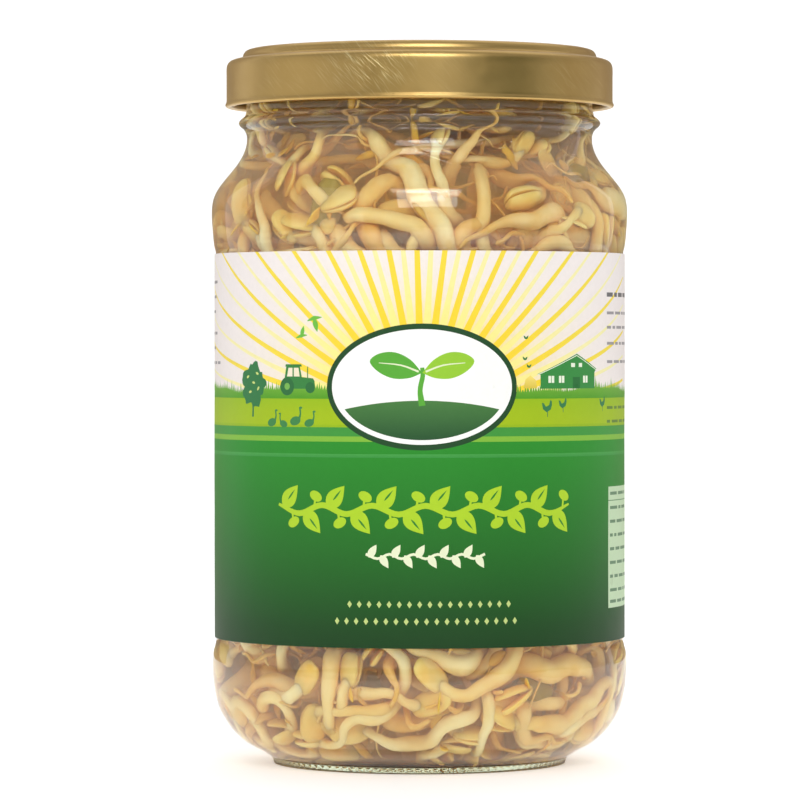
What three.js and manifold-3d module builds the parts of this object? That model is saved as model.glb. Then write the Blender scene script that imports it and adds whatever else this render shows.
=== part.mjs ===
// A glass jar of bean sprouts in brine: round twist-off jar, lugged lid with its sealing ring, paper label,
// brine, and single mung bean sprouts that lie against the glass above and below the label.
// Millimetres, +Z up. The origin is the centre of the ring that the jar stands on; the label faces -Y.
import * as THREE from "three";
import { mergeVertices } from "three/addons/utils/BufferGeometryUtils.js";
import Module from "manifold-3d";

// ---- driving dimensions
const SEGMENTS = 40; // facets round every turned piece
const JAR_R = 36.9; // widest radius of the glass, on the shoulder bulge
const PANEL_R = 35.95; // label panel of the glass
const BORE_R = 28.2; // mouth of the glass
const RIM_Z = 124.3; // sealing rim of the glass
const FINISH_R = 30.8; // outer wall of the finish, under the lid
const LID_R = 34.5; // rolled hem of the lid
const LID_TOP = 126.4; // crest of the lid
const HEM_Z = 116.1; // lower edge of the lid
const SHEET = 0.45; // lid wall
const LUGS = 4; // lugs of the lid and ridges of the finish
const LUG_TIP_R = 31.6;
const LUG_HALF = 7; // degrees
const LUG_Z = [117.0, 118.1];
const RIDGE_R = 32.7;
const RIDGE_SPAN = [-9, 45]; // degrees of full height round the finish, counted from the lug at rest
const RIDGE_H = 1.6;
const TURN = 63; // degrees from closed to free
const LIFT = 2.0; // rise of the lid over that turn
const LABEL_Z = [22.4, 90.2];
const LABEL_R = [36.25, 36.45];
const LABEL_GAP = 1.6; // degrees left open at the back
const GAP = 0.3;
const SPROUT_SIDES = 6;

const wasm = await Module();
wasm.setup();
const rad = THREE.MathUtils.degToRad;
const part = new THREE.Group();
part.name = "jar_of_bean_sprouts";

function material(color, roughness, metalness, extra = {}) {
  return new THREE.MeshStandardMaterial({ color, roughness, metalness, ...extra });
}

function add(name, geometry, mat) {
  const mesh = new THREE.Mesh(geometry, mat);
  mesh.name = name;
  part.add(mesh);
  return mesh;
}

// A turned solid: the profile [r, z] runs so that the material is on its left, from axis to axis or back to its start.
function turned(profile, segments = SEGMENTS) {
  const g = new THREE.LatheGeometry(
    profile.map(([r, z]) => new THREE.Vector2(r, z)),
    segments,
  );
  g.rotateX(Math.PI / 2);
  return g;
}

function solid(geometry) {
  const g = (geometry.index ? geometry.toNonIndexed() : geometry.clone());
  g.deleteAttribute("normal");
  g.deleteAttribute("uv");
  const m = mergeVertices(g, 1e-3);
  return new wasm.Manifold(
    new wasm.Mesh({
      numProp: 3,
      vertProperties: m.attributes.position.array,
      triVerts: new Uint32Array(m.index.array),
    }),
  );
}

function geometryOf(manifold) {
  const m = manifold.getMesh();
  const g = new THREE.BufferGeometry();
  const v = new Float32Array(m.numVert * 3);
  for (let i = 0; i < m.numVert; i++)
    v.set(m.vertProperties.subarray(i * m.numProp, i * m.numProp + 3), i * 3);
  g.setAttribute("position", new THREE.BufferAttribute(v, 3));
  g.setIndex(new THREE.BufferAttribute(new Uint32Array(m.triVerts), 1));
  g.computeVertexNormals();
  return g;
}

// A closed skin over rings of points, with a pole at each end.
function loft(start, rings, end) {
  const n = rings[0].length;
  const p = [start, ...rings.flat(), end];
  const idx = [];
  const at = (i, j) => 1 + i * n + (j % n);
  for (let j = 0; j < n; j++) idx.push(0, at(0, j + 1), at(0, j));
  for (let i = 0; i + 1 < rings.length; i++)
    for (let j = 0; j < n; j++) {
      idx.push(at(i, j), at(i, j + 1), at(i + 1, j));
      idx.push(at(i + 1, j), at(i, j + 1), at(i + 1, j + 1));
    }
  const last = rings.length - 1;
  for (let j = 0; j < n; j++) idx.push(p.length - 1, at(last, j), at(last, j + 1));
  const g = new THREE.BufferGeometry();
  g.setAttribute("position", new THREE.Float32BufferAttribute(p.flatMap((v) => v.toArray()), 3));
  g.setIndex(idx);
  g.computeVertexNormals();
  return g;
}

// ---- glass jar: body, shoulder, neck bead and finish in one wall, with a pushed-up base on a flat standing ring
const jarProfile = [
  [0, 1.9], [12, 1.6], [19.5, 0.9], [23.4, 0], [25.4, 0], [26.4, 1.3], [28.1, 2.35], [30.5, 3.6], [33.0, 5.7],
  [34.6, 7.85], [35.7, 10.0], [36.5, 13.2], [36.8, 16.5], [36.6, 20.0], [PANEL_R, 21.9], [PANEL_R, 90.5],
  [36.6, 92.6], [JAR_R, 96.6], [36.8, 99.1], [35.5, 102], [33.4, 104.8], [31.35, 107.7], [30.7, 109.6],
  [30.65, 111.2], [31.8, 112.65], [32.15, 113.35], [31.8, 114.1], [FINISH_R, 115.0], [FINISH_R, RIM_Z - 0.7],
  [30.2, RIM_Z], [28.9, RIM_Z], [BORE_R, RIM_Z - 0.8], [BORE_R, 109.4], [29.0, 106.2], [31.2, 103.0],
  [33.3, 99.9], [34.1, 96.2], [34.0, 92.0], [33.5, 88.0], [33.5, 22.0], [33.8, 16.5], [33.1, 11.6],
  [30.8, 7.8], [26.6, 4.9], [21.5, 3.8], [12.0, 4.1], [0, 4.6],
];

// Four raised ridges climb round the finish; each lug of the lid runs under one of them. The wall's profile has
// four rows of points for them, which stand out to RIDGE_R along the ridges and lie in the wall between them.
const RIDGE_ROWS = jarProfile.findIndex(([r, z]) => r === FINISH_R && z === 115.0) + 1;
const RIDGE_SECTION = [[0, 0], [1, 0.45], [1, RIDGE_H - 0.5], [0, RIDGE_H]]; // share of the way out, height
jarProfile.splice(RIDGE_ROWS, 0, ...RIDGE_SECTION.map(([, h]) => [FINISH_R, LUG_Z[1] + 0.55 + h]));
function ridged(g) {
  const p = g.getAttribute("position");
  const rows = jarProfile.length;
  const pitch = 360 / LUGS;
  for (let i = 0; i <= SEGMENTS; i++) {
    const deg = (360 * i) / SEGMENTS;
    let d = ((deg + pitch / 2 - 18) % pitch) - pitch / 2 + 18; // from -27 up to 63
    if (d > 54.5) d -= (d - 54) * 4; // between two ridges the rows come back down
    const full = d >= RIDGE_SPAN[0] - 0.5 && d <= RIDGE_SPAN[1] + 0.5;
    RIDGE_SECTION.forEach(([out, h], k) => {
      const r = FINISH_R + (full ? out * (RIDGE_R - FINISH_R) : 0);
      const z = LUG_Z[1] + 0.55 + (LIFT * d) / TURN + h;
      const a = rad(deg - 90);
      p.setXYZ(i * rows + RIDGE_ROWS + k, r * Math.cos(a), r * Math.sin(a), z);
    });
  }
  g.computeVertexNormals();
  return g;
}
add("glass_jar", ridged(turned(jarProfile)), material(0xe9f0e6, 0.04, 0, { transparent: true, opacity: 0.35 }));

// ---- twist-off lid: pressed panel with a centre button, skirt, rolled hem and four lugs
const lidProfile = [
  [0, 124.9], [11.2, 125.0], [12.6, 125.3], [27.0, 125.3], [28.6, LID_TOP - SHEET], [30.2, LID_TOP - SHEET],
  [30.9, 125.5], [31.1, 124.8], [31.9, 124.2], [33.0, 124.05], [33.6, 123.7], [33.8, 122.9], [33.8, 119.6],
  [33.6, 118.9], [33.1, 118.3], [33.1, 117.0], [33.5, HEM_Z + 0.1], [34.0, HEM_Z], [34.4, HEM_Z + 0.3],
  [LID_R, 117.0], [34.35, 117.8], [34.25, 118.6], [34.25, 123.1], [34.0, 124.0], [33.2, 124.5], [32.2, 124.65],
  [31.55, 125.0], [31.35, 125.8], [30.4, LID_TOP], [28.4, LID_TOP], [27.0, 125.75], [12.5, 125.75], [11.0, 125.45],
  [0, 125.35],
];
function lug(index) {
  const c = rad((360 / LUGS) * index);
  const h = rad(LUG_HALF);
  const s = new THREE.Shape();
  s.absarc(0, 0, LUG_TIP_R, c - h * 0.8, c + h * 0.8, false);
  s.absarc(0, 0, 33.6, c + h, c - h, true);
  s.closePath();
  const g = new THREE.ExtrudeGeometry(s, { depth: LUG_Z[1] - LUG_Z[0], bevelEnabled: false, curveSegments: 4 });
  g.translate(0, 0, LUG_Z[0]);
  return g;
}
let lid = solid(turned(lidProfile));
for (let i = 0; i < LUGS; i++) lid = lid.add(solid(lug(i)));
add("twist_off_lid", geometryOf(lid), material(0xb79a5e, 0.32, 0.9));

// ---- sealing ring: the soft compound in the lid's channel, over the rim of the glass
add(
  "sealing_ring",
  turned([[28.6, 124.6], [30.3, 124.6], [30.6, 124.9], [30.4, 125.6], [28.8, 125.6], [28.4, 124.9], [28.6, 124.6]]),
  material(0xd9d2c0, 0.6, 0),
);

// ---- paper label round the panel, its two ends meeting at the back
function wrap([inner, outer], [z0, z1], gap) {
  const steps = SEGMENTS;
  const a0 = 90 + gap / 2;
  const pts = [];
  for (let i = 0; i <= steps; i++) {
    const a = rad(a0 + ((360 - gap) * i) / steps);
    pts.push(new THREE.Vector2(outer * Math.cos(a), outer * Math.sin(a)));
  }
  for (let i = steps; i >= 0; i--) {
    const a = rad(a0 + ((360 - gap) * i) / steps);
    pts.push(new THREE.Vector2(inner * Math.cos(a), inner * Math.sin(a)));
  }
  const g = new THREE.ExtrudeGeometry(new THREE.Shape(pts), { depth: z1 - z0, bevelEnabled: false });
  g.translate(0, 0, z0);
  return g;
}
add("paper_label", wrap(LABEL_R, LABEL_Z, LABEL_GAP), material(0x4a9a3f, 0.55, 0));

// ---- brine: the liquid as one body, with ring-shaped room round it for the sprouts that lie against the glass
add(
  "brine",
  turned([
    [0, 4.6 + GAP], [12, 4.1 + GAP], [21.5, 3.8 + GAP], [25.2, 4.7], [25.2, 24.5], [28.2, 28.6], [33.5 - GAP, 30.6],
    [33.5 - GAP, 81.4], [27.9, 84.6], [25.2, 88.0], [25.2, 99.5], [20.4, 106.0], [20.4, 118.6], [0, 118.6],
  ]),
  material(0xe8dcb4, 0.05, 0, { transparent: true, opacity: 0.4 }),
);

// ---- sprouts. Each row is one sprout: stem thickness and bean size as factors, then 20 points along it in
// tenths of a millimetre, from the bean, along the stem, to the tip of the root.
const ALONG = [1.9, 2.1, 0.95, 1.0, 1.2, 1.35, 1.45, 1.5, 1.52, 1.5, 1.5, 1.46, 1.4, 1.32, 1.18, 0.95, 0.66, 0.48, 0.38, 0.32];
const SPROUTS = [
  [1.15, 0.86, 177, -212, 155, 197, -197, 145, 210, -172, 139, 221, -158, 128, 234, -142, 129, 245, -126, 134, 258, -109, 132, 275, -98, 129, 292, -89, 120, 299, -70, 113, 297, -52, 104, 294, -33, 96, 296, -12, 95, 294, 9, 97, 289, 26, 109, 291, 39, 123, 287, 54, 135, 277, 70, 141, 262, 83, 140, 246, 94, 139],
  [0.81, 0.94, 312, -7, 148, 309, 15, 174, 306, 41, 188, 309, 66, 185, 304, 86, 169, 291, 101, 153, 271, 111, 140, 254, 114, 121, 248, 125, 98, 238, 142, 81, 224, 164, 80, 209, 184, 80, 190, 201, 80, 170, 216, 80, 150, 231, 83, 139, 250, 78, 123, 263, 78, 105, 276, 79, 93, 292, 89, 86, 306, 105],
  [0.58, 0.85, -94, 272, 161, -65, 284, 154, -45, 288, 134, -31, 282, 124, -15, 274, 122, 3, 271, 125, 21, 271, 122, 38, 270, 121, 56, 267, 123, 73, 262, 118, 88, 262, 109, 103, 269, 102, 121, 274, 102, 138, 271, 98, 154, 263, 96, 165, 253, 90, 175, 244, 84, 188, 234, 82, 199, 225, 81, 211, 215, 81],
  [0.91, 0.99, 29, 278, 84, -2, 281, 88, -27, 278, 72, -39, 270, 67, -54, 266, 70, -70, 264, 72, -85, 261, 74, -100, 261, 76, -114, 255, 76, -126, 245, 74, -139, 237, 74, -152, 228, 74, -165, 220, 73, -176, 210, 72, -186, 198, 70, -198, 182, 66, -210, 165, 61, -229, 155, 64, -248, 153, 73, -261, 161, 88],
  [0.79, 1.11, -280, 47, 182, -306, 33, 162, -318, 27, 137, -318, 23, 117, -309, 14, 101, -296, 12, 87, -281, 21, 76, -270, 36, 72, -267, 56, 71, -262, 74, 71, -256, 92, 71, -249, 110, 71, -251, 130, 75, -261, 142, 88, -275, 143, 102, -292, 127, 116, -304, 103, 116, -307, 79, 103, -302, 58, 89, -289, 42, 72],
  [0.85, 0.90, -283, 14, 126, -302, -6, 131, -315, -32, 132, -312, -55, 134, -309, -75, 123, -299, -94, 116, -293, -116, 122, -282, -136, 117, -267, -147, 102, -253, -140, 84, -246, -120, 73, -254, -98, 72, -260, -79, 85, -265, -56, 81, -282, -40, 76, -291, -24, 80, -305, -16, 90, -317, -22, 105, -321, -37, 116, -320, -56, 118],
  [0.94, 0.84, 94, -263, 81, 67, -271, 85, 42, -268, 101, 18, -271, 107, -7, -274, 102, -32, -274, 102, -55, -271, 112, -71, -268, 133, -94, -261, 142, -118, -251, 142, -140, -240, 148, -161, -225, 150, -186, -221, 146, -210, -216, 152, -230, -203, 161, -250, -193, 160, -268, -182, 151, -280, -168, 139, -291, -149, 134, -301, -129, 137],
  [0.84, 1.07, -174, -221, 89, -169, -247, 111, -154, -272, 117, -135, -286, 115, -113, -295, 118, -90, -301, 117, -67, -307, 119, -45, -301, 127, -31, -287, 140, -12, -273, 146, 12, -273, 149, 35, -271, 141, 55, -267, 128, 77, -261, 121, 98, -252, 114, 111, -244, 100, 119, -240, 82, 130, -232, 66, 145, -221, 57, 162, -209, 56],
  [0.92, 1.07, 263, -102, 88, 249, -133, 91, 236, -154, 75, 222, -162, 69, 209, -173, 70, 199, -186, 72, 189, -199, 74, 176, -210, 74, 165, -219, 84, 161, -221, 101, 167, -225, 117, 181, -231, 126, 198, -231, 127, 214, -223, 126, 223, -209, 126, 224, -194, 125, 218, -182, 120, 212, -173, 110, 211, -167, 97, 213, -160, 86],
  [0.81, 0.98, 264, 90, 84, 271, 74, 109, 264, 48, 123, 267, 23, 127, 275, -1, 127, 270, -24, 137, 267, -50, 134, 264, -68, 113, 265, -64, 86, 270, -43, 71, 272, -18, 71, 272, 7, 71, 280, 32, 75, 294, 49, 89, 309, 53, 110, 318, 42, 125, 324, 22, 130, 324, 3, 123, 320, -11, 109, 317, -30, 104],
  [0.98, 0.93, 14, 316, 160, 43, 311, 156, 66, 305, 140, 84, 291, 131, 104, 276, 133, 120, 259, 129, 138, 246, 118, 161, 238, 115, 184, 235, 108, 205, 224, 103, 223, 208, 104, 240, 190, 105, 254, 171, 104, 269, 153, 110, 283, 134, 114, 295, 109, 111, 299, 84, 99, 290, 66, 80, 274, 51, 65, 263, 27, 57],
  [1.14, 1.00, -102, 260, 117, -74, 271, 110, -51, 280, 96, -40, 292, 95, -32, 303, 103, -22, 308, 115, -7, 310, 120, 9, 310, 121, 24, 307, 117, 39, 305, 114, 54, 300, 110, 64, 292, 101, 69, 282, 89, 73, 271, 79, 85, 261, 74, 104, 250, 70, 123, 239, 64, 141, 226, 61, 159, 213, 58, 176, 198, 57],
  [1.08, 0.98, -303, 56, 121, -293, 80, 136, -273, 102, 139, -262, 122, 145, -255, 145, 144, -243, 165, 138, -228, 180, 127, -207, 190, 121, -187, 204, 121, -170, 218, 131, -156, 234, 141, -146, 256, 142, -134, 277, 138, -118, 293, 131, -95, 301, 126, -82, 306, 118, -72, 305, 105, -66, 300, 92, -59, 292, 80, -46, 286, 72],
  [1.11, 0.92, -140, 265, 102, -164, 249, 103, -186, 235, 90, -197, 221, 87, -208, 206, 88, -218, 190, 86, -225, 172, 86, -229, 156, 94, -236, 145, 108, -245, 129, 114, -258, 116, 111, -267, 101, 103, -271, 83, 101, -268, 64, 103, -271, 46, 102, -269, 30, 101, -267, 15, 95, -266, 4, 81, -276, -2, 69, -283, -17, 67],
  [0.89, 0.99, -226, -164, 84, -208, -189, 89, -209, -217, 101, -222, -225, 121, -239, -213, 134, -253, -192, 131, -253, -170, 122, -246, -147, 125, -251, -124, 126, -264, -106, 132, -269, -85, 142, -270, -61, 144, -271, -39, 137, -271, -22, 121, -270, -13, 98, -268, -18, 76, -264, -34, 61, -261, -57, 59, -269, -77, 65, -281, -92, 76],
  [0.61, 0.94, 36, -308, 134, 4, -306, 126, -23, -319, 132, -39, -322, 143, -58, -318, 148, -77, -312, 146, -94, -302, 146, -111, -292, 146, -128, -283, 149, -143, -274, 158, -155, -263, 169, -164, -247, 177, -171, -229, 182, -178, -211, 178, -184, -196, 166, -193, -187, 149, -210, -180, 138, -230, -173, 136, -248, -168, 144, -268, -161, 143],
  [0.82, 1.11, -128, -251, 89, -97, -267, 94, -74, -280, 81, -59, -277, 73, -44, -270, 69, -27, -270, 70, -11, -272, 71, 5, -273, 72, 20, -280, 76, 28, -291, 86, 39, -299, 96, 54, -302, 103, 71, -301, 106, 85, -292, 111, 90, -283, 125, 88, -276, 145, 77, -278, 163, 66, -288, 178, 61, -303, 190, 62, -319, 204],
  [1.08, 0.99, 121, -279, 111, 144, -260, 104, 170, -251, 94, 184, -242, 97, 195, -228, 95, 207, -215, 96, 218, -201, 95, 228, -187, 94, 241, -177, 100, 254, -172, 112, 265, -162, 121, 276, -148, 124, 284, -137, 135, 292, -126, 147, 300, -111, 152, 311, -87, 148, 308, -62, 141, 296, -38, 140, 284, -18, 150, 273, 6, 149],
  [1.06, 0.97, 248, -200, 933, 231, -215, 954, 208, -227, 966, 191, -235, 965, 174, -237, 963, 158, -242, 955, 142, -246, 947, 127, -251, 937, 111, -257, 932, 93, -262, 931, 76, -267, 935, 60, -270, 942, 42, -272, 945, 24, -273, 940, 9, -273, 929, -7, -270, 910, -24, -266, 892, -41, -270, 874, -63, -275, 863, -87, -275, 855],
  [1.20, 0.93, 295, 109, 931, 295, 85, 947, 287, 66, 967, 275, 45, 977, 274, 22, 987, 276, -4, 989, 276, -30, 985, 273, -55, 977, 267, -80, 977, 259, -104, 980, 248, -127, 986, 234, -149, 988, 219, -169, 985, 203, -187, 976, 185, -202, 963, 174, -208, 955, 165, -213, 943, 158, -218, 930, 153, -225, 917, 144, -230, 905],
  [0.77, 0.98, 314, 31, 920, 312, -2, 923, 300, -26, 910, 292, -35, 892, 287, -30, 871, 300, -22, 856, 314, -8, 850, 318, 13, 848, 316, 33, 849, 313, 53, 849, 309, 73, 849, 304, 93, 848, 299, 112, 857, 296, 120, 877, 290, 115, 897, 277, 94, 906, 275, 70, 897, 292, 51, 895, 314, 43, 887, 326, 37, 866],
  [0.94, 0.88, 260, 41, 1020, 267, 64, 1007, 276, 81, 985, 273, 94, 974, 266, 103, 962, 260, 114, 949, 259, 128, 940, 265, 142, 931, 275, 151, 920, 279, 155, 903, 274, 160, 887, 262, 166, 876, 246, 162, 870, 229, 165, 875, 215, 176, 878, 203, 192, 873, 193, 207, 864, 190, 224, 853, 199, 239, 841, 204, 256, 831],
  [0.78, 0.98, 207, 133, 1049, 200, 160, 1036, 185, 176, 1017, 172, 195, 1010, 156, 211, 1008, 139, 228, 1005, 119, 239, 1006, 102, 255, 1004, 93, 277, 1001, 90, 298, 989, 91, 310, 969, 95, 311, 945, 99, 298, 925, 98, 278, 912, 87, 265, 894, 74, 268, 872, 60, 283, 856, 46, 301, 845, 29, 317, 836, 7, 328, 831],
  [0.97, 1.06, -67, 303, 862, -97, 293, 863, -127, 291, 858, -143, 288, 869, -150, 283, 887, -145, 286, 906, -136, 288, 923, -126, 286, 940, -117, 277, 955, -101, 270, 964, -81, 270, 967, -63, 277, 966, -48, 288, 961, -30, 297, 960, -13, 304, 966, 13, 302, 977, 37, 291, 989, 55, 276, 1004, 72, 264, 1022, 93, 257, 1040],
  [0.71, 0.97, -131, 248, 981, -146, 241, 953, -161, 228, 932, -164, 216, 919, -167, 212, 903, -171, 211, 885, -182, 217, 873, -195, 221, 862, -211, 217, 857, -226, 208, 854, -237, 195, 854, -243, 178, 857, -240, 163, 865, -240, 147, 873, -241, 131, 879, -250, 106, 881, -263, 86, 870, -277, 67, 858, -292, 47, 850, -311, 34, 839],
  [0.98, 1.08, -278, -9, 1005, -282, 22, 992, -281, 42, 971, -273, 56, 960, -264, 66, 946, -263, 78, 930, -265, 81, 910, -270, 74, 892, -274, 58, 881, -283, 43, 873, -294, 29, 864, -296, 9, 863, -287, -8, 871, -274, -13, 885, -271, -24, 900, -268, -40, 911, -278, -57, 918, -296, -63, 924, -316, -57, 925, -330, -44, 922],
  [1.20, 0.87, -111, -294, 855, -121, -272, 866, -135, -248, 873, -154, -237, 874, -171, -224, 878, -188, -210, 881, -200, -195, 892, -205, -188, 913, -208, -190, 934, -216, -185, 955, -225, -172, 970, -236, -154, 977, -246, -134, 975, -252, -115, 967, -258, -93, 966, -262, -77, 971, -270, -61, 975, -280, -49, 983, -291, -36, 989, -302, -25, 998],
  [1.00, 0.99, -269, -148, 943, -261, -177, 935, -258, -198, 914, -250, -204, 901, -239, -213, 893, -227, -223, 894, -215, -233, 895, -202, -244, 896, -188, -250, 898, -173, -249, 904, -158, -244, 908, -142, -240, 906, -126, -244, 903, -112, -250, 898, -100, -253, 888, -82, -262, 880, -61, -263, 881, -43, -262, 893, -30, -262, 909, -17, -263, 925],
  [0.84, 1.05, 66, -303, 861, 34, -307, 869, 8, -320, 871, -10, -323, 886, -15, -324, 910, -1, -316, 930, 20, -306, 933, 39, -296, 921, 49, -279, 910, 66, -265, 903, 87, -259, 894, 110, -261, 887, 131, -272, 885, 154, -274, 886, 176, -266, 884, 192, -260, 871, 195, -261, 851, 185, -269, 834, 168, -280, 832, 151, -290, 831],
  [0.62, 0.82, 197, -201, 924, 194, -230, 930, 176, -253, 936, 154, -263, 925, 141, -254, 904, 148, -237, 884, 168, -221, 880, 183, -202, 888, 201, -185, 887, 221, -178, 873, 242, -178, 858, 264, -168, 850, 281, -150, 848, 293, -127, 847, 300, -103, 850, 300, -82, 847, 300, -60, 847, 308, -40, 842, 321, -24, 834, 327, -3, 831],
  [0.78, 0.94, 306, 14, 966, 315, 42, 963, 324, 64, 946, 321, 73, 929, 307, 75, 916, 289, 68, 916, 280, 52, 916, 270, 39, 906, 271, 24, 898, 272, 8, 889, 272, -11, 888, 270, -27, 898, 268, -42, 906, 266, -50, 924, 265, -46, 942, 266, -34, 953, 274, -21, 958, 288, -12, 957, 303, -10, 953, 318, -5, 953],
  [0.94, 0.99, 36, 293, 909, 58, 275, 919, 81, 257, 921, 95, 252, 918, 107, 249, 908, 119, 246, 899, 133, 239, 898, 146, 232, 894, 158, 224, 888, 172, 219, 884, 185, 212, 889, 194, 202, 897, 198, 188, 902, 208, 176, 906, 217, 163, 903, 223, 151, 897, 228, 141, 885, 235, 129, 879, 241, 115, 879, 245, 100, 881],
  [1.11, 0.99, -11, 256, 1042, 3, 270, 1018, 8, 273, 989, 19, 271, 974, 35, 271, 963, 55, 270, 960, 73, 266, 958, 91, 264, 950, 109, 268, 945, 124, 277, 937, 133, 286, 921, 135, 287, 901, 135, 278, 884, 137, 261, 873, 150, 249, 866, 162, 241, 863, 174, 237, 856, 185, 242, 847, 190, 252, 839, 192, 265, 833],
  [1.17, 0.95, 99, 297, 883, 70, 303, 881, 43, 301, 869, 25, 290, 870, 11, 280, 881, -1, 277, 898, -15, 277, 912, -33, 276, 922, -53, 274, 927, -73, 269, 929, -93, 263, 926, -111, 255, 922, -128, 246, 913, -141, 238, 899, -152, 236, 882, -167, 241, 862, -188, 243, 849, -211, 236, 841, -234, 227, 844, -252, 209, 846],
  [0.93, 0.87, -69, 312, 930, -87, 306, 952, -113, 307, 966, -131, 299, 971, -147, 289, 965, -159, 282, 951, -167, 274, 935, -170, 266, 917, -176, 260, 899, -190, 251, 888, -206, 240, 886, -221, 227, 887, -235, 213, 885, -248, 199, 884, -261, 185, 889, -273, 173, 902, -287, 157, 906, -297, 139, 899, -303, 124, 886, -310, 107, 875],
  [0.91, 0.93, -293, 37, 940, -290, 9, 947, -293, -19, 939, -310, -33, 936, -320, -50, 944, -317, -73, 943, -300, -87, 938, -277, -83, 938, -266, -64, 944, -270, -44, 953, -285, -33, 964, -305, -26, 966, -321, -14, 955, -325, 0, 940, -325, 8, 920, -324, 3, 899, -318, -12, 884, -304, -27, 877, -289, -42, 884, -284, -62, 891],
  [0.85, 1.07, -293, -102, 862, -300, -70, 865, -291, -41, 862, -276, -36, 873, -266, -46, 885, -264, -63, 891, -260, -80, 889, -256, -95, 897, -252, -105, 910, -245, -119, 919, -238, -134, 924, -230, -150, 922, -232, -165, 913, -241, -176, 901, -255, -180, 892, -267, -182, 876, -271, -180, 856, -279, -169, 840, -288, -154, 832, -297, -136, 831],
  [1.17, 0.89, -194, -208, 989, -172, -220, 976, -155, -223, 953, -146, -235, 942, -136, -250, 939, -133, -268, 934, -127, -282, 924, -120, -292, 909, -105, -296, 899, -89, -295, 890, -77, -297, 876, -68, -303, 861, -51, -309, 857, -34, -313, 854, -16, -315, 852, 1, -319, 847, 18, -322, 840, 35, -322, 837, 53, -321, 834, 71, -318, 833],
  [1.09, 1.08, 228, -213, 896, 212, -224, 868, 190, -236, 854, 175, -247, 855, 168, -264, 851, 154, -276, 853, 137, -283, 854, 119, -288, 858, 107, -295, 870, 99, -294, 886, 84, -295, 897, 70, -306, 905, 67, -314, 922, 75, -314, 940, 92, -308, 948, 106, -301, 945, 116, -293, 935, 125, -289, 924, 139, -287, 916, 154, -287, 912],
  [1.11, 1.04, 227, -167, 913, 251, -155, 893, 261, -140, 870, 268, -121, 861, 275, -101, 865, 281, -81, 869, 295, -68, 880, 302, -63, 900, 298, -66, 922, 284, -77, 935, 267, -91, 937, 255, -109, 933, 247, -129, 935, 243, -148, 945, 242, -168, 954, 243, -178, 963, 240, -188, 972, 232, -197, 981, 222, -203, 988, 210, -206, 995],
  [0.69, 0.79, 218, 223, 859, 237, 200, 862, 260, 187, 847, 271, 170, 845, 276, 150, 851, 269, 133, 861, 265, 116, 872, 270, 96, 876, 281, 78, 871, 285, 58, 870, 288, 38, 871, 300, 22, 879, 312, 5, 882, 317, -15, 884, 316, -36, 879, 317, -49, 865, 318, -61, 849, 316, -77, 837, 312, -96, 834, 306, -115, 832],
  [0.83, 1.02, 248, -59, 1036, 277, -54, 1025, 297, -49, 1005, 306, -45, 986, 305, -41, 965, 296, -36, 947, 282, -25, 936, 272, -7, 932, 272, 14, 931, 270, 33, 940, 267, 53, 942, 262, 72, 934, 258, 87, 920, 250, 104, 912, 240, 122, 910, 228, 142, 917, 215, 160, 927, 201, 180, 927, 190, 201, 921, 179, 223, 920],
  [0.86, 1.06, 240, 190, 944, 231, 207, 919, 221, 222, 895, 216, 236, 889, 206, 246, 882, 196, 252, 869, 184, 260, 863, 173, 267, 851, 159, 275, 849, 145, 283, 849, 130, 289, 849, 115, 296, 848, 100, 302, 848, 85, 307, 846, 69, 313, 845, 43, 320, 852, 16, 325, 848, -9, 326, 837, -36, 324, 832, -63, 321, 831],
  [1.09, 1.02, -72, 276, 1011, -41, 278, 1001, -21, 270, 982, -6, 273, 961, 7, 288, 947, 7, 309, 933, 5, 318, 910, -3, 315, 886, -21, 303, 872, -35, 282, 878, -55, 271, 887, -79, 264, 889, -103, 257, 885, -125, 258, 873, -145, 262, 859, -158, 267, 850, -172, 267, 842, -188, 263, 836, -203, 255, 834, -216, 245, 832],
  [0.84, 0.79, -308, 65, 857, -299, 90, 858, -295, 117, 845, -290, 132, 847, -285, 143, 857, -281, 147, 871, -273, 144, 884, -264, 142, 897, -252, 148, 905, -237, 153, 905, -225, 160, 898, -216, 170, 891, -206, 182, 890, -198, 194, 897, -193, 203, 908, -189, 214, 926, -186, 228, 941, -181, 244, 954, -171, 259, 964, -155, 269, 973],
  [0.87, 1.02, -272, -148, 865, -279, -133, 896, -295, -112, 909, -309, -96, 908, -312, -75, 905, -314, -55, 902, -308, -34, 903, -301, -16, 910, -293, 4, 907, -297, 25, 903, -309, 43, 901, -311, 64, 901, -306, 84, 899, -292, 100, 895, -278, 109, 882, -263, 122, 862, -257, 149, 854, -260, 174, 842, -254, 200, 834, -238, 223, 832],
  [1.17, 1.10, -209, -238, 950, -180, -257, 946, -166, -276, 928, -159, -280, 910, -155, -278, 892, -160, -272, 876, -169, -265, 861, -183, -253, 857, -198, -242, 857, -211, -231, 857, -224, -218, 857, -237, -205, 857, -242, -187, 859, -237, -171, 867, -233, -157, 878, -237, -146, 889, -246, -147, 902, -257, -157, 908, -269, -166, 906, -277, -177, 898],
  [1.20, 1.01, -146, -233, 1009, -127, -251, 991, -102, -259, 979, -91, -258, 968, -86, -261, 953, -78, -266, 940, -73, -277, 930, -69, -293, 927, -61, -305, 920, -51, -310, 907, -40, -306, 896, -29, -296, 890, -15, -293, 883, -2, -284, 879, 10, -275, 885, 37, -270, 885, 63, -269, 874, 84, -277, 857, 97, -296, 842, 122, -303, 833],
];

function radiusAt(u, stem, bean) {
  const i = Math.min(Math.floor(u), ALONG.length - 2);
  const f = u - i;
  const r = (k) => ALONG[k] * (k < 2 ? bean : stem);
  return r(i) * (1 - f) + r(i + 1) * f;
}

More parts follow.
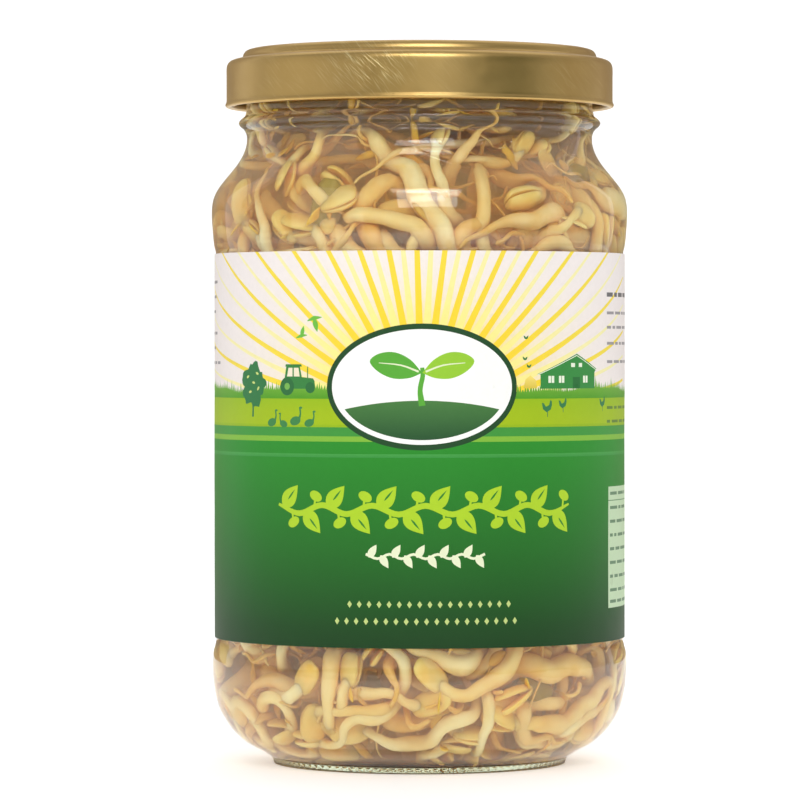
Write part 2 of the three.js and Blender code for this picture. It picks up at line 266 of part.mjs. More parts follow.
function sprout([stem, bean, ...flat]) {
  const pts = [];
  for (let i = 0; i < flat.length; i += 3) pts.push(new THREE.Vector3(flat[i], flat[i + 1], flat[i + 2]).multiplyScalar(0.1));
  const curve = new THREE.CatmullRomCurve3(pts, false, "centripetal");
  const spans = pts.length - 1;
  const at = (u) => curve.getPoint(u / spans);
  const along = (u) => curve.getTangent(u / spans);
  // rings: close together on the bean, then wherever the stem has turned or run on enough
  const us = [0, 0.6, 1.15, 1.9];
  for (let u = 2; u <= spans; u++) {
    const last = us[us.length - 1];
    const turned_ = along(u).angleTo(along(last));
    if (u === spans || turned_ > 0.42 || at(u).distanceTo(at(last)) > 7) us.push(u);
  }
  if (us.length > 5 && us[us.length - 1] - us[us.length - 2] < 1.2) us.splice(us.length - 2, 1);
  let normal = new THREE.Vector3(0, 0, 1);
  if (Math.abs(along(0).z) > 0.9) normal.set(1, 0, 0);
  const rings = [];
  us.forEach((u) => {
    const c = at(u);
    const t = along(u);
    normal.addScaledVector(t, -normal.dot(t)).normalize();
    const side = new THREE.Vector3().crossVectors(t, normal);
    const r = radiusAt(u, stem, bean) * (u === 0 ? 0.8 : 1);
    const ring = [];
    for (let j = 0; j < SPROUT_SIDES; j++) {
      const a = (2 * Math.PI * j) / SPROUT_SIDES;
      ring.push(c.clone().addScaledVector(normal, r * Math.cos(a)).addScaledVector(side, r * Math.sin(a)));
    }
    rings.push(ring);
  });
  const start = at(0).addScaledVector(along(0), -1.3 * bean);
  const end = at(spans).addScaledVector(along(spans), 0.4);
  return loft(start, rings, end);
}

SPROUTS.forEach((row, i) => {
  const tone = new THREE.Color(0xf0e2bf).offsetHSL(0, 0, ((i * 7) % 5) * 0.012 - 0.02);
  add("sprout_" + String(i + 1).padStart(2, "0"), sprout(row), material(tone, 0.4, 0));
});

export default part;
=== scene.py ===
"""The looks of the jar of bean sprouts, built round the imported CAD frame. Metres, +Z up, the label faces -Y."""
import math

import bpy
import numpy as np
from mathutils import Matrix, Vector
from mathutils.geometry import delaunay_2d_cdt


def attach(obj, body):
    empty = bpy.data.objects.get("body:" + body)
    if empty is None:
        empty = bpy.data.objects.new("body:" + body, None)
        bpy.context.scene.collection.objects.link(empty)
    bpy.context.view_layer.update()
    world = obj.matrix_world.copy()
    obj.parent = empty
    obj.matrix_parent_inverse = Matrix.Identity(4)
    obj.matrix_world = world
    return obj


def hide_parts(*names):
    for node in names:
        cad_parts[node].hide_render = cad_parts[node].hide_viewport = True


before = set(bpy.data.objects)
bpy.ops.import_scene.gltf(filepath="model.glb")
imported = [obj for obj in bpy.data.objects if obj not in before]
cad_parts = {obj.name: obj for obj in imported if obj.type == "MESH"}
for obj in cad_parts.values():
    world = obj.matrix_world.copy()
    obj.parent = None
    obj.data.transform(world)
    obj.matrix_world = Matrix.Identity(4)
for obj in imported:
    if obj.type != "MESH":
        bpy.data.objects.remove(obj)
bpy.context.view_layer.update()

MM = 0.001
rng = np.random.default_rng(20)
scene = bpy.context.scene


def lin(r, g, b):
    """sRGB 0..255 to linear RGBA."""
    def f(v):
        v /= 255.0
        return v / 12.92 if v <= 0.04045 else ((v + 0.055) / 1.055) ** 2.4
    return (f(r), f(g), f(b), 1.0)


# ------------------------------------------------------------------ camera, light and stage
cam_data = bpy.data.cameras.new("camera")
cam_data.sensor_width = 36.0
cam_data.lens = 215.3
cam_data.clip_start = 0.02
cam_data.clip_end = 20.0
cam = bpy.data.objects.new("camera", cam_data)
scene.collection.objects.link(cam)
cam.location = (-0.00347, -0.850, 0.0741)
cam.rotation_euler = (math.radians(90.0 - 0.6586), 0.0, 0.0)
scene.camera = cam

scene.view_settings.view_transform = "Standard"
scene.view_settings.look = "None"
scene.view_settings.exposure = 0.0
scene.cycles.caustics_refractive = False
scene.cycles.caustics_reflective = False
scene.cycles.max_bounces = 24
scene.cycles.transmission_bounces = 20
scene.cycles.transparent_max_bounces = 40
scene.cycles.glossy_bounces = 6
scene.cycles.diffuse_bounces = 8
scene.cycles.volume_bounces = 3
scene.cycles.sample_clamp_indirect = 4.0

world = bpy.data.worlds.new("studio")
scene.world = world
world.use_nodes = True
world.node_tree.nodes["Background"].inputs["Color"].default_value = (1.0, 1.0, 1.0, 1.0)
world.node_tree.nodes["Background"].inputs["Strength"].default_value = 0.40


def area(name, loc, target, size, size_y, power, color=(1, 1, 1), spread=None):
    d = bpy.data.lights.new(name, "AREA")
    d.shape = "RECTANGLE"
    d.size, d.size_y = size, size_y
    d.energy = power
    d.color = color
    if spread:
        d.spread = math.radians(spread)
    o = bpy.data.objects.new(name, d)
    scene.collection.objects.link(o)
    o.location = loc
    o.rotation_euler = (Vector(target) - Vector(loc)).to_track_quat("-Z", "Y").to_euler()
    return o


def polar(az, el, dist, z0=0.07):
    """A place round the jar: azimuth from the label's front towards +X, elevation, distance."""
    a, e = math.radians(az), math.radians(el)
    return (dist * math.cos(e) * math.sin(a), -dist * math.cos(e) * math.cos(a), z0 + dist * math.sin(e))


AIM = (0, 0, 0.07)
for lamp in (area("soft_left", polar(-62, 24, 0.9), AIM, 0.6, 0.7, 1.0, (1.0, 0.985, 0.96)),
             area("soft_right", polar(100, 26, 0.9), AIM, 0.5, 0.7, 0.6, (1.0, 0.99, 0.98)),
             area("soft_back", polar(178, 50, 0.9), AIM, 0.8, 0.4, 2.2)):
    lamp.visible_glossy = False
area("soft_front_top", polar(4, 38, 0.85), (0, 0, 0.10), 0.50, 0.34, 2.0)
area("front_top_core", polar(4, 38, 0.84), (0, 0, 0.10), 0.28, 0.10, 0.6)


def mesh_object(name, verts, faces, smooth=True):
    me = bpy.data.meshes.new(name)
    me.from_pydata([tuple(v) for v in verts], [], [tuple(f) for f in faces])
    me.update()
    if smooth:
        me.polygons.foreach_set("use_smooth", np.ones(len(me.polygons), bool))
    ob = bpy.data.objects.new(name, me)
    scene.collection.objects.link(ob)
    return ob


def new_material(name):
    m = bpy.data.materials.new(name)
    m.use_nodes = True
    nt = m.node_tree
    for n in list(nt.nodes):
        nt.nodes.remove(n)
    out = nt.nodes.new("ShaderNodeOutputMaterial")
    return m, nt, out


def node(nt, kind, **inputs):
    n = nt.nodes.new(kind)
    for k, v in inputs.items():
        key = k.replace("_", " ")
        if key in n.inputs:
            n.inputs[key].default_value = v
        else:
            setattr(n, k, v)
    return n


# floor: a pale sweep that runs up behind the jar
def make_stage():
    prof = [(-1.6, 0.0), (0.55, 0.0)]
    for i in range(1, 13):
        a = math.pi / 2 * i / 12
        prof.append((0.55 + 0.5 * math.sin(a), 0.5 - 0.5 * math.cos(a)))
    prof.append((1.05, 1.6))
    verts, faces = [], []
    for y, z in prof:
        verts += [(-2.2, y, z), (2.2, y, z)]
    for i in range(len(prof) - 1):
        faces.append((2 * i, 2 * i + 1, 2 * i + 3, 2 * i + 2))
    ob = mesh_object("floor", verts, faces)
    m, nt, out = new_material("floor_paper")
    b = node(nt, "ShaderNodeBsdfPrincipled", Base_Color=(0.94, 0.94, 0.94, 1), Roughness=0.75)
    b.inputs["Specular IOR Level"].default_value = 0.25
    b.inputs["Emission Color"].default_value = (1, 1, 1, 1)
    b.inputs["Emission Strength"].default_value = 0.34
    nt.links.new(b.outputs[0], out.inputs[0])
    ob.data.materials.append(m)
    return ob


FLOOR = make_stage()


def make_painted_contact_shadow():
    """The patch of paper that the jar covers: no light comes through it, and it is coloured darker than the sheet, a
    painted contact shadow.
    """
    n = 96
    verts = [(0, 0, 0.00004)] + [(0.0259 * math.cos(2 * math.pi * i / n), 0.0259 * math.sin(2 * math.pi * i / n), 0.00004) for i in range(n)]
    ob = mesh_object("floor_painted_shadow", verts, [(0, 1 + i, 1 + (i + 1) % n) for i in range(n)])
    m, nt, out = new_material("floor_painted_shadow")
    # painted contact shadow: grey-brown where the paper is white
    b = node(nt, "ShaderNodeBsdfPrincipled", Base_Color=(0.62, 0.60, 0.55, 1), Roughness=0.8)
    nt.links.new(b.outputs[0], out.inputs[0])
    ob.data.materials.append(m)


make_painted_contact_shadow()


def card(name, az, el, dist, w, h, color, strength):
    """A reflection card: seen only in gloss and through glass, so it shades nothing."""
    loc = Vector(polar(az, el, dist))
    ob = mesh_object(name, [(-w / 2, -h / 2, 0), (w / 2, -h / 2, 0), (w / 2, h / 2, 0), (-w / 2, h / 2, 0)], [(0, 1, 2, 3)])
    ob.location = loc
    ob.rotation_euler = (Vector(AIM) - loc).to_track_quat("Z", "Y").to_euler()
    m, nt, out = new_material(name)
    e = node(nt, "ShaderNodeEmission", Color=color, Strength=strength)
    nt.links.new(e.outputs[0], out.inputs[0])
    ob.data.materials.append(m)
    ob.visible_camera = False
    ob.visible_diffuse = False
    ob.visible_shadow = False
    ob.visible_transmission = False
    ob.visible_volume_scatter = False
    return ob


card("card_dark", 50, 4, 0.60, 0.50, 0.75, (0.14, 0.16, 0.12, 1), 1.0)
card("card_mid", -14, 2, 0.62, 0.36, 0.75, (0.31, 0.32, 0.27, 1), 1.0)
card("card_top", 178, 62, 0.60, 0.9, 0.5, (0.95, 0.94, 0.92, 1), 1.0)
card("card_left", -78, 6, 0.60, 0.50, 0.80, (0.62, 0.60, 0.56, 1), 1.0)
card("card_right", 108, 6, 0.60, 0.42, 0.80, (0.52, 0.50, 0.46, 1), 1.0)
card("flag_left", -150, 4, 0.46, 0.30, 0.70, (0.42, 0.36, 0.27, 1), 1.0)
card("flag_right", 150, 4, 0.46, 0.30, 0.70, (0.42, 0.36, 0.27, 1), 1.0)


def turned(name, profile, segments, smooth=True, closed=False, shift=None):
    """A turned mesh. profile: [(r, z)] in mm; points on the axis become poles; closed joins last to first.
    shift(k, phi, r, z) may move a point."""
    verts, faces, rows = [], [], []
    for k, (r, z) in enumerate(profile):
        if r < 1e-6:
            rows.append([len(verts)])
            verts.append((0, 0, z * MM))
            continue
        row = []
        for i in range(segments):
            phi = 2 * math.pi * i / segments
            rr, zz = (r, z) if shift is None else shift(k, phi, r, z)
            row.append(len(verts))
            verts.append((rr * math.cos(phi) * MM, rr * math.sin(phi) * MM, zz * MM))
        rows.append(row)
    n = len(rows)
    for k in range(n if closed else n - 1):
        a, b = rows[k], rows[(k + 1) % n]
        if len(a) == 1 and len(b) == 1:
            continue
        for i in range(segments):
            j = (i + 1) % segments
            if len(a) == 1:
                faces.append((a[0], b[j], b[i]))
            elif len(b) == 1:
                faces.append((a[i], a[j], b[0]))
            else:
                faces.append((a[i], a[j], b[j], b[i]))
    return mesh_object(name, verts, faces, smooth)


def smooth_profile(pts, per=4):
    """Catmull-Rom through profile points; a point given twice stays a corner."""
    segs, cur = [], [pts[0]]
    for a, b in zip(pts, pts[1:]):
        if a == b:
            segs.append(cur)
            cur = [b]
        else:
            cur.append(b)
    segs.append(cur)
    out = []
    for s in segs:
        p = np.array(s, float)
        if len(p) == 1:
            out.append(tuple(p[0]))
            continue
        if len(p) == 2:
            out += [tuple(p[0]), tuple(p[1])]
            continue
        q = np.vstack([2 * p[0] - p[1], p, 2 * p[-1] - p[-2]])
        for i in range(1, len(q) - 2):
            d = [max(np.linalg.norm(q[i + j + 1] - q[i + j]) ** 0.5, 1e-6) for j in (-1, 0, 1)]
            t = [0, d[0], d[0] + d[1], d[0] + d[1] + d[2]]
            for k in range(per):
                u = t[1] + (t[2] - t[1]) * k / per
                a1 = (t[1] - u) / d[0] * q[i - 1] + (u - t[0]) / d[0] * q[i]
                a2 = (t[2] - u) / d[1] * q[i] + (u - t[1]) / d[1] * q[i + 1]
                a3 = (t[3] - u) / d[2] * q[i + 1] + (u - t[2]) / d[2] * q[i + 2]
                b1 = (t[2] - u) / (t[2] - t[0]) * a1 + (u - t[0]) / (t[2] - t[0]) * a2
                b2 = (t[3] - u) / (t[3] - t[1]) * a2 + (u - t[1]) / (t[3] - t[1]) * a3
                out.append(tuple((t[2] - u) / d[1] * b1 + (u - t[1]) / d[1] * b2))
        out.append(tuple(p[-1]))
    clean = [out[0]]
    for p in out[1:]:
        if abs(p[0] - clean[-1][0]) + abs(p[1] - clean[-1][1]) > 1e-4:
            clean.append((max(p[0], 0.0), p[1]))
    return clean


def outward(ob):
    import bmesh
    bm = bmesh.new()
    bm.from_mesh(ob.data)
    bmesh.ops.recalc_face_normals(bm, faces=bm.faces)
    bm.to_mesh(ob.data)
    bm.free()
    ob.data.update()


def hidden_from_light(nt, shader, out, tint=(1, 1, 1, 1)):
    """Light that reaches or leaves dull surfaces passes straight through clear ones, as it would after refraction."""
    path = nt.nodes.new("ShaderNodeLightPath")
    clear = node(nt, "ShaderNodeBsdfTransparent", Color=tint)
    pick = nt.nodes.new("ShaderNodeMath")
    pick.operation = "MAXIMUM"
    nt.links.new(path.outputs["Is Shadow Ray"], pick.inputs[0])
    nt.links.new(path.outputs["Is Diffuse Ray"], pick.inputs[1])
    mix = nt.nodes.new("ShaderNodeMixShader")
    nt.links.new(pick.outputs[0], mix.inputs[0])
    nt.links.new(shader.outputs[0], mix.inputs[1])
    nt.links.new(clear.outputs[0], mix.inputs[2])
    nt.links.new(mix.outputs[0], out.inputs["Surface"])


# ------------------------------------------------------------------ glass jar
FINISH_R, RIM_Z, RIDGE_R, TURN, LIFT = 30.8, 124.3, 32.7, 63.0, 2.0
OUTER = [
    (0, 1.9), (6, 1.85), (12, 1.6), (17, 1.2), (19.5, 0.9), (22.2, 0.35), (23.2, 0.06), (23.7, 0.0), (23.7, 0.0),
    (25.2, 0.0), (25.2, 0.0), (25.75, 0.25), (26.05, 0.75), (26.2, 1.15), (26.2, 1.15), (26.75, 1.5), (28.1, 2.35),
    (30.5, 3.6), (31.9, 4.65), (33.0, 5.7), (33.9, 6.8), (34.6, 7.85), (35.3, 9.05), (35.8, 10.3), (36.25, 12.1),
    (36.6, 14.2), (36.78, 16.5), (36.78, 18.5), (36.62, 19.9), (36.3, 21.1), (36.18, 21.9), (36.15, 23.5),
    (36.15, 40), (36.15, 60), (36.15, 80), (36.15, 89.5), (36.2, 90.6), (36.4, 91.4), (36.58, 92.6), (36.75, 94.6),
    (36.88, 96.6), (36.85, 98.4), (36.55, 100.1), (35.85, 101.6), (34.9, 102.95), (33.4, 104.8), (32.3, 106.2),
    (31.4, 107.7), (30.85, 109.1), (30.66, 110.2), (30.7, 111.2), (31.05, 112.0), (31.75, 112.65), (32.12, 113.35),
    (31.75, 114.05), (31.1, 114.55), (30.88, 115.1), (FINISH_R, 115.8), (FINISH_R, 117.0),
]
TOP_OUT = [(FINISH_R, 123.0), (30.72, 123.6), (30.45, 124.05), (30.0, 124.28), (29.5, RIM_Z), (29.0, 124.27), (28.5, 124.0), (28.25, 123.5)]
INNER = [
    (28.2, 122.5), (28.2, 115), (28.2, 111), (28.25, 109.4), (28.55, 107.6), (29.1, 106.1), (30.0, 104.6), (31.2, 103.0),
    (32.35, 101.5), (33.25, 99.9), (33.85, 98.1), (34.1, 96.2), (34.1, 93.8), (33.8, 91.0), (33.6, 88.0), (33.5, 84.0),
    (33.5, 60.0), (33.5, 40.0), (33.5, 24.0), (33.65, 19.5), (33.75, 16.5), (33.6, 13.8), (33.1, 11.6), (32.2, 9.6),
    (30.8, 7.8), (29.0, 6.2), (26.6, 4.9), (24.2, 4.2), (21.5, 3.85), (17.0, 3.8), (12.0, 4.1), (6.0, 4.5), (0, 4.6),
]
N_SEG = 320


def wave(phi, z):
    """The unevenness of the inside of blown glass, in mm."""
    return (0.10 * math.sin(2 * phi + 0.7 + z * 0.021) + 0.07 * math.sin(3 * phi - z * 0.045) + 0.045 * math.sin(7 * phi + z * 0.11)
            + 0.03 * math.sin(11 * phi - z * 0.19)) * min(1.0, max(0.0, (z - 5.0) / 6.0)) * min(1.0, max(0.0, (121.0 - z) / 8.0))


def ridge_profile(phi):
    """Four rows of points that stand out along the thread ridges."""
    deg = math.degrees(phi)
    d = ((deg + 45 - 18) % 90) - 27
    t = min(1.0, max(0.0, (d + 18) / 9.0)) * min(1.0, max(0.0, (54 - d) / 9.0))
    t = t * t * (3 - 2 * t)
    back = max(0.0, (d - 54) / 9.0)
    d2 = d if d < 54 else 54 - 81 * back
    z0 = 118.65 + LIFT * d2 / TURN
    out = RIDGE_R - FINISH_R
    return [(FINISH_R, z0 - 0.15), (FINISH_R + 0.75 * out * t, z0 + 0.05), (FINISH_R + 0.98 * out * t, z0 + 0.42),
            (FINISH_R + 0.98 * out * t, z0 + 0.95), (FINISH_R + 0.7 * out * t, z0 + 1.4), (FINISH_R, z0 + 1.75)]


def make_jar():
    a = smooth_profile(OUTER, 4)
    n0 = len(a)
    ridge = [(FINISH_R, 118.0 + 0.3 * i) for i in range(6)]
    b = smooth_profile(TOP_OUT, 3)
    c = smooth_profile(INNER, 4)
    prof = a + ridge + b + c
    rows_in = n0 + 6 + len(b)
    knurl = 108

    def shift(k, phi, r, z):
        if n0 <= k < n0 + 6:
            return ridge_profile(phi)[k - n0]
        if k >= rows_in:
            return r + wave(phi, z), z
        if z < 1.3 and 23.5 < r < 26.4:  # stippled standing ring
            w = 0.5 + 0.5 * math.cos(knurl * phi + (2.1 * z if z > 0.05 else 0) + 0.8 * math.sin(7 * phi))
            edge = min(1.0, (r - 23.5) / 0.6) * min(1.0, (26.35 - r) / 0.4)
            if r < 25.25:
                return r, z + 0.22 * (1 - w) * max(0.0, edge)
            return r + 0.34 * (w - 0.6) * max(0.0, edge), z
        seam = 0.0  # two mould seams, at the sides
        for s0 in (0.09, math.pi + 0.09):
            dd = (phi - s0 + math.pi) % (2 * math.pi) - math.pi
            seam += 0.05 * math.exp(-(dd / 0.006) ** 2)
        if 2.0 < z < 112 and r > 26:
            return r + seam + 0.02 * math.sin(3 * phi + z * 0.05), z
        return r, z

    ob = turned("jar_glass", prof, N_SEG, shift=shift)
    outward(ob)
    m, nt, out = new_material("jar_glass")
    b = node(nt, "ShaderNodeBsdfPrincipled", Base_Color=(0.985, 1.0, 0.985, 1), Roughness=0.0, IOR=1.5)
    b.inputs["Transmission Weight"].default_value = 1.0
    tex = nt.nodes.new("ShaderNodeTexCoord")
    noise = node(nt, "ShaderNodeTexNoise", Scale=55.0, Detail=2.0)
    nt.links.new(tex.outputs["Object"], noise.inputs["Vector"])
    bump = node(nt, "ShaderNodeBump", Strength=0.10, Distance=0.0006)
    nt.links.new(noise.outputs[0], bump.inputs["Height"])
    nt.links.new(bump.outputs[0], b.inputs["Normal"])
    hidden_from_light(nt, b, out, (0.985, 0.99, 0.985, 1))
    v = node(nt, "ShaderNodeVolumeAbsorption", Color=(0.76, 0.86, 0.64, 1), Density=24.0)
    nt.links.new(v.outputs[0], out.inputs["Volume"])
    ob.data.materials.append(m)
    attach(ob, "root")
    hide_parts("glass_jar")
    return ob


# ------------------------------------------------------------------ brine: fills the jar, with one trapped bubble of air
LEVEL = 119.3
HAZE = 75.0


def make_brine():
    inner = [p for p in smooth_profile(INNER, 4) if p[1] < LEVEL - 0.9]
    prof = [(0, LEVEL - 0.5), (10, LEVEL - 0.5), (18, LEVEL - 0.5), (23, LEVEL - 0.47), (26, LEVEL - 0.35), (27.3, LEVEL - 0.1), (27.9, LEVEL + 0.35), (28.22, LEVEL + 0.9)]
    prof = prof + [(28.25, LEVEL + 0.2), (28.25, LEVEL - 0.4)]
    n1 = len(prof)
    prof = prof + inner

    def shift(k, phi, r, z):
        if k < n1:
            return r, z
        rr = r + wave(phi, z)
        g = 0.05
        if r < 26.5 and z < 6:
            return r, z - g
        # the air bubble under the front of the neck, right of the middle
        az = math.degrees(phi + math.pi / 2)
        az = (az + 180) % 360 - 180
        u, v = (az - 15.5) / 17.5, (z - 109.6) / 4.7
        v += 0.25 * math.cos(u * 2.2) - 0.1
        q = 1 - (abs(u) ** 2.3 + abs(v) ** 2.3)
        if q > 0:
            return rr + g - 4.2 * min(1.0, q * 1.1) ** 0.5, z
        return rr + g, z

    ob = turned("brine_body", prof, 240, shift=shift)
    outward(ob)
    m, nt, out = new_material("brine")
    b = node(nt, "ShaderNodeBsdfPrincipled", Base_Color=(1.0, 1.0, 1.0, 1), Roughness=0.0, IOR=1.34)
    b.inputs["Transmission Weight"].default_value = 1.0
    hidden_from_light(nt, b, out)
    v = node(nt, "ShaderNodeVolumeAbsorption", Color=(0.978, 0.785, 0.42, 1), Density=150.0)
    haze = node(nt, "ShaderNodeVolumeScatter", Color=(1.0, 0.83, 0.42, 1), Density=HAZE)
    both = nt.nodes.new("ShaderNodeAddShader")
    nt.links.new(v.outputs[0], both.inputs[0])
    nt.links.new(haze.outputs[0], both.inputs[1])
    nt.links.new(both.outputs[0], out.inputs["Volume"])
    ob.data.materials.append(m)
    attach(ob, "root")
    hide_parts("brine")
    return ob


# ------------------------------------------------------------------ lid and sealing ring
def lid_material():
    m, nt, out = new_material("lid_gold_lacquer")
    tex = nt.nodes.new("ShaderNodeTexCoord")
    b = node(nt, "ShaderNodeBsdfPrincipled", Metallic=1.0, Roughness=0.3)
    # colour: slight unevenness of the lacquer
    n1 = node(nt, "ShaderNodeTexNoise", Scale=60.0, Detail=4.0)
    nt.links.new(tex.outputs["Object"], n1.inputs["Vector"])
    ramp = nt.nodes.new("ShaderNodeValToRGB")
    ramp.color_ramp.elements[0].position, ramp.color_ramp.elements[0].color = 0.30, lin(192, 158, 96)
    ramp.color_ramp.elements[1].position, ramp.color_ramp.elements[1].color = 0.72, lin(208, 176, 112)
    nt.links.new(n1.outputs[0], ramp.inputs[0])
    nt.links.new(ramp.outputs[0], b.inputs["Base Color"])
    # roughness: rolled sheet plus scuffs
    n2 = node(nt, "ShaderNodeTexNoise", Scale=420.0, Detail=3.0)
    nt.links.new(tex.outputs["Object"], n2.inputs["Vector"])
    mr = node(nt, "ShaderNodeMapRange")
    mr.inputs["To Min"].default_value, mr.inputs["To Max"].default_value = 0.30, 0.42
    nt.links.new(n2.outputs[0], mr.inputs["Value"])
    nt.links.new(mr.outputs[0], b.inputs["Roughness"])
    # fine scratches: two families of stretched noise, worst in one worn patch at the front
    heights = []
    for rot, seed in ((math.radians(-34), 0.0), (math.radians(-47), 0.037)):
        mp = nt.nodes.new("ShaderNodeMapping")
        mp.vector_type = "TEXTURE"
        mp.inputs["Rotation"].default_value = (0.0, rot, 0.0)
        mp.inputs["Scale"].default_value = (1 / 5200, 1 / 60, 1 / 260)
        mp.inputs["Location"].default_value = (seed, seed, seed)
        nt.links.new(tex.outputs["Object"], mp.inputs["Vector"])
        nn = node(nt, "ShaderNodeTexNoise", Scale=1.0, Detail=1.5)
        nt.links.new(mp.outputs[0], nn.inputs["Vector"])
        mr2 = node(nt, "ShaderNodeMapRange")
        mr2.inputs["From Min"].default_value, mr2.inputs["From Max"].default_value = 0.57, 0.72
        nt.links.new(nn.outputs[0], mr2.inputs["Value"])
        heights.append(mr2)
    total = heights[0]
    for h in heights[1:]:
        add_ = nt.nodes.new("ShaderNodeMath")
        add_.operation = "ADD"
        nt.links.new(total.outputs[0], add_.inputs[0])
        nt.links.new(h.outputs[0], add_.inputs[1])
        total = add_
    spot = nt.nodes.new("ShaderNodeMapping")
    spot.vector_type = "TEXTURE"
    spot.inputs["Location"].default_value = (-0.0095, -0.033, 0.1222)
    spot.inputs["Scale"].default_value = (0.0105, 0.012, 0.0062)
    nt.links.new(tex.outputs["Object"], spot.inputs["Vector"])
    ball = nt.nodes.new("ShaderNodeTexGradient")
    ball.gradient_type = "SPHERICAL"
    nt.links.new(spot.outputs[0], ball.inputs["Vector"])
    patch = node(nt, "ShaderNodeTexNoise", Scale=70.0, Detail=1.0)
    nt.links.new(tex.outputs["Object"], patch.inputs["Vector"])
    pr = node(nt, "ShaderNodeMapRange")
    pr.inputs["From Min"].default_value, pr.inputs["From Max"].default_value = 0.5, 0.75
    pr.inputs["To Min"].default_value, pr.inputs["To Max"].default_value = 0.03, 0.25
    nt.links.new(patch.outputs[0], pr.inputs["Value"])
    where = nt.nodes.new("ShaderNodeMath")
    where.operation = "ADD"
    nt.links.new(ball.outputs[1], where.inputs[0])
    nt.links.new(pr.outputs[0], where.inputs[1])
    mul = nt.nodes.new("ShaderNodeMath")
    mul.operation = "MULTIPLY"
    mul.use_clamp = True
    nt.links.new(total.outputs[0], mul.inputs[0])
    nt.links.new(where.outputs[0], mul.inputs[1])
    pale = nt.nodes.new("ShaderNodeMix")
    pale.data_type = "RGBA"
    nt.links.new(mul.outputs[0], pale.inputs[0])
    nt.links.new(ramp.outputs[0], pale.inputs[6])
    pale.inputs[7].default_value = lin(246, 228, 172)
    nt.links.new(pale.outputs[2], b.inputs["Base Color"])
    bump = node(nt, "ShaderNodeBump", Strength=0.5, Distance=0.00003)
    nt.links.new(mul.outputs[0], bump.inputs["Height"])
    nt.links.new(bump.outputs[0], b.inputs["Normal"])
    nt.links.new(b.outputs[0], out.inputs[0])
    return m


def make_lid():
    T = 0.22
    # outer face from the middle of the panel to the start of the hem roll
    face = [
        (0, 125.50), (5, 125.49), (9.8, 125.46), (10.9, 125.46), (11.6, 125.58), (12.4, 125.72), (13.4, 125.76),
        (22, 125.76), (25.8, 125.76), (26.7, 125.86), (27.4, 126.14), (28.2, 126.36), (29.2, 126.4), (30.2, 126.36),
        (30.9, 126.08), (31.25, 125.6), (31.4, 125.15), (31.65, 124.8), (32.1, 124.62), (32.7, 124.6), (33.3, 124.45),
        (33.85, 124.12), (34.15, 123.6), (34.25, 123.0), (34.25, 121.5), (34.25, 119.6), (34.25, 118.0), (34.255, 117.3),
        (34.30, 117.0), (34.42, 116.78), (34.46, 116.52), (34.30, 116.26), (33.95, 116.13), (33.6, 116.2), (33.32, 116.42),
        (33.2, 116.8), (33.2, 117.3), (33.3, 117.75), (33.55, 118.0), (33.8, 117.9), (33.95, 117.6), (33.95, 117.2),
    ]
    p = np.array(smooth_profile(face, 3))
    d = np.gradient(p, axis=0)
    nrm = np.stack([-d[:, 1], d[:, 0]], 1)
    nrm /= np.linalg.norm(nrm, axis=1)[:, None] + 1e-12
    # the inside face lies one sheet thickness to the side of the outer one
    inner = p - nrm * T
    inner[0, 0] = 0.0
    prof = [tuple(q) for q in p] + [tuple(q) for q in inner[::-1]]
    prof = [(max(r, 0.0), z) for r, z in prof]
    ob = turned("lid_shell", prof, 256)
    # lugs: four tabs pressed in from the hem
    verts = [tuple(v.co) for v in ob.data.vertices]
    faces = [tuple(f.vertices) for f in ob.data.polygons]
    lugs_v, lugs_f = [], []
    for i in range(4):
        c = math.radians(90 * i)
        na, nr, nz = 14, 5, 3
        base = len(lugs_v)
        grid = {}
        secs = [(33.35, 116.55), (32.6, 116.75), (31.95, 117.15), (31.62, 117.55), (31.62, 117.75), (31.8, 118.0), (32.3, 118.08), (33.0, 118.02), (33.35, 117.9)]
        for a in range(na + 1):
            t = -1 + 2 * a / na
            half = math.radians(7.0)
            fade = (1 - abs(t) ** 6)
            for k, (r, z) in enumerate(secs):
                rr = 33.35 - (33.35 - r) * (0.25 + 0.75 * fade)
                zz = 117.3 + (z - 117.3) * (0.55 + 0.45 * fade)
                ang = c + t * half
                grid[a, k] = len(lugs_v)
                lugs_v.append((rr * math.cos(ang) * MM, rr * math.sin(ang) * MM, zz * MM))
        K = len(secs)
        for a in range(na):
            for k in range(K):
                lugs_f.append((grid[a, k], grid[a + 1, k], grid[a + 1, (k + 1) % K], grid[a, (k + 1) % K]))
        lugs_f.append(tuple(grid[0, k] for k in range(K)))
        lugs_f.append(tuple(grid[na, k] for k in reversed(range(K))))
    off = len(verts)
    verts += lugs_v
    faces += [tuple(i + off for i in f) for f in lugs_f]
    old = ob.data
    bpy.data.objects.remove(ob)
    bpy.data.meshes.remove(old)
    ob = mesh_object("lid_shell", verts, faces)
    outward(ob)
    ob.data.materials.append(lid_material())
    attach(ob, "lid")
    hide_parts("twist_off_lid")
    return ob


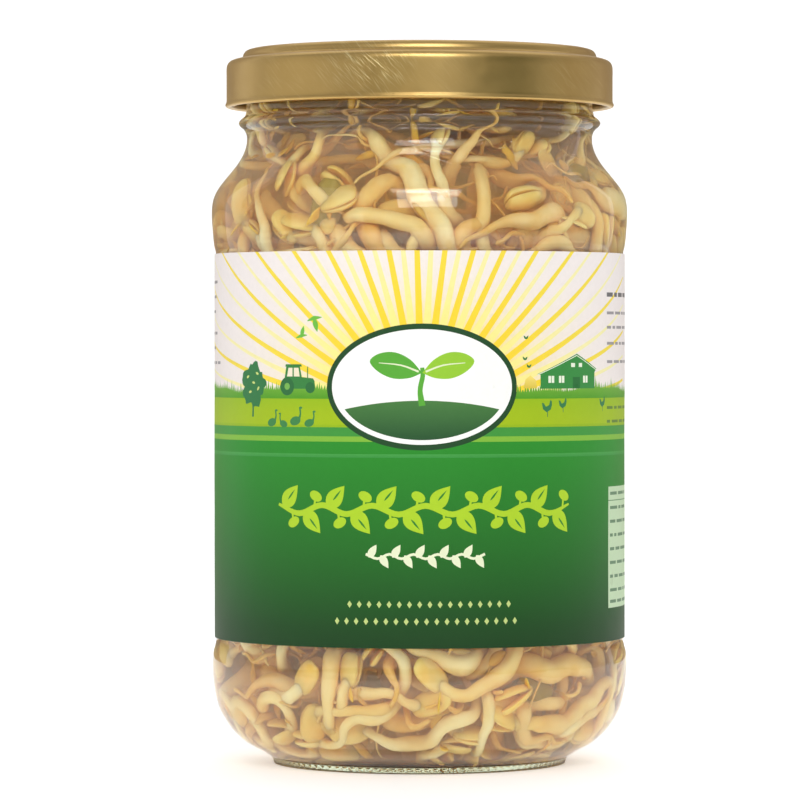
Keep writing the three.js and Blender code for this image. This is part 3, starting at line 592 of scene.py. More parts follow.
def make_ring():
    sec = [(28.5, 124.75), (28.9, 124.62), (29.5, 124.58), (30.1, 124.62), (30.5, 124.8), (30.62, 125.15), (30.45, 125.5), (30.1, 125.66),
           (29.5, 125.72), (28.9, 125.68), (28.45, 125.5), (28.3, 125.15)]
    q = np.array(sec + [sec[0]])
    prof = smooth_profile([tuple(x) for x in q], 3)[:-1]

    def shift(k, phi, r, z):
        return r + 0.04 * math.sin(9 * phi + z) + 0.02 * math.sin(23 * phi), z + (0.03 * math.sin(17 * phi) if z > 125 else -0.05 * math.exp(-((r - 29.5) / 0.4) ** 2) * 0)

    ob = turned("sealing_compound", prof, 192, closed=True, shift=shift)
    outward(ob)
    m, nt, out = new_material("sealing_compound")
    tex = nt.nodes.new("ShaderNodeTexCoord")
    n1 = node(nt, "ShaderNodeTexNoise", Scale=300.0, Detail=3.0)
    nt.links.new(tex.outputs["Object"], n1.inputs["Vector"])
    ramp = nt.nodes.new("ShaderNodeValToRGB")
    ramp.color_ramp.elements[0].color, ramp.color_ramp.elements[1].color = lin(214, 205, 184), lin(232, 226, 208)
    nt.links.new(n1.outputs[0], ramp.inputs[0])
    b = node(nt, "ShaderNodeBsdfPrincipled", Roughness=0.55)
    nt.links.new(ramp.outputs[0], b.inputs["Base Color"])
    bump = node(nt, "ShaderNodeBump", Strength=0.2, Distance=0.0001)
    nt.links.new(n1.outputs[0], bump.inputs["Height"])
    nt.links.new(bump.outputs[0], b.inputs["Normal"])
    nt.links.new(b.outputs[0], out.inputs[0])
    ob.data.materials.append(m)
    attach(ob, "seal")
    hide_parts("sealing_ring")
    return ob


JAR = make_jar()
BRINE = make_brine()
LID = make_lid()
RING = make_ring()


# each row: number of the plain sprout that it stands for (0: none), stem and bean size in hundredths,
# then twenty points from the seed leaves to the root tip, in tenths of a millimetre
SPROUTS = [
[1,115,86,177,-212,155,197,-197,145,210,-172,139,221,-158,128,234,-142,129,245,-126,134,258,-109,132,275,-98,129,292,-89,120,299,-70,113,297,-52,104,294,-33,96,296,-12,95,294,9,97,289,26,109,291,39,123,287,54,135,277,70,141,262,83,140,246,94,139],
[2,117,110,312,-7,148,309,15,174,306,41,188,309,66,185,304,86,169,291,101,153,271,111,140,254,114,121,248,125,98,238,142,81,224,164,80,209,184,80,190,201,80,170,216,80,150,231,83,139,250,78,123,263,78,105,276,79,93,292,89,86,306,105],
[3,83,100,-94,272,161,-65,284,154,-45,288,134,-31,282,124,-15,274,122,3,271,125,21,271,122,38,270,121,56,267,123,73,262,118,88,262,109,103,269,102,121,274,102,138,271,98,154,263,96,165,253,90,175,244,84,188,234,82,199,225,81,211,215,81],
[4,91,99,29,278,84,-2,281,88,-27,278,72,-39,270,67,-54,266,70,-70,264,72,-85,261,74,-100,261,76,-114,255,76,-126,245,74,-139,237,74,-152,228,74,-165,220,73,-176,210,72,-186,198,70,-198,182,66,-210,165,61,-229,155,64,-248,153,73,-261,161,88],
[5,79,111,-280,47,182,-306,33,162,-318,27,137,-318,23,117,-309,14,101,-296,12,87,-281,21,76,-270,36,72,-267,56,71,-262,74,71,-256,92,71,-249,110,71,-251,130,75,-261,142,88,-275,143,102,-292,127,116,-304,103,116,-307,79,103,-302,58,89,-289,42,72],
[6,85,90,-283,14,126,-302,-6,131,-315,-32,132,-312,-55,134,-309,-75,123,-299,-94,116,-293,-116,122,-282,-136,117,-267,-147,102,-253,-140,84,-246,-120,73,-254,-98,72,-260,-79,85,-265,-56,81,-282,-40,76,-291,-24,80,-305,-16,90,-317,-22,105,-321,-37,116,-320,-56,118],
[7,115,92,94,-263,81,67,-271,85,42,-268,101,18,-271,107,-7,-274,102,-32,-274,102,-55,-271,112,-71,-268,133,-94,-261,142,-118,-251,142,-140,-240,148,-161,-225,150,-186,-221,146,-210,-216,152,-230,-203,161,-250,-193,160,-268,-182,151,-280,-168,139,-291,-149,134,-301,-129,137],
[8,88,110,-174,-221,89,-169,-247,111,-154,-272,117,-135,-286,115,-113,-295,118,-90,-301,117,-67,-307,119,-45,-301,127,-31,-287,140,-12,-273,146,12,-273,149,35,-271,141,55,-267,128,77,-261,121,98,-252,114,111,-244,100,119,-240,82,130,-232,66,145,-221,57,162,-209,56],
[9,92,107,263,-102,88,249,-133,91,236,-154,75,222,-162,69,209,-173,70,199,-186,72,189,-199,74,176,-210,74,165,-219,84,161,-221,101,167,-225,117,181,-231,126,198,-231,127,214,-223,126,223,-209,126,224,-194,125,218,-182,120,212,-173,110,211,-167,97,213,-160,86],
[10,81,98,264,90,84,271,74,109,264,48,123,267,23,127,275,-1,127,270,-24,137,267,-50,134,264,-68,113,265,-64,86,270,-43,71,272,-18,71,272,7,71,280,32,75,294,49,89,309,53,110,318,42,125,324,22,130,324,3,123,320,-11,109,317,-30,104],
[11,98,93,14,316,160,43,311,156,66,305,140,84,291,131,104,276,133,120,259,129,138,246,118,161,238,115,184,235,108,205,224,103,223,208,104,240,190,105,254,171,104,269,153,110,283,134,114,295,109,111,299,84,99,290,66,80,274,51,65,263,27,57],
[12,114,100,-102,260,117,-74,271,110,-51,280,96,-40,292,95,-32,303,103,-22,308,115,-7,310,120,9,310,121,24,307,117,39,305,114,54,300,110,64,292,101,69,282,89,73,271,79,85,261,74,104,250,70,123,239,64,141,226,61,159,213,58,176,198,57],
[13,108,98,-303,56,121,-293,80,136,-273,102,139,-262,122,145,-255,145,144,-243,165,138,-228,180,127,-207,190,121,-187,204,121,-170,218,131,-156,234,141,-146,256,142,-134,277,138,-118,293,131,-95,301,126,-82,306,118,-72,305,105,-66,300,92,-59,292,80,-46,286,72],
[14,111,92,-140,265,102,-164,249,103,-186,235,90,-197,221,87,-208,206,88,-218,190,86,-225,172,86,-229,156,94,-236,145,108,-245,129,114,-258,116,111,-267,101,103,-271,83,101,-268,64,103,-271,46,102,-269,30,101,-267,15,95,-266,4,81,-276,-2,69,-283,-17,67],
[15,89,99,-226,-164,84,-208,-189,89,-209,-217,101,-222,-225,121,-239,-213,134,-253,-192,131,-253,-170,122,-246,-147,125,-251,-124,126,-264,-106,132,-269,-85,142,-270,-61,144,-271,-39,137,-271,-22,121,-270,-13,98,-268,-18,76,-264,-34,61,-261,-57,59,-269,-77,65,-281,-92,76],
[16,79,106,36,-308,134,4,-306,126,-23,-319,132,-39,-322,143,-58,-318,148,-77,-312,146,-94,-302,146,-111,-292,146,-128,-283,149,-143,-274,158,-155,-263,169,-164,-247,177,-171,-229,182,-178,-211,178,-184,-196,166,-193,-187,149,-210,-180,138,-230,-173,136,-248,-168,144,-268,-161,143],
[17,82,111,-128,-251,89,-97,-267,94,-74,-280,81,-59,-277,73,-44,-270,69,-27,-270,70,-11,-272,71,5,-273,72,20,-280,76,28,-291,86,39,-299,96,54,-302,103,71,-301,106,85,-292,111,90,-283,125,88,-276,145,77,-278,163,66,-288,178,61,-303,190,62,-319,204],
[18,108,99,121,-279,111,144,-260,104,170,-251,94,184,-242,97,195,-228,95,207,-215,96,218,-201,95,228,-187,94,241,-177,100,254,-172,112,265,-162,121,276,-148,124,284,-137,135,292,-126,147,300,-111,152,311,-87,148,308,-62,141,296,-38,140,284,-18,150,273,6,149],
[19,106,97,248,-200,933,231,-215,954,208,-227,966,191,-235,965,174,-237,963,158,-242,955,142,-246,947,127,-251,937,111,-257,932,93,-262,931,76,-267,935,60,-270,942,42,-272,945,24,-273,940,9,-273,929,-7,-270,910,-24,-266,892,-41,-270,874,-63,-275,863,-87,-275,855],
[20,120,93,295,109,931,295,85,947,287,66,967,275,45,977,274,22,987,276,-4,989,276,-30,985,273,-55,977,267,-80,977,259,-104,980,248,-127,986,234,-149,988,219,-169,985,203,-187,976,185,-202,963,174,-208,955,165,-213,943,158,-218,930,153,-225,917,144,-230,905],
[21,85,103,314,31,920,312,-2,923,300,-26,910,292,-35,892,287,-30,871,300,-22,856,314,-8,850,318,13,848,316,33,849,313,53,849,309,73,849,304,93,848,299,112,857,296,120,877,290,115,897,277,94,906,275,70,897,292,51,895,314,43,887,326,37,866],
[22,94,88,260,41,1020,267,64,1007,276,81,985,273,94,974,266,103,962,260,114,949,259,128,940,265,142,931,275,151,920,279,155,903,274,160,887,262,166,876,246,162,870,229,165,875,215,176,878,203,192,873,193,207,864,190,224,853,199,239,841,204,256,831],
[23,78,98,207,133,1049,200,160,1036,185,176,1017,172,195,1010,156,211,1008,139,228,1005,119,239,1006,102,255,1004,93,277,1001,90,298,989,91,310,969,95,311,945,99,298,925,98,278,912,87,265,894,74,268,872,60,283,856,46,301,845,29,317,836,7,328,831],
[24,97,106,-67,303,862,-97,293,863,-127,291,858,-143,288,869,-150,283,887,-145,286,906,-136,288,923,-126,286,940,-117,277,955,-101,270,964,-81,270,967,-63,277,966,-48,288,961,-30,297,960,-13,304,966,13,302,977,37,291,989,55,276,1004,72,264,1022,93,257,1040],
[25,83,105,-131,248,981,-146,241,953,-161,228,932,-164,216,919,-167,212,903,-171,211,885,-182,217,873,-195,221,862,-211,217,857,-226,208,854,-237,195,854,-243,178,857,-240,163,865,-240,147,873,-241,131,879,-250,106,881,-263,86,870,-277,67,858,-292,47,850,-311,34,839],
[26,98,108,-278,-9,1005,-282,22,992,-281,42,971,-273,56,960,-264,66,946,-263,78,930,-265,81,910,-270,74,892,-274,58,881,-283,43,873,-294,29,864,-296,9,863,-287,-8,871,-274,-13,885,-271,-24,900,-268,-40,911,-278,-57,918,-296,-63,924,-316,-57,925,-330,-44,922],
[27,120,87,-111,-294,855,-121,-272,866,-135,-248,873,-154,-237,874,-171,-224,878,-188,-210,881,-200,-195,892,-205,-188,913,-208,-190,934,-216,-185,955,-225,-172,970,-236,-154,977,-246,-134,975,-252,-115,967,-258,-93,966,-262,-77,971,-270,-61,975,-280,-49,983,-291,-36,989,-302,-25,998],
[28,105,101,-269,-148,943,-261,-177,935,-258,-198,914,-250,-204,901,-239,-213,893,-227,-223,894,-215,-233,895,-202,-244,896,-188,-250,898,-173,-249,904,-158,-244,908,-142,-240,906,-126,-244,903,-112,-250,898,-100,-253,888,-82,-262,880,-61,-263,881,-43,-262,893,-30,-262,909,-17,-263,925],
[29,84,105,66,-303,861,34,-307,869,8,-320,871,-10,-323,886,-15,-324,910,-1,-316,930,20,-306,933,39,-296,921,49,-279,910,66,-265,903,87,-259,894,110,-261,887,131,-272,885,154,-274,886,176,-266,884,192,-260,871,195,-261,851,185,-269,834,168,-280,832,151,-290,831],
[30,84,95,197,-201,924,194,-230,930,176,-253,936,154,-263,925,141,-254,904,148,-237,884,168,-221,880,183,-202,888,201,-185,887,221,-178,873,242,-178,858,264,-168,850,281,-150,848,293,-127,847,300,-103,850,300,-82,847,300,-60,847,308,-40,842,321,-24,834,327,-3,831],
[31,78,94,306,14,966,315,42,963,324,64,946,321,73,929,307,75,916,289,68,916,280,52,916,270,39,906,271,24,898,272,8,889,272,-11,888,270,-27,898,268,-42,906,266,-50,924,265,-46,942,266,-34,953,274,-21,958,288,-12,957,303,-10,953,318,-5,953],
[32,94,99,36,293,909,58,275,919,81,257,921,95,252,918,107,249,908,119,246,899,133,239,898,146,232,894,158,224,888,172,219,884,185,212,889,194,202,897,198,188,902,208,176,906,217,163,903,223,151,897,228,141,885,235,129,879,241,115,879,245,100,881],
[33,111,99,-11,256,1042,3,270,1018,8,273,989,19,271,974,35,271,963,55,270,960,73,266,958,91,264,950,109,268,945,124,277,937,133,286,921,135,287,901,135,278,884,137,261,873,150,249,866,162,241,863,174,237,856,185,242,847,190,252,839,192,265,833],
[34,123,98,99,297,883,70,303,881,43,301,869,25,290,870,11,280,881,-1,277,898,-15,277,912,-33,276,922,-53,274,927,-73,269,929,-93,263,926,-111,255,922,-128,246,913,-141,238,899,-152,236,882,-167,241,862,-188,243,849,-211,236,841,-234,227,844,-252,209,846],
[35,103,91,-69,312,930,-87,306,952,-113,307,966,-131,299,971,-147,289,965,-159,282,951,-167,274,935,-170,266,917,-176,260,899,-190,251,888,-206,240,886,-221,227,887,-235,213,885,-248,199,884,-261,185,889,-273,173,902,-287,157,906,-297,139,899,-303,124,886,-310,107,875],
[36,91,93,-293,37,940,-290,9,947,-293,-19,939,-310,-33,936,-320,-50,944,-317,-73,943,-300,-87,938,-277,-83,938,-266,-64,944,-270,-44,953,-285,-33,964,-305,-26,966,-321,-14,955,-325,0,940,-325,8,920,-324,3,899,-318,-12,884,-304,-27,877,-289,-42,884,-284,-62,891],
[37,85,107,-293,-102,862,-300,-70,865,-291,-41,862,-276,-36,873,-266,-46,885,-264,-63,891,-260,-80,889,-256,-95,897,-252,-105,910,-245,-119,919,-238,-134,924,-230,-150,922,-232,-165,913,-241,-176,901,-255,-180,892,-267,-182,876,-271,-180,856,-279,-169,840,-288,-154,832,-297,-136,831],
[38,123,91,-194,-208,989,-172,-220,976,-155,-223,953,-146,-235,942,-136,-250,939,-133,-268,934,-127,-282,924,-120,-292,909,-105,-296,899,-89,-295,890,-77,-297,876,-68,-303,861,-51,-309,857,-34,-313,854,-16,-315,852,1,-319,847,18,-322,840,35,-322,837,53,-321,834,71,-318,833],
[39,109,108,228,-213,896,212,-224,868,190,-236,854,175,-247,855,168,-264,851,154,-276,853,137,-283,854,119,-288,858,107,-295,870,99,-294,886,84,-295,897,70,-306,905,67,-314,922,75,-314,940,92,-308,948,106,-301,945,116,-293,935,125,-289,924,139,-287,916,154,-287,912],
[40,116,106,227,-167,913,251,-155,893,261,-140,870,268,-121,861,275,-101,865,281,-81,869,295,-68,880,302,-63,900,298,-66,922,284,-77,935,267,-91,937,255,-109,933,247,-129,935,243,-148,945,242,-168,954,243,-178,963,240,-188,972,232,-197,981,222,-203,988,210,-206,995],
[41,109,97,218,223,859,237,200,862,260,187,847,271,170,845,276,150,851,269,133,861,265,116,872,270,96,876,281,78,871,285,58,870,288,38,871,300,22,879,312,5,882,317,-15,884,316,-36,879,317,-49,865,318,-61,849,316,-77,837,312,-96,834,306,-115,832],
[42,83,102,248,-59,1036,277,-54,1025,297,-49,1005,306,-45,986,305,-41,965,296,-36,947,282,-25,936,272,-7,932,272,14,931,270,33,940,267,53,942,262,72,934,258,87,920,250,104,912,240,122,910,228,142,917,215,160,927,201,180,927,190,201,921,179,223,920],
[43,86,106,240,190,944,231,207,919,221,222,895,216,236,889,206,246,882,196,252,869,184,260,863,173,267,851,159,275,849,145,283,849,130,289,849,115,296,848,100,302,848,85,307,846,69,313,845,43,320,852,16,325,848,-9,326,837,-36,324,832,-63,321,831],
[44,109,102,-72,276,1011,-41,278,1001,-21,270,982,-6,273,961,7,288,947,7,309,933,5,318,910,-3,315,886,-21,303,872,-35,282,878,-55,271,887,-79,264,889,-103,257,885,-125,258,873,-145,262,859,-158,267,850,-172,267,842,-188,263,836,-203,255,834,-216,245,832],
[45,103,87,-308,65,857,-299,90,858,-295,117,845,-290,132,847,-285,143,857,-281,147,871,-273,144,884,-264,142,897,-252,148,905,-237,153,905,-225,160,898,-216,170,891,-206,182,890,-198,194,897,-193,203,908,-189,214,926,-186,228,941,-181,244,954,-171,259,964,-155,269,973],
[46,107,112,-272,-148,865,-279,-133,896,-295,-112,909,-309,-96,908,-312,-75,905,-314,-55,902,-308,-34,903,-301,-16,910,-293,4,907,-297,25,903,-309,43,901,-311,64,901,-306,84,899,-292,100,895,-278,109,882,-263,122,862,-257,149,854,-260,174,842,-254,200,834,-238,223,832],
[47,117,110,-209,-238,950,-180,-257,946,-166,-276,928,-159,-280,910,-155,-278,892,-160,-272,876,-169,-265,861,-183,-253,857,-198,-242,857,-211,-231,857,-224,-218,857,-237,-205,857,-242,-187,859,-237,-171,867,-233,-157,878,-237,-146,889,-246,-147,902,-257,-157,908,-269,-166,906,-277,-177,898],
[48,120,101,-146,-233,1009,-127,-251,991,-102,-259,979,-91,-258,968,-86,-261,953,-78,-266,940,-73,-277,930,-69,-293,927,-61,-305,920,-51,-310,907,-40,-306,896,-29,-296,890,-15,-293,883,-2,-284,879,10,-275,885,37,-270,885,63,-269,874,84,-277,857,97,-296,842,122,-303,833],
[0,89,98,195,-143,63,195,-113,61,179,-92,47,174,-72,47,180,-54,55,193,-39,60,204,-24,68,214,-7,75,222,9,84,230,26,93,237,44,99,238,63,106,244,83,109,262,95,108,278,103,118,284,115,128,285,129,136,288,145,137,289,161,138,283,174,142],
[0,100,104,-316,17,159,-311,0,133,-290,-12,120,-262,-4,113,-245,19,109,-232,44,102,-216,68,104,-202,92,113,-188,117,119,-172,142,118,-157,168,116,-150,192,132,-138,215,144,-130,242,155,-120,263,174,-104,281,177,-89,297,171,-75,315,167,-56,328,167,-34,332,165],
[0,79,101,286,28,184,257,22,194,242,4,211,223,-3,230,196,-3,237,169,2,246,142,3,252,114,7,246,86,10,254,66,3,273,46,-4,292,22,-16,302,2,-29,317,-11,-41,339,-23,-56,361,-30,-69,378,-30,-83,397,-32,-101,411,-33,-115,429,-29,-131,445],
[0,112,96,69,184,755,57,185,728,40,179,705,41,179,687,51,175,673,66,171,666,82,168,665,98,166,664,114,167,659,129,175,661,140,184,669,143,198,678,142,208,691,144,213,707,136,219,721,112,223,733,86,232,738,59,227,730,39,233,712,34,234,684],
[0,77,88,-123,-175,830,-137,-198,823,-143,-223,810,-138,-250,809,-118,-270,812,-90,-274,807,-65,-262,803,-50,-238,800,-49,-210,798,-63,-187,787,-88,-181,774,-112,-187,762,-130,-206,752,-135,-235,753,-119,-258,755,-98,-269,754,-74,-266,753,-54,-261,743,-37,-244,743,-32,-221,743],
[0,88,87,-49,-150,785,-71,-135,780,-96,-120,782,-118,-107,796,-135,-101,819,-150,-103,844,-158,-107,873,-165,-110,901,-170,-120,928,-167,-120,958,-164,-128,986,-169,-140,1014,-159,-151,1039,-150,-168,1062,-140,-187,1082,-132,-200,1098,-124,-214,1113,-116,-226,1129,-108,-239,1145,-99,-253,1160],
[0,92,98,-153,256,420,-134,249,398,-120,237,376,-121,227,360,-120,214,349,-118,197,341,-109,182,336,-105,164,335,-103,146,337,-103,128,338,-105,111,330,-103,102,313,-103,90,300,-102,73,293,-100,59,281,-95,47,268,-91,35,254,-89,22,240,-91,14,223,-84,4,209],
[0,122,98,253,-2,956,236,-20,974,209,-29,983,188,-23,984,172,-9,978,157,4,972,142,18,964,126,33,962,108,42,952,88,49,948,69,58,947,52,71,941,39,89,941,27,106,933,12,115,920,-3,121,918,-17,128,916,-29,137,912,-43,143,909,-58,144,911],
[0,81,86,-292,124,228,-298,105,246,-313,92,267,-319,68,277,-316,41,277,-295,23,274,-274,9,264,-249,2,258,-222,-4,256,-200,-10,243,-174,-12,233,-159,-20,211,-141,-19,192,-119,-23,176,-95,-15,165,-83,-6,147,-64,-1,133,-51,11,118,-38,26,107,-27,42,94],
[0,85,86,257,27,303,275,48,303,292,66,288,296,87,274,291,106,259,278,117,239,261,131,228,239,134,216,219,125,203,199,111,197,178,98,200,158,83,207,148,60,211,136,37,211,122,19,221,110,1,227,101,-16,238,95,-35,249,87,-52,260,82,-70,272],
[0,115,86,55,-124,361,45,-145,349,35,-167,332,29,-182,332,21,-194,340,17,-210,344,18,-224,351,14,-239,357,9,-252,367,11,-260,381,10,-268,395,8,-279,407,6,-283,423,1,-286,439,4,-290,455,5,-295,472,5,-294,490,5,-297,508,4,-308,522,2,-318,536],
[0,111,96,-301,-68,411,-306,-69,382,-316,-68,355,-316,-66,329,-311,-78,308,-303,-98,295,-286,-114,287,-264,-124,283,-239,-125,277,-216,-122,284,-195,-119,297,-184,-112,318,-173,-98,335,-164,-77,345,-165,-61,364,-171,-47,374,-182,-32,374,-194,-18,369,-207,-10,359,-221,-5,347],
[0,79,85,53,-12,363,72,-8,345,89,4,326,110,14,323,130,21,332,148,16,347,158,10,367,161,0,387,156,-13,406,150,-19,427,136,-29,443,119,-38,456,100,-47,466,78,-54,470,55,-60,472,41,-74,483,25,-84,492,4,-90,496,-17,-94,493,-37,-102,494],
[0,113,93,-4,97,627,20,83,622,47,72,627,64,69,622,77,69,610,84,72,594,97,75,583,115,72,578,128,61,574,140,50,568,157,47,563,174,42,564,190,36,566,205,29,570,220,21,574,244,10,574,267,-2,573,288,-15,584,307,-27,598,321,-40,615],
[0,123,89,-46,-105,338,-68,-114,353,-87,-115,375,-101,-100,391,-107,-77,400,-112,-59,418,-122,-47,437,-131,-38,460,-141,-21,476,-150,-3,492,-163,7,511,-179,8,531,-195,17,548,-213,22,565,-231,22,582,-247,24,599,-263,29,615,-276,33,634,-290,42,650,-306,48,665],
[0,77,89,172,-192,356,147,-203,357,125,-221,361,118,-242,362,113,-261,370,118,-278,383,128,-288,400,144,-288,414,158,-280,428,176,-270,436,187,-252,436,195,-235,424,190,-214,418,178,-196,420,160,-187,425,135,-186,420,116,-202,421,102,-222,427,104,-243,440,116,-263,447],
[0,80,106,-212,187,927,-187,176,909,-168,182,887,-154,183,879,-138,177,878,-126,167,879,-116,155,883,-102,147,886,-91,138,893,-84,128,904,-85,120,918,-88,110,931,-90,94,935,-92,79,942,-88,71,956,-90,68,972,-94,62,986,-94,52,998,-96,44,1012,-103,36,1023],
[0,116,105,-259,-123,451,-267,-134,421,-262,-137,393,-268,-138,367,-272,-124,344,-263,-116,319,-252,-97,301,-244,-70,296,-233,-57,275,-230,-47,249,-212,-36,232,-199,-20,213,-182,0,208,-177,24,192,-179,35,167,-181,35,152,-182,39,138,-179,46,125,-172,55,116,-163,63,108],
[0,96,96,-236,107,1021,-206,105,1018,-181,89,1019,-169,73,1018,-158,59,1008,-149,42,1000,-137,26,997,-124,11,994,-115,-3,981,-112,-23,976,-105,-42,974,-88,-55,970,-72,-63,961,-53,-68,954,-37,-76,946,-23,-80,937,-7,-86,933,6,-96,928,19,-105,922,33,-113,919],
[0,90,107,-73,49,828,-51,72,817,-32,94,825,-18,103,836,1,105,844,22,106,845,40,109,838,55,119,828,69,133,823,77,151,829,92,159,840,103,169,853,111,183,865,118,195,880,126,212,889,144,233,889,157,251,905,166,269,923,186,280,939,205,268,953],
[0,83,98,302,-48,507,291,-72,520,282,-94,538,272,-106,541,261,-116,540,249,-125,536,237,-134,532,225,-144,531,212,-153,530,197,-156,524,188,-163,513,177,-174,509,168,-184,503,156,-193,498,146,-205,498,128,-220,492,108,-232,489,86,-238,484,68,-250,475,53,-263,463],
[0,99,104,-169,-33,511,-188,-32,536,-214,-35,549,-238,-46,549,-258,-54,532,-269,-51,509,-283,-47,487,-291,-45,462,-291,-39,436,-286,-31,411,-271,-14,395,-248,-1,391,-226,4,374,-220,18,350,-220,32,328,-219,36,312,-210,39,300,-201,43,287,-191,51,278,-182,59,268],
[0,117,99,-175,-265,180,-189,-253,159,-211,-244,139,-218,-221,133,-224,-198,138,-231,-182,156,-235,-164,171,-238,-140,164,-248,-128,144,-239,-108,133,-222,-90,128,-220,-68,116,-233,-51,105,-242,-27,103,-232,-6,99,-223,20,91,-228,43,75,-219,60,54,-206,80,45,-186,100,43],
[0,109,102,-18,-81,571,6,-67,556,26,-46,554,39,-37,561,49,-33,575,55,-24,589,67,-13,596,84,-10,601,95,-5,613,105,9,619,116,19,629,120,23,646,126,18,662,138,16,675,148,21,689,161,32,701,172,40,717,179,43,737,186,42,756,196,33,772],
[0,107,102,-248,202,928,-256,191,956,-267,185,982,-265,173,1003,-259,157,1019,-247,142,1034,-241,125,1050,-240,102,1058,-231,83,1069,-217,70,1083,-206,55,1098,-196,38,1111,-183,23,1124,-170,7,1136,-167,-14,1147,-162,-26,1154,-155,-38,1161,-147,-49,1167,-140,-61,1173,-132,-72,1178],
[0,93,90,313,-61,149,315,-38,161,327,-18,181,325,-23,201,322,-23,221,321,-11,238,320,-13,259,317,-21,278,303,-23,294,288,-26,308,277,-32,324,265,-32,341,250,-32,356,239,-42,372,231,-55,386,218,-73,396,206,-81,416,193,-91,434,182,-98,454,165,-104,470],
[0,101,110,-55,-80,671,-58,-105,695,-47,-126,713,-38,-139,717,-24,-147,719,-11,-155,717,-2,-167,713,5,-181,709,12,-194,709,22,-206,703,35,-214,702,49,-219,708,61,-229,707,69,-242,703,82,-251,698,105,-254,690,126,-251,680,147,-252,668,166,-256,654,186,-255,641],
[0,118,90,232,-73,804,254,-71,822,274,-63,841,287,-70,865,296,-93,879,283,-111,897,263,-118,914,258,-141,930,257,-168,931,243,-191,934,225,-205,951,218,-226,969,205,-250,966,186,-266,955,164,-282,956,144,-296,954,124,-308,947,106,-317,934,85,-324,924,66,-326,909],
[0,90,92,81,79,517,77,99,536,80,125,550,82,147,551,76,168,545,63,183,536,54,199,522,42,204,504,33,209,485,20,206,467,9,194,452,-7,178,450,-16,157,448,-23,137,454,-28,120,467,-28,109,485,-25,94,500,-23,88,520,-23,88,541,-18,91,561],
[0,108,103,95,-191,419,103,-200,389,116,-195,364,120,-199,339,116,-208,316,114,-216,292,118,-227,269,126,-231,245,127,-224,220,131,-217,195,139,-215,170,146,-225,147,157,-237,128,169,-256,112,168,-246,88,176,-226,74,196,-213,72,216,-199,74,226,-179,68,239,-159,66],
[0,122,87,298,-109,513,287,-130,501,268,-152,503,250,-164,519,236,-172,540,224,-190,555,209,-204,572,193,-215,590,171,-227,602,146,-234,608,120,-236,611,95,-239,620,71,-246,629,46,-254,634,19,-259,632,-7,-252,636,-35,-247,637,-59,-248,653,-83,-261,657,-110,-269,660],
[0,119,85,-83,-54,109,-62,-67,99,-40,-86,100,-29,-93,106,-14,-95,112,1,-95,113,16,-92,112,32,-92,115,46,-95,110,59,-96,101,74,-98,98,89,-99,99,104,-102,98,117,-109,94,129,-119,92,139,-134,91,156,-142,92,168,-155,87,183,-166,85,196,-179,88],
[0,77,102,285,145,967,288,123,988,306,102,1000,312,80,999,313,59,1003,315,35,1004,307,14,1000,297,-6,1005,280,-19,1014,264,-34,1006,248,-47,997,231,-62,993,214,-75,989,196,-87,986,180,-102,980,162,-111,975,146,-121,967,130,-130,958,112,-135,949,94,-138,940],
[0,113,92,-259,181,475,-252,178,448,-239,171,423,-221,165,414,-201,164,414,-182,165,422,-162,161,422,-143,154,421,-122,153,421,-104,155,430,-88,151,443,-72,151,455,-51,155,457,-35,162,469,-28,173,486,-15,174,499,1,172,509,17,174,519,30,178,531,42,182,544],
[0,90,92,-160,220,405,-175,196,401,-175,167,394,-181,148,401,-197,134,398,-214,130,385,-228,140,372,-238,157,368,-251,174,367,-256,192,377,-247,204,392,-234,219,397,-223,231,409,-218,237,429,-206,229,445,-196,215,450,-194,199,458,-195,181,462,-199,164,460,-212,150,460],
[0,114,93,79,184,309,81,168,333,98,159,355,111,133,355,124,109,347,129,83,333,149,63,324,177,53,315,197,45,295,216,37,274,239,24,261,255,17,237,270,-2,220,282,-17,196,294,-13,169,309,-11,153,322,-18,138,324,-31,120,316,-41,103,309,-58,94],
[0,113,107,-168,168,602,-150,191,616,-133,213,622,-115,227,621,-96,233,631,-78,230,644,-63,223,660,-44,227,671,-26,218,681,-17,205,698,-6,190,710,11,186,724,26,179,739,37,159,746,34,139,755,36,118,771,41,93,776,47,73,791,48,47,791,43,22,796],
[0,104,98,16,132,647,-13,134,636,-41,140,637,-61,153,625,-71,174,614,-76,200,610,-68,225,614,-48,241,611,-25,251,604,-11,272,609,7,286,621,31,289,633,54,286,642,78,282,651,101,283,663,114,279,670,124,273,678,135,268,685,147,264,692,160,260,698],
[0,102,103,144,279,359,164,259,344,159,232,331,148,219,317,130,214,306,110,208,302,93,204,288,75,197,278,56,189,271,45,176,256,39,159,244,33,137,243,24,117,242,6,104,239,-10,90,235,-23,79,222,-36,66,212,-43,50,200,-48,33,188,-57,16,180],
[0,93,95,-94,70,801,-110,71,826,-127,82,847,-144,96,854,-161,110,854,-181,120,858,-196,136,864,-204,150,880,-214,160,898,-233,168,908,-252,166,920,-262,157,940,-258,150,961,-256,144,983,-258,135,1003,-263,125,1027,-263,117,1052,-257,107,1076,-259,100,1101,-262,91,1125],
[0,83,94,-53,87,1089,-30,80,1106,-5,64,1102,13,59,1092,24,55,1074,25,47,1054,21,36,1036,15,38,1015,1,48,1001,-14,62,998,-30,76,1004,-39,95,1000,-41,116,1004,-38,132,1017,-31,142,1035,-19,148,1044,-4,148,1051,7,142,1062,11,131,1073,25,126,1081],
[0,91,90,-83,-106,562,-68,-128,554,-52,-146,539,-42,-164,530,-42,-186,523,-44,-201,507,-46,-216,491,-50,-231,475,-54,-245,459,-54,-261,443,-59,-268,423,-65,-280,405,-73,-291,387,-83,-296,368,-93,-300,349,-98,-299,335,-103,-303,322,-107,-309,310,-114,-310,297,-121,-308,284],
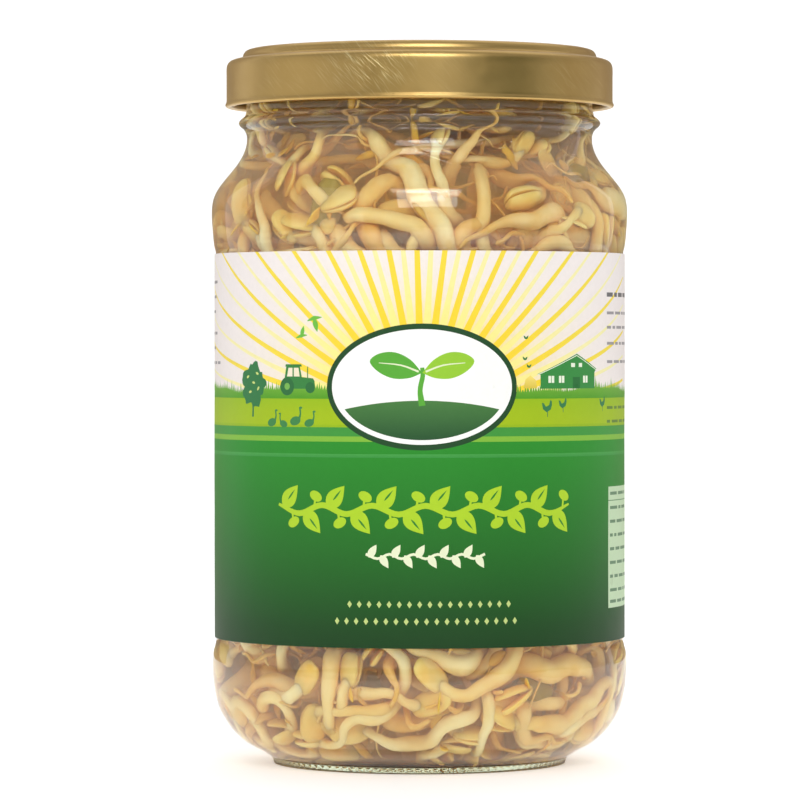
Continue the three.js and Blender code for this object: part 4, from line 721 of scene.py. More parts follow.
[0,83,96,10,-17,347,34,-26,333,63,-29,329,78,-38,323,91,-52,320,100,-68,325,107,-83,332,113,-101,335,118,-117,341,121,-131,354,122,-145,365,123,-161,375,129,-175,386,132,-189,399,130,-205,407,120,-216,415,111,-226,423,110,-239,432,110,-253,438,103,-264,447],
[0,109,108,-149,-120,564,-135,-126,594,-112,-128,612,-97,-135,618,-84,-147,621,-72,-159,623,-59,-170,620,-47,-183,624,-36,-195,630,-22,-206,631,-7,-215,634,6,-224,642,14,-235,652,22,-249,660,37,-259,664,51,-263,671,63,-268,680,74,-271,692,87,-274,701,99,-281,708],
[0,107,108,-198,-161,305,-215,-184,321,-238,-199,332,-243,-210,352,-233,-220,370,-216,-229,382,-198,-236,393,-181,-243,406,-159,-247,411,-137,-252,416,-117,-253,425,-94,-249,427,-73,-241,425,-52,-235,428,-29,-231,426,-13,-232,420,3,-233,415,20,-232,416,37,-231,413,52,-222,409],
[0,106,92,316,-1,681,293,-7,664,285,-9,636,265,-14,623,242,-19,620,219,-18,615,195,-15,618,172,-13,625,150,-11,630,127,-11,638,107,-7,650,89,9,653,74,19,670,65,21,693,48,26,709,35,22,731,20,32,748,7,42,767,-3,49,788,-11,56,810],
[0,102,98,-252,9,433,-266,1,459,-290,-13,467,-309,-25,458,-320,-33,440,-317,-41,418,-317,-35,396,-317,-33,373,-303,-40,356,-282,-50,353,-263,-44,340,-242,-35,344,-222,-29,351,-209,-29,371,-199,-42,387,-203,-50,410,-220,-62,425,-242,-72,430,-264,-83,425,-285,-93,417],
[0,100,87,-87,-305,824,-63,-309,813,-42,-303,794,-36,-297,776,-33,-302,757,-30,-299,737,-34,-294,718,-38,-299,698,-31,-296,680,-24,-290,662,-20,-287,642,-12,-279,625,-5,-271,609,3,-263,592,17,-258,579,37,-247,563,59,-235,551,84,-223,546,105,-207,537,124,-188,531],
[0,83,97,-114,109,237,-88,93,236,-61,89,226,-45,94,225,-31,100,234,-25,108,248,-30,122,257,-34,138,263,-28,152,268,-24,166,278,-33,179,285,-47,187,292,-56,197,302,-65,210,308,-75,224,310,-89,234,306,-105,241,306,-122,241,311,-137,249,313,-150,257,319],
[0,77,92,-59,142,1146,-42,146,1123,-35,148,1095,-45,141,1068,-51,141,1039,-63,130,1014,-83,116,996,-110,102,989,-129,86,972,-148,80,948,-161,63,927,-177,57,902,-198,48,882,-216,32,864,-232,21,841,-241,14,824,-248,9,806,-250,3,787,-256,0,769,-263,-2,750],
[0,90,98,291,-120,264,290,-119,294,303,-117,320,308,-103,347,307,-79,365,296,-52,372,280,-27,368,269,-3,352,254,23,349,235,46,345,215,61,328,208,82,308,197,106,293,174,124,284,158,139,264,148,144,252,140,150,239,135,156,225,130,160,209,126,164,194],
[0,109,92,314,-51,198,307,-78,186,313,-90,160,310,-95,139,300,-103,121,292,-98,103,284,-84,90,269,-77,77,249,-67,77,237,-50,82,231,-32,90,226,-16,102,221,-3,119,216,-3,140,215,-14,158,221,-31,178,226,-44,201,228,-67,217,223,-95,215,226,-115,195],
[0,123,105,275,103,623,248,97,605,226,104,587,206,120,579,195,144,576,186,169,574,170,190,573,159,214,570,148,237,563,128,256,560,104,264,550,83,269,534,72,286,515,55,307,508,29,315,503,10,316,498,-6,317,486,-21,319,475,-38,321,464,-54,317,454],
[0,121,86,83,46,686,88,48,660,95,41,633,98,40,612,103,45,591,97,40,571,89,43,551,72,51,539,53,60,534,33,59,527,12,53,526,-6,44,533,-26,42,541,-45,39,551,-55,28,566,-59,28,580,-60,24,595,-57,14,605,-57,0,610,-61,-11,618],
[0,100,87,-15,-212,295,8,-202,307,33,-207,319,61,-205,325,87,-219,318,97,-238,297,87,-253,273,67,-274,270,41,-280,258,15,-282,273,6,-285,302,17,-278,328,31,-263,348,60,-256,353,86,-264,340,91,-269,323,96,-282,311,96,-299,303,87,-311,292,76,-317,279],
[0,95,101,211,234,571,210,231,602,231,229,624,244,208,637,242,181,643,238,154,643,241,128,644,248,103,654,241,78,663,226,55,660,218,31,671,227,6,682,220,-20,689,201,-34,705,190,-53,721,183,-65,728,174,-70,739,168,-66,752,163,-63,766,159,-74,776],
[0,117,106,-100,25,467,-92,-6,475,-87,-33,483,-72,-52,492,-62,-69,508,-59,-79,531,-56,-82,557,-53,-92,580,-52,-106,601,-45,-120,622,-36,-129,644,-22,-146,658,-18,-158,682,-27,-177,697,-23,-195,715,-14,-205,723,-5,-215,729,1,-225,738,5,-235,749,10,-246,757],
[0,115,99,-63,252,549,-42,233,537,-22,229,515,-3,225,513,16,224,516,34,231,514,53,232,519,68,228,532,82,229,544,95,228,559,107,226,573,121,226,587,136,232,598,147,236,613,156,237,631,164,240,646,170,243,662,172,247,679,173,252,696,165,257,712],
[0,84,104,-135,101,589,-110,100,567,-87,82,563,-79,63,552,-74,41,547,-77,18,554,-84,-2,564,-85,-20,579,-88,-38,594,-93,-54,610,-98,-68,628,-108,-82,644,-123,-96,657,-135,-107,673,-147,-115,691,-157,-121,704,-166,-128,716,-174,-134,729,-183,-139,742,-193,-143,755],
[0,95,100,226,160,198,249,174,214,259,194,233,253,203,254,239,216,267,225,229,281,208,241,293,186,245,303,162,242,306,140,248,315,121,250,330,98,243,336,78,231,337,54,224,339,31,230,345,14,232,347,-3,228,347,-20,224,349,-37,219,350,-53,212,348],
[0,98,112,123,-287,703,133,-280,671,152,-270,650,158,-267,627,155,-267,603,144,-257,584,141,-252,561,140,-261,538,136,-272,517,131,-282,497,121,-290,476,109,-295,457,94,-292,438,84,-295,416,71,-304,399,51,-309,381,34,-315,361,18,-325,342,0,-330,323,-19,-330,304],
[0,86,91,-233,207,639,-211,211,658,-207,222,685,-196,230,709,-175,234,727,-153,236,743,-129,238,756,-102,237,761,-75,241,761,-48,245,764,-21,246,762,6,238,764,31,227,762,55,216,757,82,215,748,105,211,747,128,208,745,149,202,738,169,193,729,186,185,716],
[0,76,110,-169,271,958,-160,273,927,-147,295,910,-128,303,906,-111,307,894,-93,310,886,-72,315,885,-57,317,871,-42,314,857,-23,307,852,-5,303,844,11,300,831,31,296,826,51,293,830,72,291,831,95,286,837,118,280,836,141,274,832,164,266,835,186,260,842],
[0,103,106,196,-245,240,219,-222,241,245,-213,229,250,-197,214,243,-180,202,229,-171,188,212,-168,175,195,-164,162,176,-163,151,155,-159,147,138,-145,144,123,-134,132,108,-132,115,88,-131,106,66,-127,106,40,-124,114,13,-119,120,-15,-122,113,-40,-130,103,-64,-144,103],
[0,84,97,174,72,830,201,58,833,220,42,818,241,31,813,254,14,800,253,-11,795,243,-33,792,228,-51,783,205,-61,783,184,-70,773,165,-80,760,141,-70,755,119,-62,764,99,-54,777,74,-53,776,59,-47,776,45,-41,775,30,-35,776,15,-32,776,1,-26,777],
[0,86,108,312,-6,809,311,-15,777,324,-35,760,320,-59,745,312,-82,731,288,-91,716,259,-87,712,235,-77,727,231,-57,748,249,-41,764,271,-35,781,286,-43,804,301,-69,810,309,-92,795,307,-104,769,303,-119,756,289,-128,745,271,-128,734,253,-120,732,235,-113,740],
[0,113,100,-15,-213,755,-10,-202,783,3,-192,807,10,-195,821,19,-202,831,30,-207,840,40,-216,847,51,-222,857,57,-223,871,62,-223,886,68,-225,900,73,-230,913,81,-232,926,87,-231,941,85,-226,955,80,-222,982,82,-221,1009,95,-212,1031,103,-207,1057,110,-207,1083],
[0,97,88,-225,-223,263,-221,-225,237,-228,-226,208,-223,-212,188,-216,-190,182,-202,-176,167,-186,-169,151,-173,-163,131,-161,-143,122,-159,-118,124,-144,-100,128,-127,-82,126,-118,-60,119,-111,-40,108,-106,-17,103,-96,10,102,-72,22,92,-50,32,79,-39,56,68,-40,81,58],
[0,82,86,-137,28,463,-163,35,461,-184,46,444,-198,47,421,-200,46,393,-191,33,371,-176,15,356,-152,7,344,-128,-4,351,-109,-13,368,-89,-12,387,-72,-14,409,-61,-13,434,-52,-6,459,-38,-7,483,-25,-6,505,-12,-3,528,-2,-2,552,5,2,576,14,7,600],
[0,92,94,279,148,323,289,122,325,290,95,314,299,77,304,311,59,298,317,38,290,315,18,280,299,4,271,286,-15,270,266,-26,272,243,-20,270,222,-14,265,201,-23,259,180,-31,260,158,-37,257,144,-40,253,129,-42,252,114,-43,251,100,-45,249,86,-51,249],
[0,106,93,91,100,474,63,104,482,40,121,489,30,130,498,23,139,509,18,148,521,12,157,533,7,166,545,2,178,554,-5,188,565,-11,195,578,-14,202,592,-16,214,603,-21,220,618,-28,226,631,-45,242,644,-65,250,658,-81,265,673,-100,272,691,-119,284,703],
[0,84,108,-227,214,992,-215,233,967,-203,262,970,-188,271,980,-171,277,986,-152,280,986,-135,270,991,-116,264,993,-99,269,1000,-85,271,1013,-72,275,1026,-53,280,1030,-36,287,1035,-20,285,1045,-3,283,1053,18,284,1054,38,288,1049,59,285,1051,78,279,1055,98,273,1054],
[0,98,106,298,97,717,296,96,684,295,76,662,301,51,647,305,23,641,317,-5,638,317,-33,651,315,-51,675,312,-63,702,294,-60,727,281,-41,745,275,-18,762,250,-5,773,229,18,766,219,32,741,219,26,718,214,12,702,203,-5,692,206,-18,673,217,-36,666],
[0,81,87,128,14,449,149,-2,456,165,-26,458,170,-50,461,165,-74,463,153,-96,465,136,-113,464,127,-136,465,120,-160,464,115,-185,468,100,-204,469,81,-220,476,63,-235,483,43,-250,480,23,-263,474,11,-271,473,-2,-277,473,-14,-285,472,-26,-291,471,-40,-296,471],
[0,103,95,-97,-45,866,-80,-55,888,-77,-54,917,-83,-63,932,-88,-79,939,-87,-97,937,-87,-114,931,-93,-130,924,-91,-145,914,-86,-156,901,-85,-164,885,-84,-170,868,-82,-176,851,-79,-185,836,-73,-192,821,-76,-204,798,-82,-204,773,-76,-211,749,-67,-211,725,-67,-218,701],
[0,113,102,43,-33,530,59,-51,509,65,-72,490,63,-86,465,53,-93,439,41,-110,418,22,-124,400,3,-140,385,-17,-153,368,-35,-165,348,-59,-162,331,-82,-168,313,-94,-185,293,-113,-197,274,-127,-209,252,-134,-216,234,-148,-225,223,-165,-230,215,-176,-240,201,-189,-246,187],
[0,76,106,57,268,676,74,280,702,91,280,725,115,283,736,142,286,731,164,269,727,184,255,714,198,243,695,213,231,676,221,218,653,223,202,630,240,196,609,251,190,586,256,180,561,255,169,536,250,165,520,245,161,505,241,156,489,232,154,475,223,152,461],
[0,115,100,-12,243,64,-36,225,62,-57,205,57,-65,194,69,-64,184,83,-57,173,95,-54,172,112,-43,175,125,-33,187,134,-26,203,135,-18,216,127,-7,229,124,-3,242,112,-11,252,100,-26,257,91,-39,258,79,-54,252,71,-69,245,71,-83,234,74,-93,223,83],
[0,122,111,58,-215,254,34,-218,230,6,-218,221,-20,-210,233,-34,-187,244,-53,-181,267,-55,-186,296,-52,-197,323,-45,-198,351,-28,-202,376,-5,-216,388,23,-226,393,50,-237,387,78,-247,384,104,-257,394,129,-259,407,155,-261,414,182,-266,418,206,-257,430,220,-246,450],
[0,94,94,24,315,390,14,314,417,-4,323,439,-24,316,453,-45,303,455,-65,288,457,-79,268,461,-96,250,464,-112,239,480,-122,236,504,-135,222,520,-149,205,531,-166,192,543,-183,177,554,-202,170,569,-217,170,580,-232,164,589,-245,158,599,-259,153,610,-273,151,621],
[0,119,105,1,-316,183,27,-314,165,49,-321,148,76,-314,143,99,-306,156,121,-297,168,142,-286,184,153,-276,207,158,-260,230,159,-239,248,174,-219,262,183,-197,277,190,-187,302,201,-172,323,210,-154,342,213,-146,355,215,-137,367,218,-126,377,221,-114,386,223,-103,395],
[0,83,106,136,-39,287,131,-61,312,129,-69,340,136,-67,369,133,-49,393,121,-26,407,116,4,406,105,27,391,90,36,367,70,27,346,63,12,321,64,-14,306,59,-43,310,50,-63,332,54,-70,361,65,-65,378,65,-58,397,60,-47,413,56,-29,424,52,-10,428],
[0,115,85,282,93,486,292,112,501,294,133,522,285,150,544,269,158,569,248,163,590,228,169,611,211,172,637,204,174,666,187,169,691,173,165,718,147,161,735,121,144,739,100,134,759,81,129,782,69,123,795,55,114,804,44,103,815,35,92,827,22,88,840],
[0,122,102,-204,-82,84,-215,-62,62,-202,-40,51,-178,-25,51,-157,-8,55,-132,-2,68,-103,-1,65,-78,-7,82,-71,-18,110,-89,-27,132,-98,-42,154,-103,-53,181,-116,-67,202,-121,-74,231,-124,-87,256,-130,-99,275,-130,-114,291,-130,-130,308,-140,-139,326,-151,-149,343],
[0,114,93,72,-263,556,93,-243,558,109,-221,568,117,-208,585,117,-202,607,114,-193,628,112,-186,650,120,-172,667,128,-162,687,124,-156,710,114,-149,730,100,-145,748,90,-143,769,93,-134,791,93,-131,814,91,-125,831,91,-122,848,89,-123,866,83,-118,882,76,-114,897],
[0,120,104,131,-95,1132,107,-111,1119,84,-128,1119,63,-136,1102,56,-143,1076,61,-149,1049,73,-154,1024,88,-161,1002,102,-169,980,117,-175,957,133,-173,935,154,-171,916,180,-173,908,203,-189,902,224,-200,888,236,-202,877,245,-199,865,252,-187,856,263,-176,859,279,-176,855],
[0,78,108,-192,-199,554,-189,-173,534,-190,-152,514,-190,-140,504,-185,-128,495,-175,-123,483,-161,-121,477,-150,-120,466,-138,-114,457,-124,-113,450,-110,-112,444,-95,-114,442,-80,-119,444,-69,-129,448,-57,-139,453,-50,-148,465,-49,-156,479,-43,-164,493,-44,-170,508,-53,-173,522],
[0,92,90,-46,-90,888,-42,-100,914,-35,-119,935,-17,-127,956,6,-123,972,33,-116,977,60,-108,970,81,-101,952,94,-97,927,96,-97,899,88,-101,872,68,-111,853,49,-128,842,25,-143,840,10,-165,850,-1,-180,871,2,-190,896,14,-191,922,38,-191,935,66,-189,934],
[0,96,94,-169,-187,172,-150,-187,150,-147,-173,125,-141,-157,112,-123,-149,102,-110,-133,99,-97,-117,94,-79,-116,82,-59,-120,78,-38,-120,75,-18,-123,73,1,-132,77,20,-139,82,41,-135,85,62,-138,82,83,-147,89,101,-154,102,124,-162,100,140,-177,92,158,-187,103],
[0,79,97,70,-94,387,47,-79,399,30,-57,406,22,-38,419,23,-19,434,12,-2,448,-3,8,464,-20,9,481,-39,20,491,-60,32,488,-81,42,490,-104,49,492,-128,51,487,-151,53,484,-175,55,480,-195,54,473,-216,52,467,-237,53,461,-258,54,455,-278,52,448],
[0,82,104,-254,75,478,-256,82,446,-243,87,420,-238,93,396,-231,102,372,-222,117,353,-217,132,333,-217,151,315,-208,166,296,-199,186,280,-179,199,270,-166,216,255,-156,231,237,-147,250,221,-133,266,206,-125,281,192,-117,297,181,-111,311,165,-104,315,145,-92,316,127],
[0,108,97,-295,-100,237,-296,-71,243,-310,-45,246,-311,-28,269,-296,-22,290,-273,-23,305,-257,-12,324,-250,3,346,-256,23,363,-248,36,386,-230,48,404,-218,60,425,-213,67,450,-211,80,473,-207,93,497,-200,108,513,-199,126,528,-206,144,542,-212,163,554,-218,181,569],
[0,92,102,-130,-133,725,-153,-115,737,-180,-112,748,-196,-115,754,-210,-123,758,-222,-135,761,-231,-149,762,-237,-164,760,-239,-180,756,-237,-196,749,-232,-209,740,-224,-219,729,-215,-225,717,-203,-227,705,-191,-225,693,-177,-215,678,-166,-198,667,-162,-177,659,-163,-154,656,-170,-132,656],
[0,93,101,-30,-15,765,-6,-9,745,16,-12,727,40,-25,721,65,-31,727,81,-44,745,88,-69,756,73,-86,772,49,-96,778,28,-97,795,3,-109,796,-21,-110,783,-36,-101,761,-36,-86,738,-21,-73,720,-12,-74,707,-2,-76,696,13,-77,690,29,-81,689,43,-88,693],
[0,101,99,277,109,539,266,117,566,253,128,590,238,129,606,225,124,623,208,118,637,188,110,642,170,103,653,148,104,656,130,113,668,117,119,684,105,120,703,93,121,721,82,124,740,68,125,758,58,131,770,46,139,778,32,147,784,23,153,797,18,157,813],
[0,114,110,-46,288,287,-58,290,256,-69,292,229,-80,288,213,-89,276,200,-93,259,192,-101,242,186,-117,230,181,-128,213,178,-135,195,178,-145,178,179,-153,160,180,-155,141,174,-161,123,170,-167,106,161,-175,91,163,-183,76,164,-192,62,160,-199,47,157,-205,32,157],
[0,104,100,-313,30,361,-286,44,359,-258,48,350,-235,43,358,-219,33,374,-212,22,395,-206,23,420,-199,25,443,-197,22,468,-203,11,490,-209,2,511,-216,-6,534,-219,-10,558,-228,-19,579,-241,-25,599,-252,-35,620,-268,-43,638,-286,-50,655,-305,-57,670,-324,-64,684],
[0,93,107,156,162,885,124,164,896,101,176,909,91,181,921,87,189,934,91,199,946,93,213,953,99,226,959,107,239,964,117,247,973,126,257,982,142,263,984,158,261,987,172,252,991,182,239,989,188,217,977,182,198,962,174,175,958,154,161,953,131,161,941],
[0,80,100,37,-68,745,46,-71,714,63,-90,699,80,-101,690,98,-111,681,118,-119,675,138,-129,677,153,-141,690,162,-148,710,164,-148,732,162,-150,754,159,-154,777,147,-154,796,124,-154,803,102,-157,800,80,-158,793,63,-154,779,52,-152,759,43,-158,739,40,-170,720],
[0,106,98,-162,40,846,-154,17,828,-154,-12,824,-156,-27,810,-166,-36,794,-179,-33,779,-197,-23,772,-208,-5,774,-210,13,784,-221,24,797,-220,29,818,-209,37,833,-195,31,848,-186,15,858,-177,-3,859,-177,-25,853,-182,-40,838,-194,-46,820,-212,-43,808,-229,-29,803],
[0,92,86,-123,145,115,-134,127,130,-140,116,157,-141,104,174,-132,91,188,-114,82,195,-95,81,204,-74,85,203,-55,87,194,-43,92,178,-40,95,157,-45,97,137,-61,102,123,-78,97,113,-97,89,108,-113,77,116,-129,67,127,-135,59,147,-132,46,165,-119,38,182],
[0,121,101,87,-33,1147,97,-29,1118,107,-29,1091,106,-35,1077,102,-45,1065,96,-57,1058,89,-70,1055,81,-83,1058,74,-94,1066,69,-102,1078,68,-105,1093,65,-103,1108,70,-99,1122,75,-99,1136,87,-94,1145,107,-77,1147,124,-63,1134,137,-56,1112,143,-57,1087,140,-70,1065],
[0,77,103,152,-98,58,154,-130,61,156,-154,77,146,-169,98,125,-179,112,99,-187,112,76,-199,107,53,-212,115,28,-220,117,3,-230,117,-24,-230,116,-50,-231,125,-74,-237,134,-101,-235,133,-125,-223,141,-147,-224,135,-169,-222,132,-191,-221,132,-210,-231,122,-231,-234,123],
[0,105,102,-44,-29,1162,-16,-15,1160,7,1,1151,27,3,1139,42,1,1121,52,4,1099,63,-1,1078,73,-11,1059,83,-17,1038,92,-24,1018,101,-32,997,112,-43,979,120,-56,961,121,-62,937,121,-70,915,117,-85,892,124,-98,869,138,-109,848,143,-132,833,136,-153,816],
[0,87,105,-314,-41,167,-313,-18,191,-327,10,194,-326,31,185,-321,52,180,-316,74,189,-309,96,186,-299,113,171,-291,112,149,-288,113,126,-279,115,103,-256,106,98,-234,98,95,-211,95,88,-191,103,78,-183,114,63,-173,124,49,-157,134,43,-137,136,42,-121,147,41],
[0,116,106,-310,-57,203,-301,-88,194,-290,-114,203,-277,-118,214,-262,-119,217,-246,-119,212,-231,-118,213,-218,-109,218,-203,-107,217,-187,-108,217,-172,-109,219,-160,-118,225,-150,-128,229,-136,-135,230,-124,-145,233,-105,-158,229,-91,-176,225,-84,-198,228,-76,-220,228,-66,-240,226],
[0,103,98,-123,256,443,-100,256,423,-87,247,398,-67,234,391,-53,215,391,-32,203,397,-14,190,407,3,180,423,24,170,429,44,158,439,56,142,454,70,138,474,91,132,487,110,120,498,130,115,512,146,103,515,161,92,522,177,82,530,191,73,540,205,66,552],
[0,105,102,-114,155,582,-92,139,566,-63,135,559,-48,139,560,-35,147,564,-23,156,570,-11,159,579,4,161,584,18,168,587,30,179,589,44,184,594,59,187,599,74,189,603,87,197,608,100,206,609,124,212,615,148,214,620,172,220,625,197,227,628,221,233,633],
[0,88,107,-95,117,395,-93,151,391,-115,169,395,-139,173,402,-149,188,419,-169,190,435,-192,186,441,-212,174,449,-228,163,464,-243,144,472,-254,122,474,-273,106,470,-289,89,477,-301,67,481,-308,44,482,-310,28,481,-311,12,479,-310,-3,476,-309,-19,474,-308,-35,471],
[0,106,103,-314,19,248,-297,-8,247,-269,-17,244,-255,-23,236,-245,-28,223,-238,-36,208,-225,-39,195,-217,-31,181,-216,-25,164,-217,-33,147,-209,-42,133,-197,-41,119,-184,-37,108,-171,-36,96,-157,-33,85,-153,-32,66,-141,-31,51,-123,-36,47,-108,-47,46,-93,-56,47],
[0,114,111,-84,-76,270,-95,-109,275,-117,-128,280,-129,-139,289,-137,-149,302,-137,-159,318,-136,-171,331,-136,-180,347,-136,-189,363,-135,-198,379,-134,-206,394,-134,-215,410,-134,-220,428,-132,-229,443,-131,-241,457,-132,-253,479,-132,-265,500,-131,-280,521,-132,-296,540,-129,-304,563],
[0,78,86,-229,-53,401,-230,-56,375,-229,-56,346,-235,-47,325,-237,-27,313,-236,-4,307,-236,19,300,-238,43,300,-241,66,304,-232,89,302,-233,112,297,-233,135,294,-231,158,286,-228,181,286,-224,204,282,-219,231,286,-203,251,294,-188,271,304,-168,285,316,-150,296,332],
[0,96,92,-83,-44,432,-70,-46,407,-57,-45,381,-54,-49,366,-54,-56,351,-55,-66,338,-59,-76,327,-64,-88,317,-71,-101,310,-79,-115,309,-88,-128,307,-99,-139,302,-107,-153,298,-117,-166,295,-129,-177,295,-142,-192,293,-154,-208,290,-165,-225,289,-178,-240,291,-194,-254,290],
[0,82,87,83,-163,256,88,-175,233,84,-197,215,71,-202,193,50,-196,180,25,-192,181,1,-188,174,-24,-181,177,-47,-192,184,-72,-197,181,-98,-196,183,-123,-199,179,-147,-207,182,-169,-205,197,-194,-199,198,-217,-196,203,-240,-199,198,-263,-195,195,-280,-179,191,-292,-160,194],
[0,101,101,76,116,603,94,118,629,107,108,653,115,88,666,116,64,669,116,43,680,108,22,688,96,1,689,86,-18,678,70,-32,668,49,-37,657,26,-30,653,6,-17,652,-9,0,644,-21,19,639,-26,37,641,-30,53,649,-28,68,657,-26,84,665,-23,99,674],
[0,104,111,-84,83,639,-49,86,634,-26,103,644,-15,109,656,-5,116,668,8,124,680,17,122,695,26,115,710,41,119,718,54,130,724,63,144,727,78,154,729,93,163,733,107,174,734,121,183,739,136,193,751,151,206,758,163,222,765,179,234,769,199,242,772],
[0,111,105,-228,113,458,-227,113,425,-219,110,397,-212,96,379,-214,75,367,-209,55,355,-195,39,343,-188,20,329,-184,9,307,-183,-9,291,-173,-20,272,-166,-33,253,-174,-43,231,-175,-40,206,-161,-37,186,-150,-34,175,-145,-33,160,-143,-32,145,-138,-30,130,-137,-26,115],
[0,122,104,-239,191,856,-216,200,835,-208,214,811,-206,212,796,-202,203,784,-202,190,776,-205,176,772,-202,161,771,-201,146,766,-209,133,766,-213,119,771,-212,104,775,-212,89,772,-217,75,770,-223,61,772,-237,44,777,-247,25,780,-260,6,783,-263,-16,783,-269,-37,788],
[0,96,86,-14,160,661,-6,186,667,14,196,686,40,200,692,63,186,694,68,159,699,67,133,697,52,111,690,32,93,684,3,90,686,-18,106,694,-29,128,707,-25,151,721,-9,167,736,6,164,758,24,161,771,45,152,772,55,139,757,54,121,746,56,102,737],
[0,99,108,121,85,700,151,77,686,167,57,671,171,41,661,174,23,654,176,4,651,177,-15,658,171,-32,667,160,-47,671,149,-62,678,137,-70,691,127,-71,708,113,-77,721,95,-82,726,78,-76,735,66,-64,745,63,-50,757,65,-35,768,69,-20,780,74,-6,791],
[0,77,94,225,-170,296,208,-166,273,187,-150,260,172,-127,256,165,-100,264,168,-77,281,177,-58,300,182,-37,318,186,-16,336,191,7,352,197,29,369,201,51,386,206,72,404,213,94,420,215,117,436,214,129,444,215,141,452,216,152,461,216,164,468,216,177,474],
[0,97,92,-5,-280,203,-10,-252,197,6,-228,193,12,-209,198,20,-192,208,29,-182,224,39,-177,242,49,-165,257,57,-156,274,67,-154,292,75,-154,311,83,-149,329,91,-146,348,96,-148,368,102,-152,388,112,-159,409,122,-161,431,130,-172,451,134,-187,470,136,-199,491],
[0,82,92,-232,88,556,-215,98,578,-205,95,605,-194,97,618,-183,102,631,-172,98,644,-162,92,657,-150,91,669,-137,87,681,-129,76,693,-121,63,702,-110,54,712,-101,46,725,-96,37,740,-91,23,749,-73,8,759,-52,2,773,-38,-12,789,-24,-28,803,-9,-48,808],
[0,120,89,124,227,535,122,202,547,110,175,549,103,160,562,94,154,580,83,154,598,69,152,615,59,146,633,53,143,653,43,141,672,38,144,692,28,150,711,16,146,729,1,137,742,-17,140,753,-27,141,764,-31,139,778,-34,135,792,-39,132,805,-40,131,819],
[0,116,91,-101,85,862,-75,88,850,-46,87,848,-26,80,844,-8,82,831,10,90,820,22,105,810,31,125,806,42,143,804,60,156,798,80,163,798,100,171,799,119,182,797,136,189,784,154,190,773,178,189,762,203,185,755,229,178,757,255,175,749,280,169,743],
[0,83,109,56,-308,679,71,-295,652,85,-269,647,92,-251,649,105,-237,649,116,-222,652,128,-208,659,141,-193,653,143,-176,644,141,-158,638,144,-139,633,139,-121,629,139,-102,625,135,-85,617,127,-71,607,126,-50,597,116,-31,587,104,-19,571,97,0,559,84,17,551],
[0,120,100,-139,-225,695,-132,-245,718,-136,-268,736,-130,-275,763,-116,-265,786,-105,-244,801,-103,-217,811,-102,-190,804,-113,-167,790,-128,-160,767,-146,-171,747,-170,-184,741,-186,-208,744,-193,-230,760,-185,-251,777,-178,-256,794,-170,-253,810,-161,-246,824,-153,-235,837,-147,-221,846],
[0,115,104,-119,2,308,-147,18,312,-165,36,326,-169,58,330,-156,76,324,-134,81,329,-121,72,344,-102,62,350,-88,49,339,-84,46,317,-88,34,300,-105,29,286,-124,39,283,-140,45,268,-154,62,267,-158,83,286,-140,97,302,-119,90,317,-98,73,313,-86,58,293],
[0,123,91,-203,-158,250,-213,-132,247,-213,-102,247,-221,-85,240,-240,-78,244,-259,-87,244,-264,-106,244,-271,-123,247,-283,-136,239,-279,-147,224,-274,-157,209,-262,-169,201,-244,-176,204,-226,-174,208,-213,-161,215,-204,-141,211,-206,-127,194,-216,-108,188,-229,-91,194,-250,-84,191],
[0,109,112,74,251,248,90,222,244,104,204,226,112,190,210,112,169,203,108,146,203,106,127,216,94,113,228,75,104,239,58,112,252,50,123,271,37,140,280,22,158,279,15,179,275,18,199,263,16,208,248,13,211,232,17,214,216,27,215,203,40,217,192],
[0,113,110,58,307,418,42,282,435,31,278,462,33,287,489,33,282,517,46,290,541,70,300,553,98,301,549,122,292,538,141,284,519,146,281,491,142,284,464,128,280,440,110,261,429,90,242,436,79,228,444,68,217,457,62,208,475,58,209,495,64,211,514],
[0,117,86,-120,74,224,-141,88,216,-156,102,195,-179,109,186,-198,109,169,-202,91,149,-187,74,136,-164,63,143,-150,45,131,-125,38,132,-101,47,131,-86,67,137,-84,92,143,-96,114,139,-110,132,150,-123,145,150,-136,154,160,-153,164,157,-167,163,144,-177,151,132],
[0,77,91,176,196,454,198,179,458,216,158,450,226,141,429,227,133,402,223,133,372,217,145,346,196,151,325,190,146,296,188,139,268,183,129,241,177,126,213,171,122,185,160,116,158,153,128,131,153,129,106,157,120,84,157,111,60,149,96,42,134,76,43],
[0,117,95,302,-81,482,302,-59,463,294,-38,443,281,-15,440,265,5,446,246,19,458,228,39,462,211,57,472,194,76,479,179,96,488,165,117,497,145,135,497,123,149,494,100,164,494,87,187,487,84,205,476,78,223,469,65,240,467,55,256,460,52,277,461],
[0,96,92,2,-44,84,18,-67,80,30,-94,81,26,-117,95,8,-130,108,-14,-144,103,-35,-147,89,-59,-152,81,-83,-148,76,-105,-135,69,-118,-115,77,-136,-101,91,-160,-91,87,-175,-70,90,-191,-50,85,-201,-30,70,-220,-16,58,-244,-7,51,-265,7,54,-284,23,64],
[0,85,93,28,213,1144,11,235,1147,-11,254,1148,-36,265,1143,-63,263,1135,-86,255,1123,-106,246,1107,-124,232,1091,-131,207,1080,-125,181,1072,-116,155,1067,-95,136,1070,-84,110,1067,-71,86,1062,-53,66,1056,-47,54,1052,-39,42,1050,-31,31,1048,-23,20,1047,-15,8,1046],
[0,80,112,24,276,564,13,244,558,0,221,548,-1,202,530,7,190,508,21,181,487,32,183,463,45,190,440,53,188,415,62,194,390,76,190,367,96,190,350,112,190,328,130,189,308,146,200,290,159,207,270,172,217,251,186,232,235,201,244,220,214,254,201],
[0,116,92,4,305,1009,24,313,990,53,315,997,66,300,1016,70,281,1034,75,254,1035,88,232,1044,93,211,1061,96,188,1075,95,166,1091,104,147,1108,114,129,1127,124,103,1133,131,78,1139,139,54,1150,143,40,1158,146,27,1166,151,14,1173,158,-1,1177,166,-15,1178],
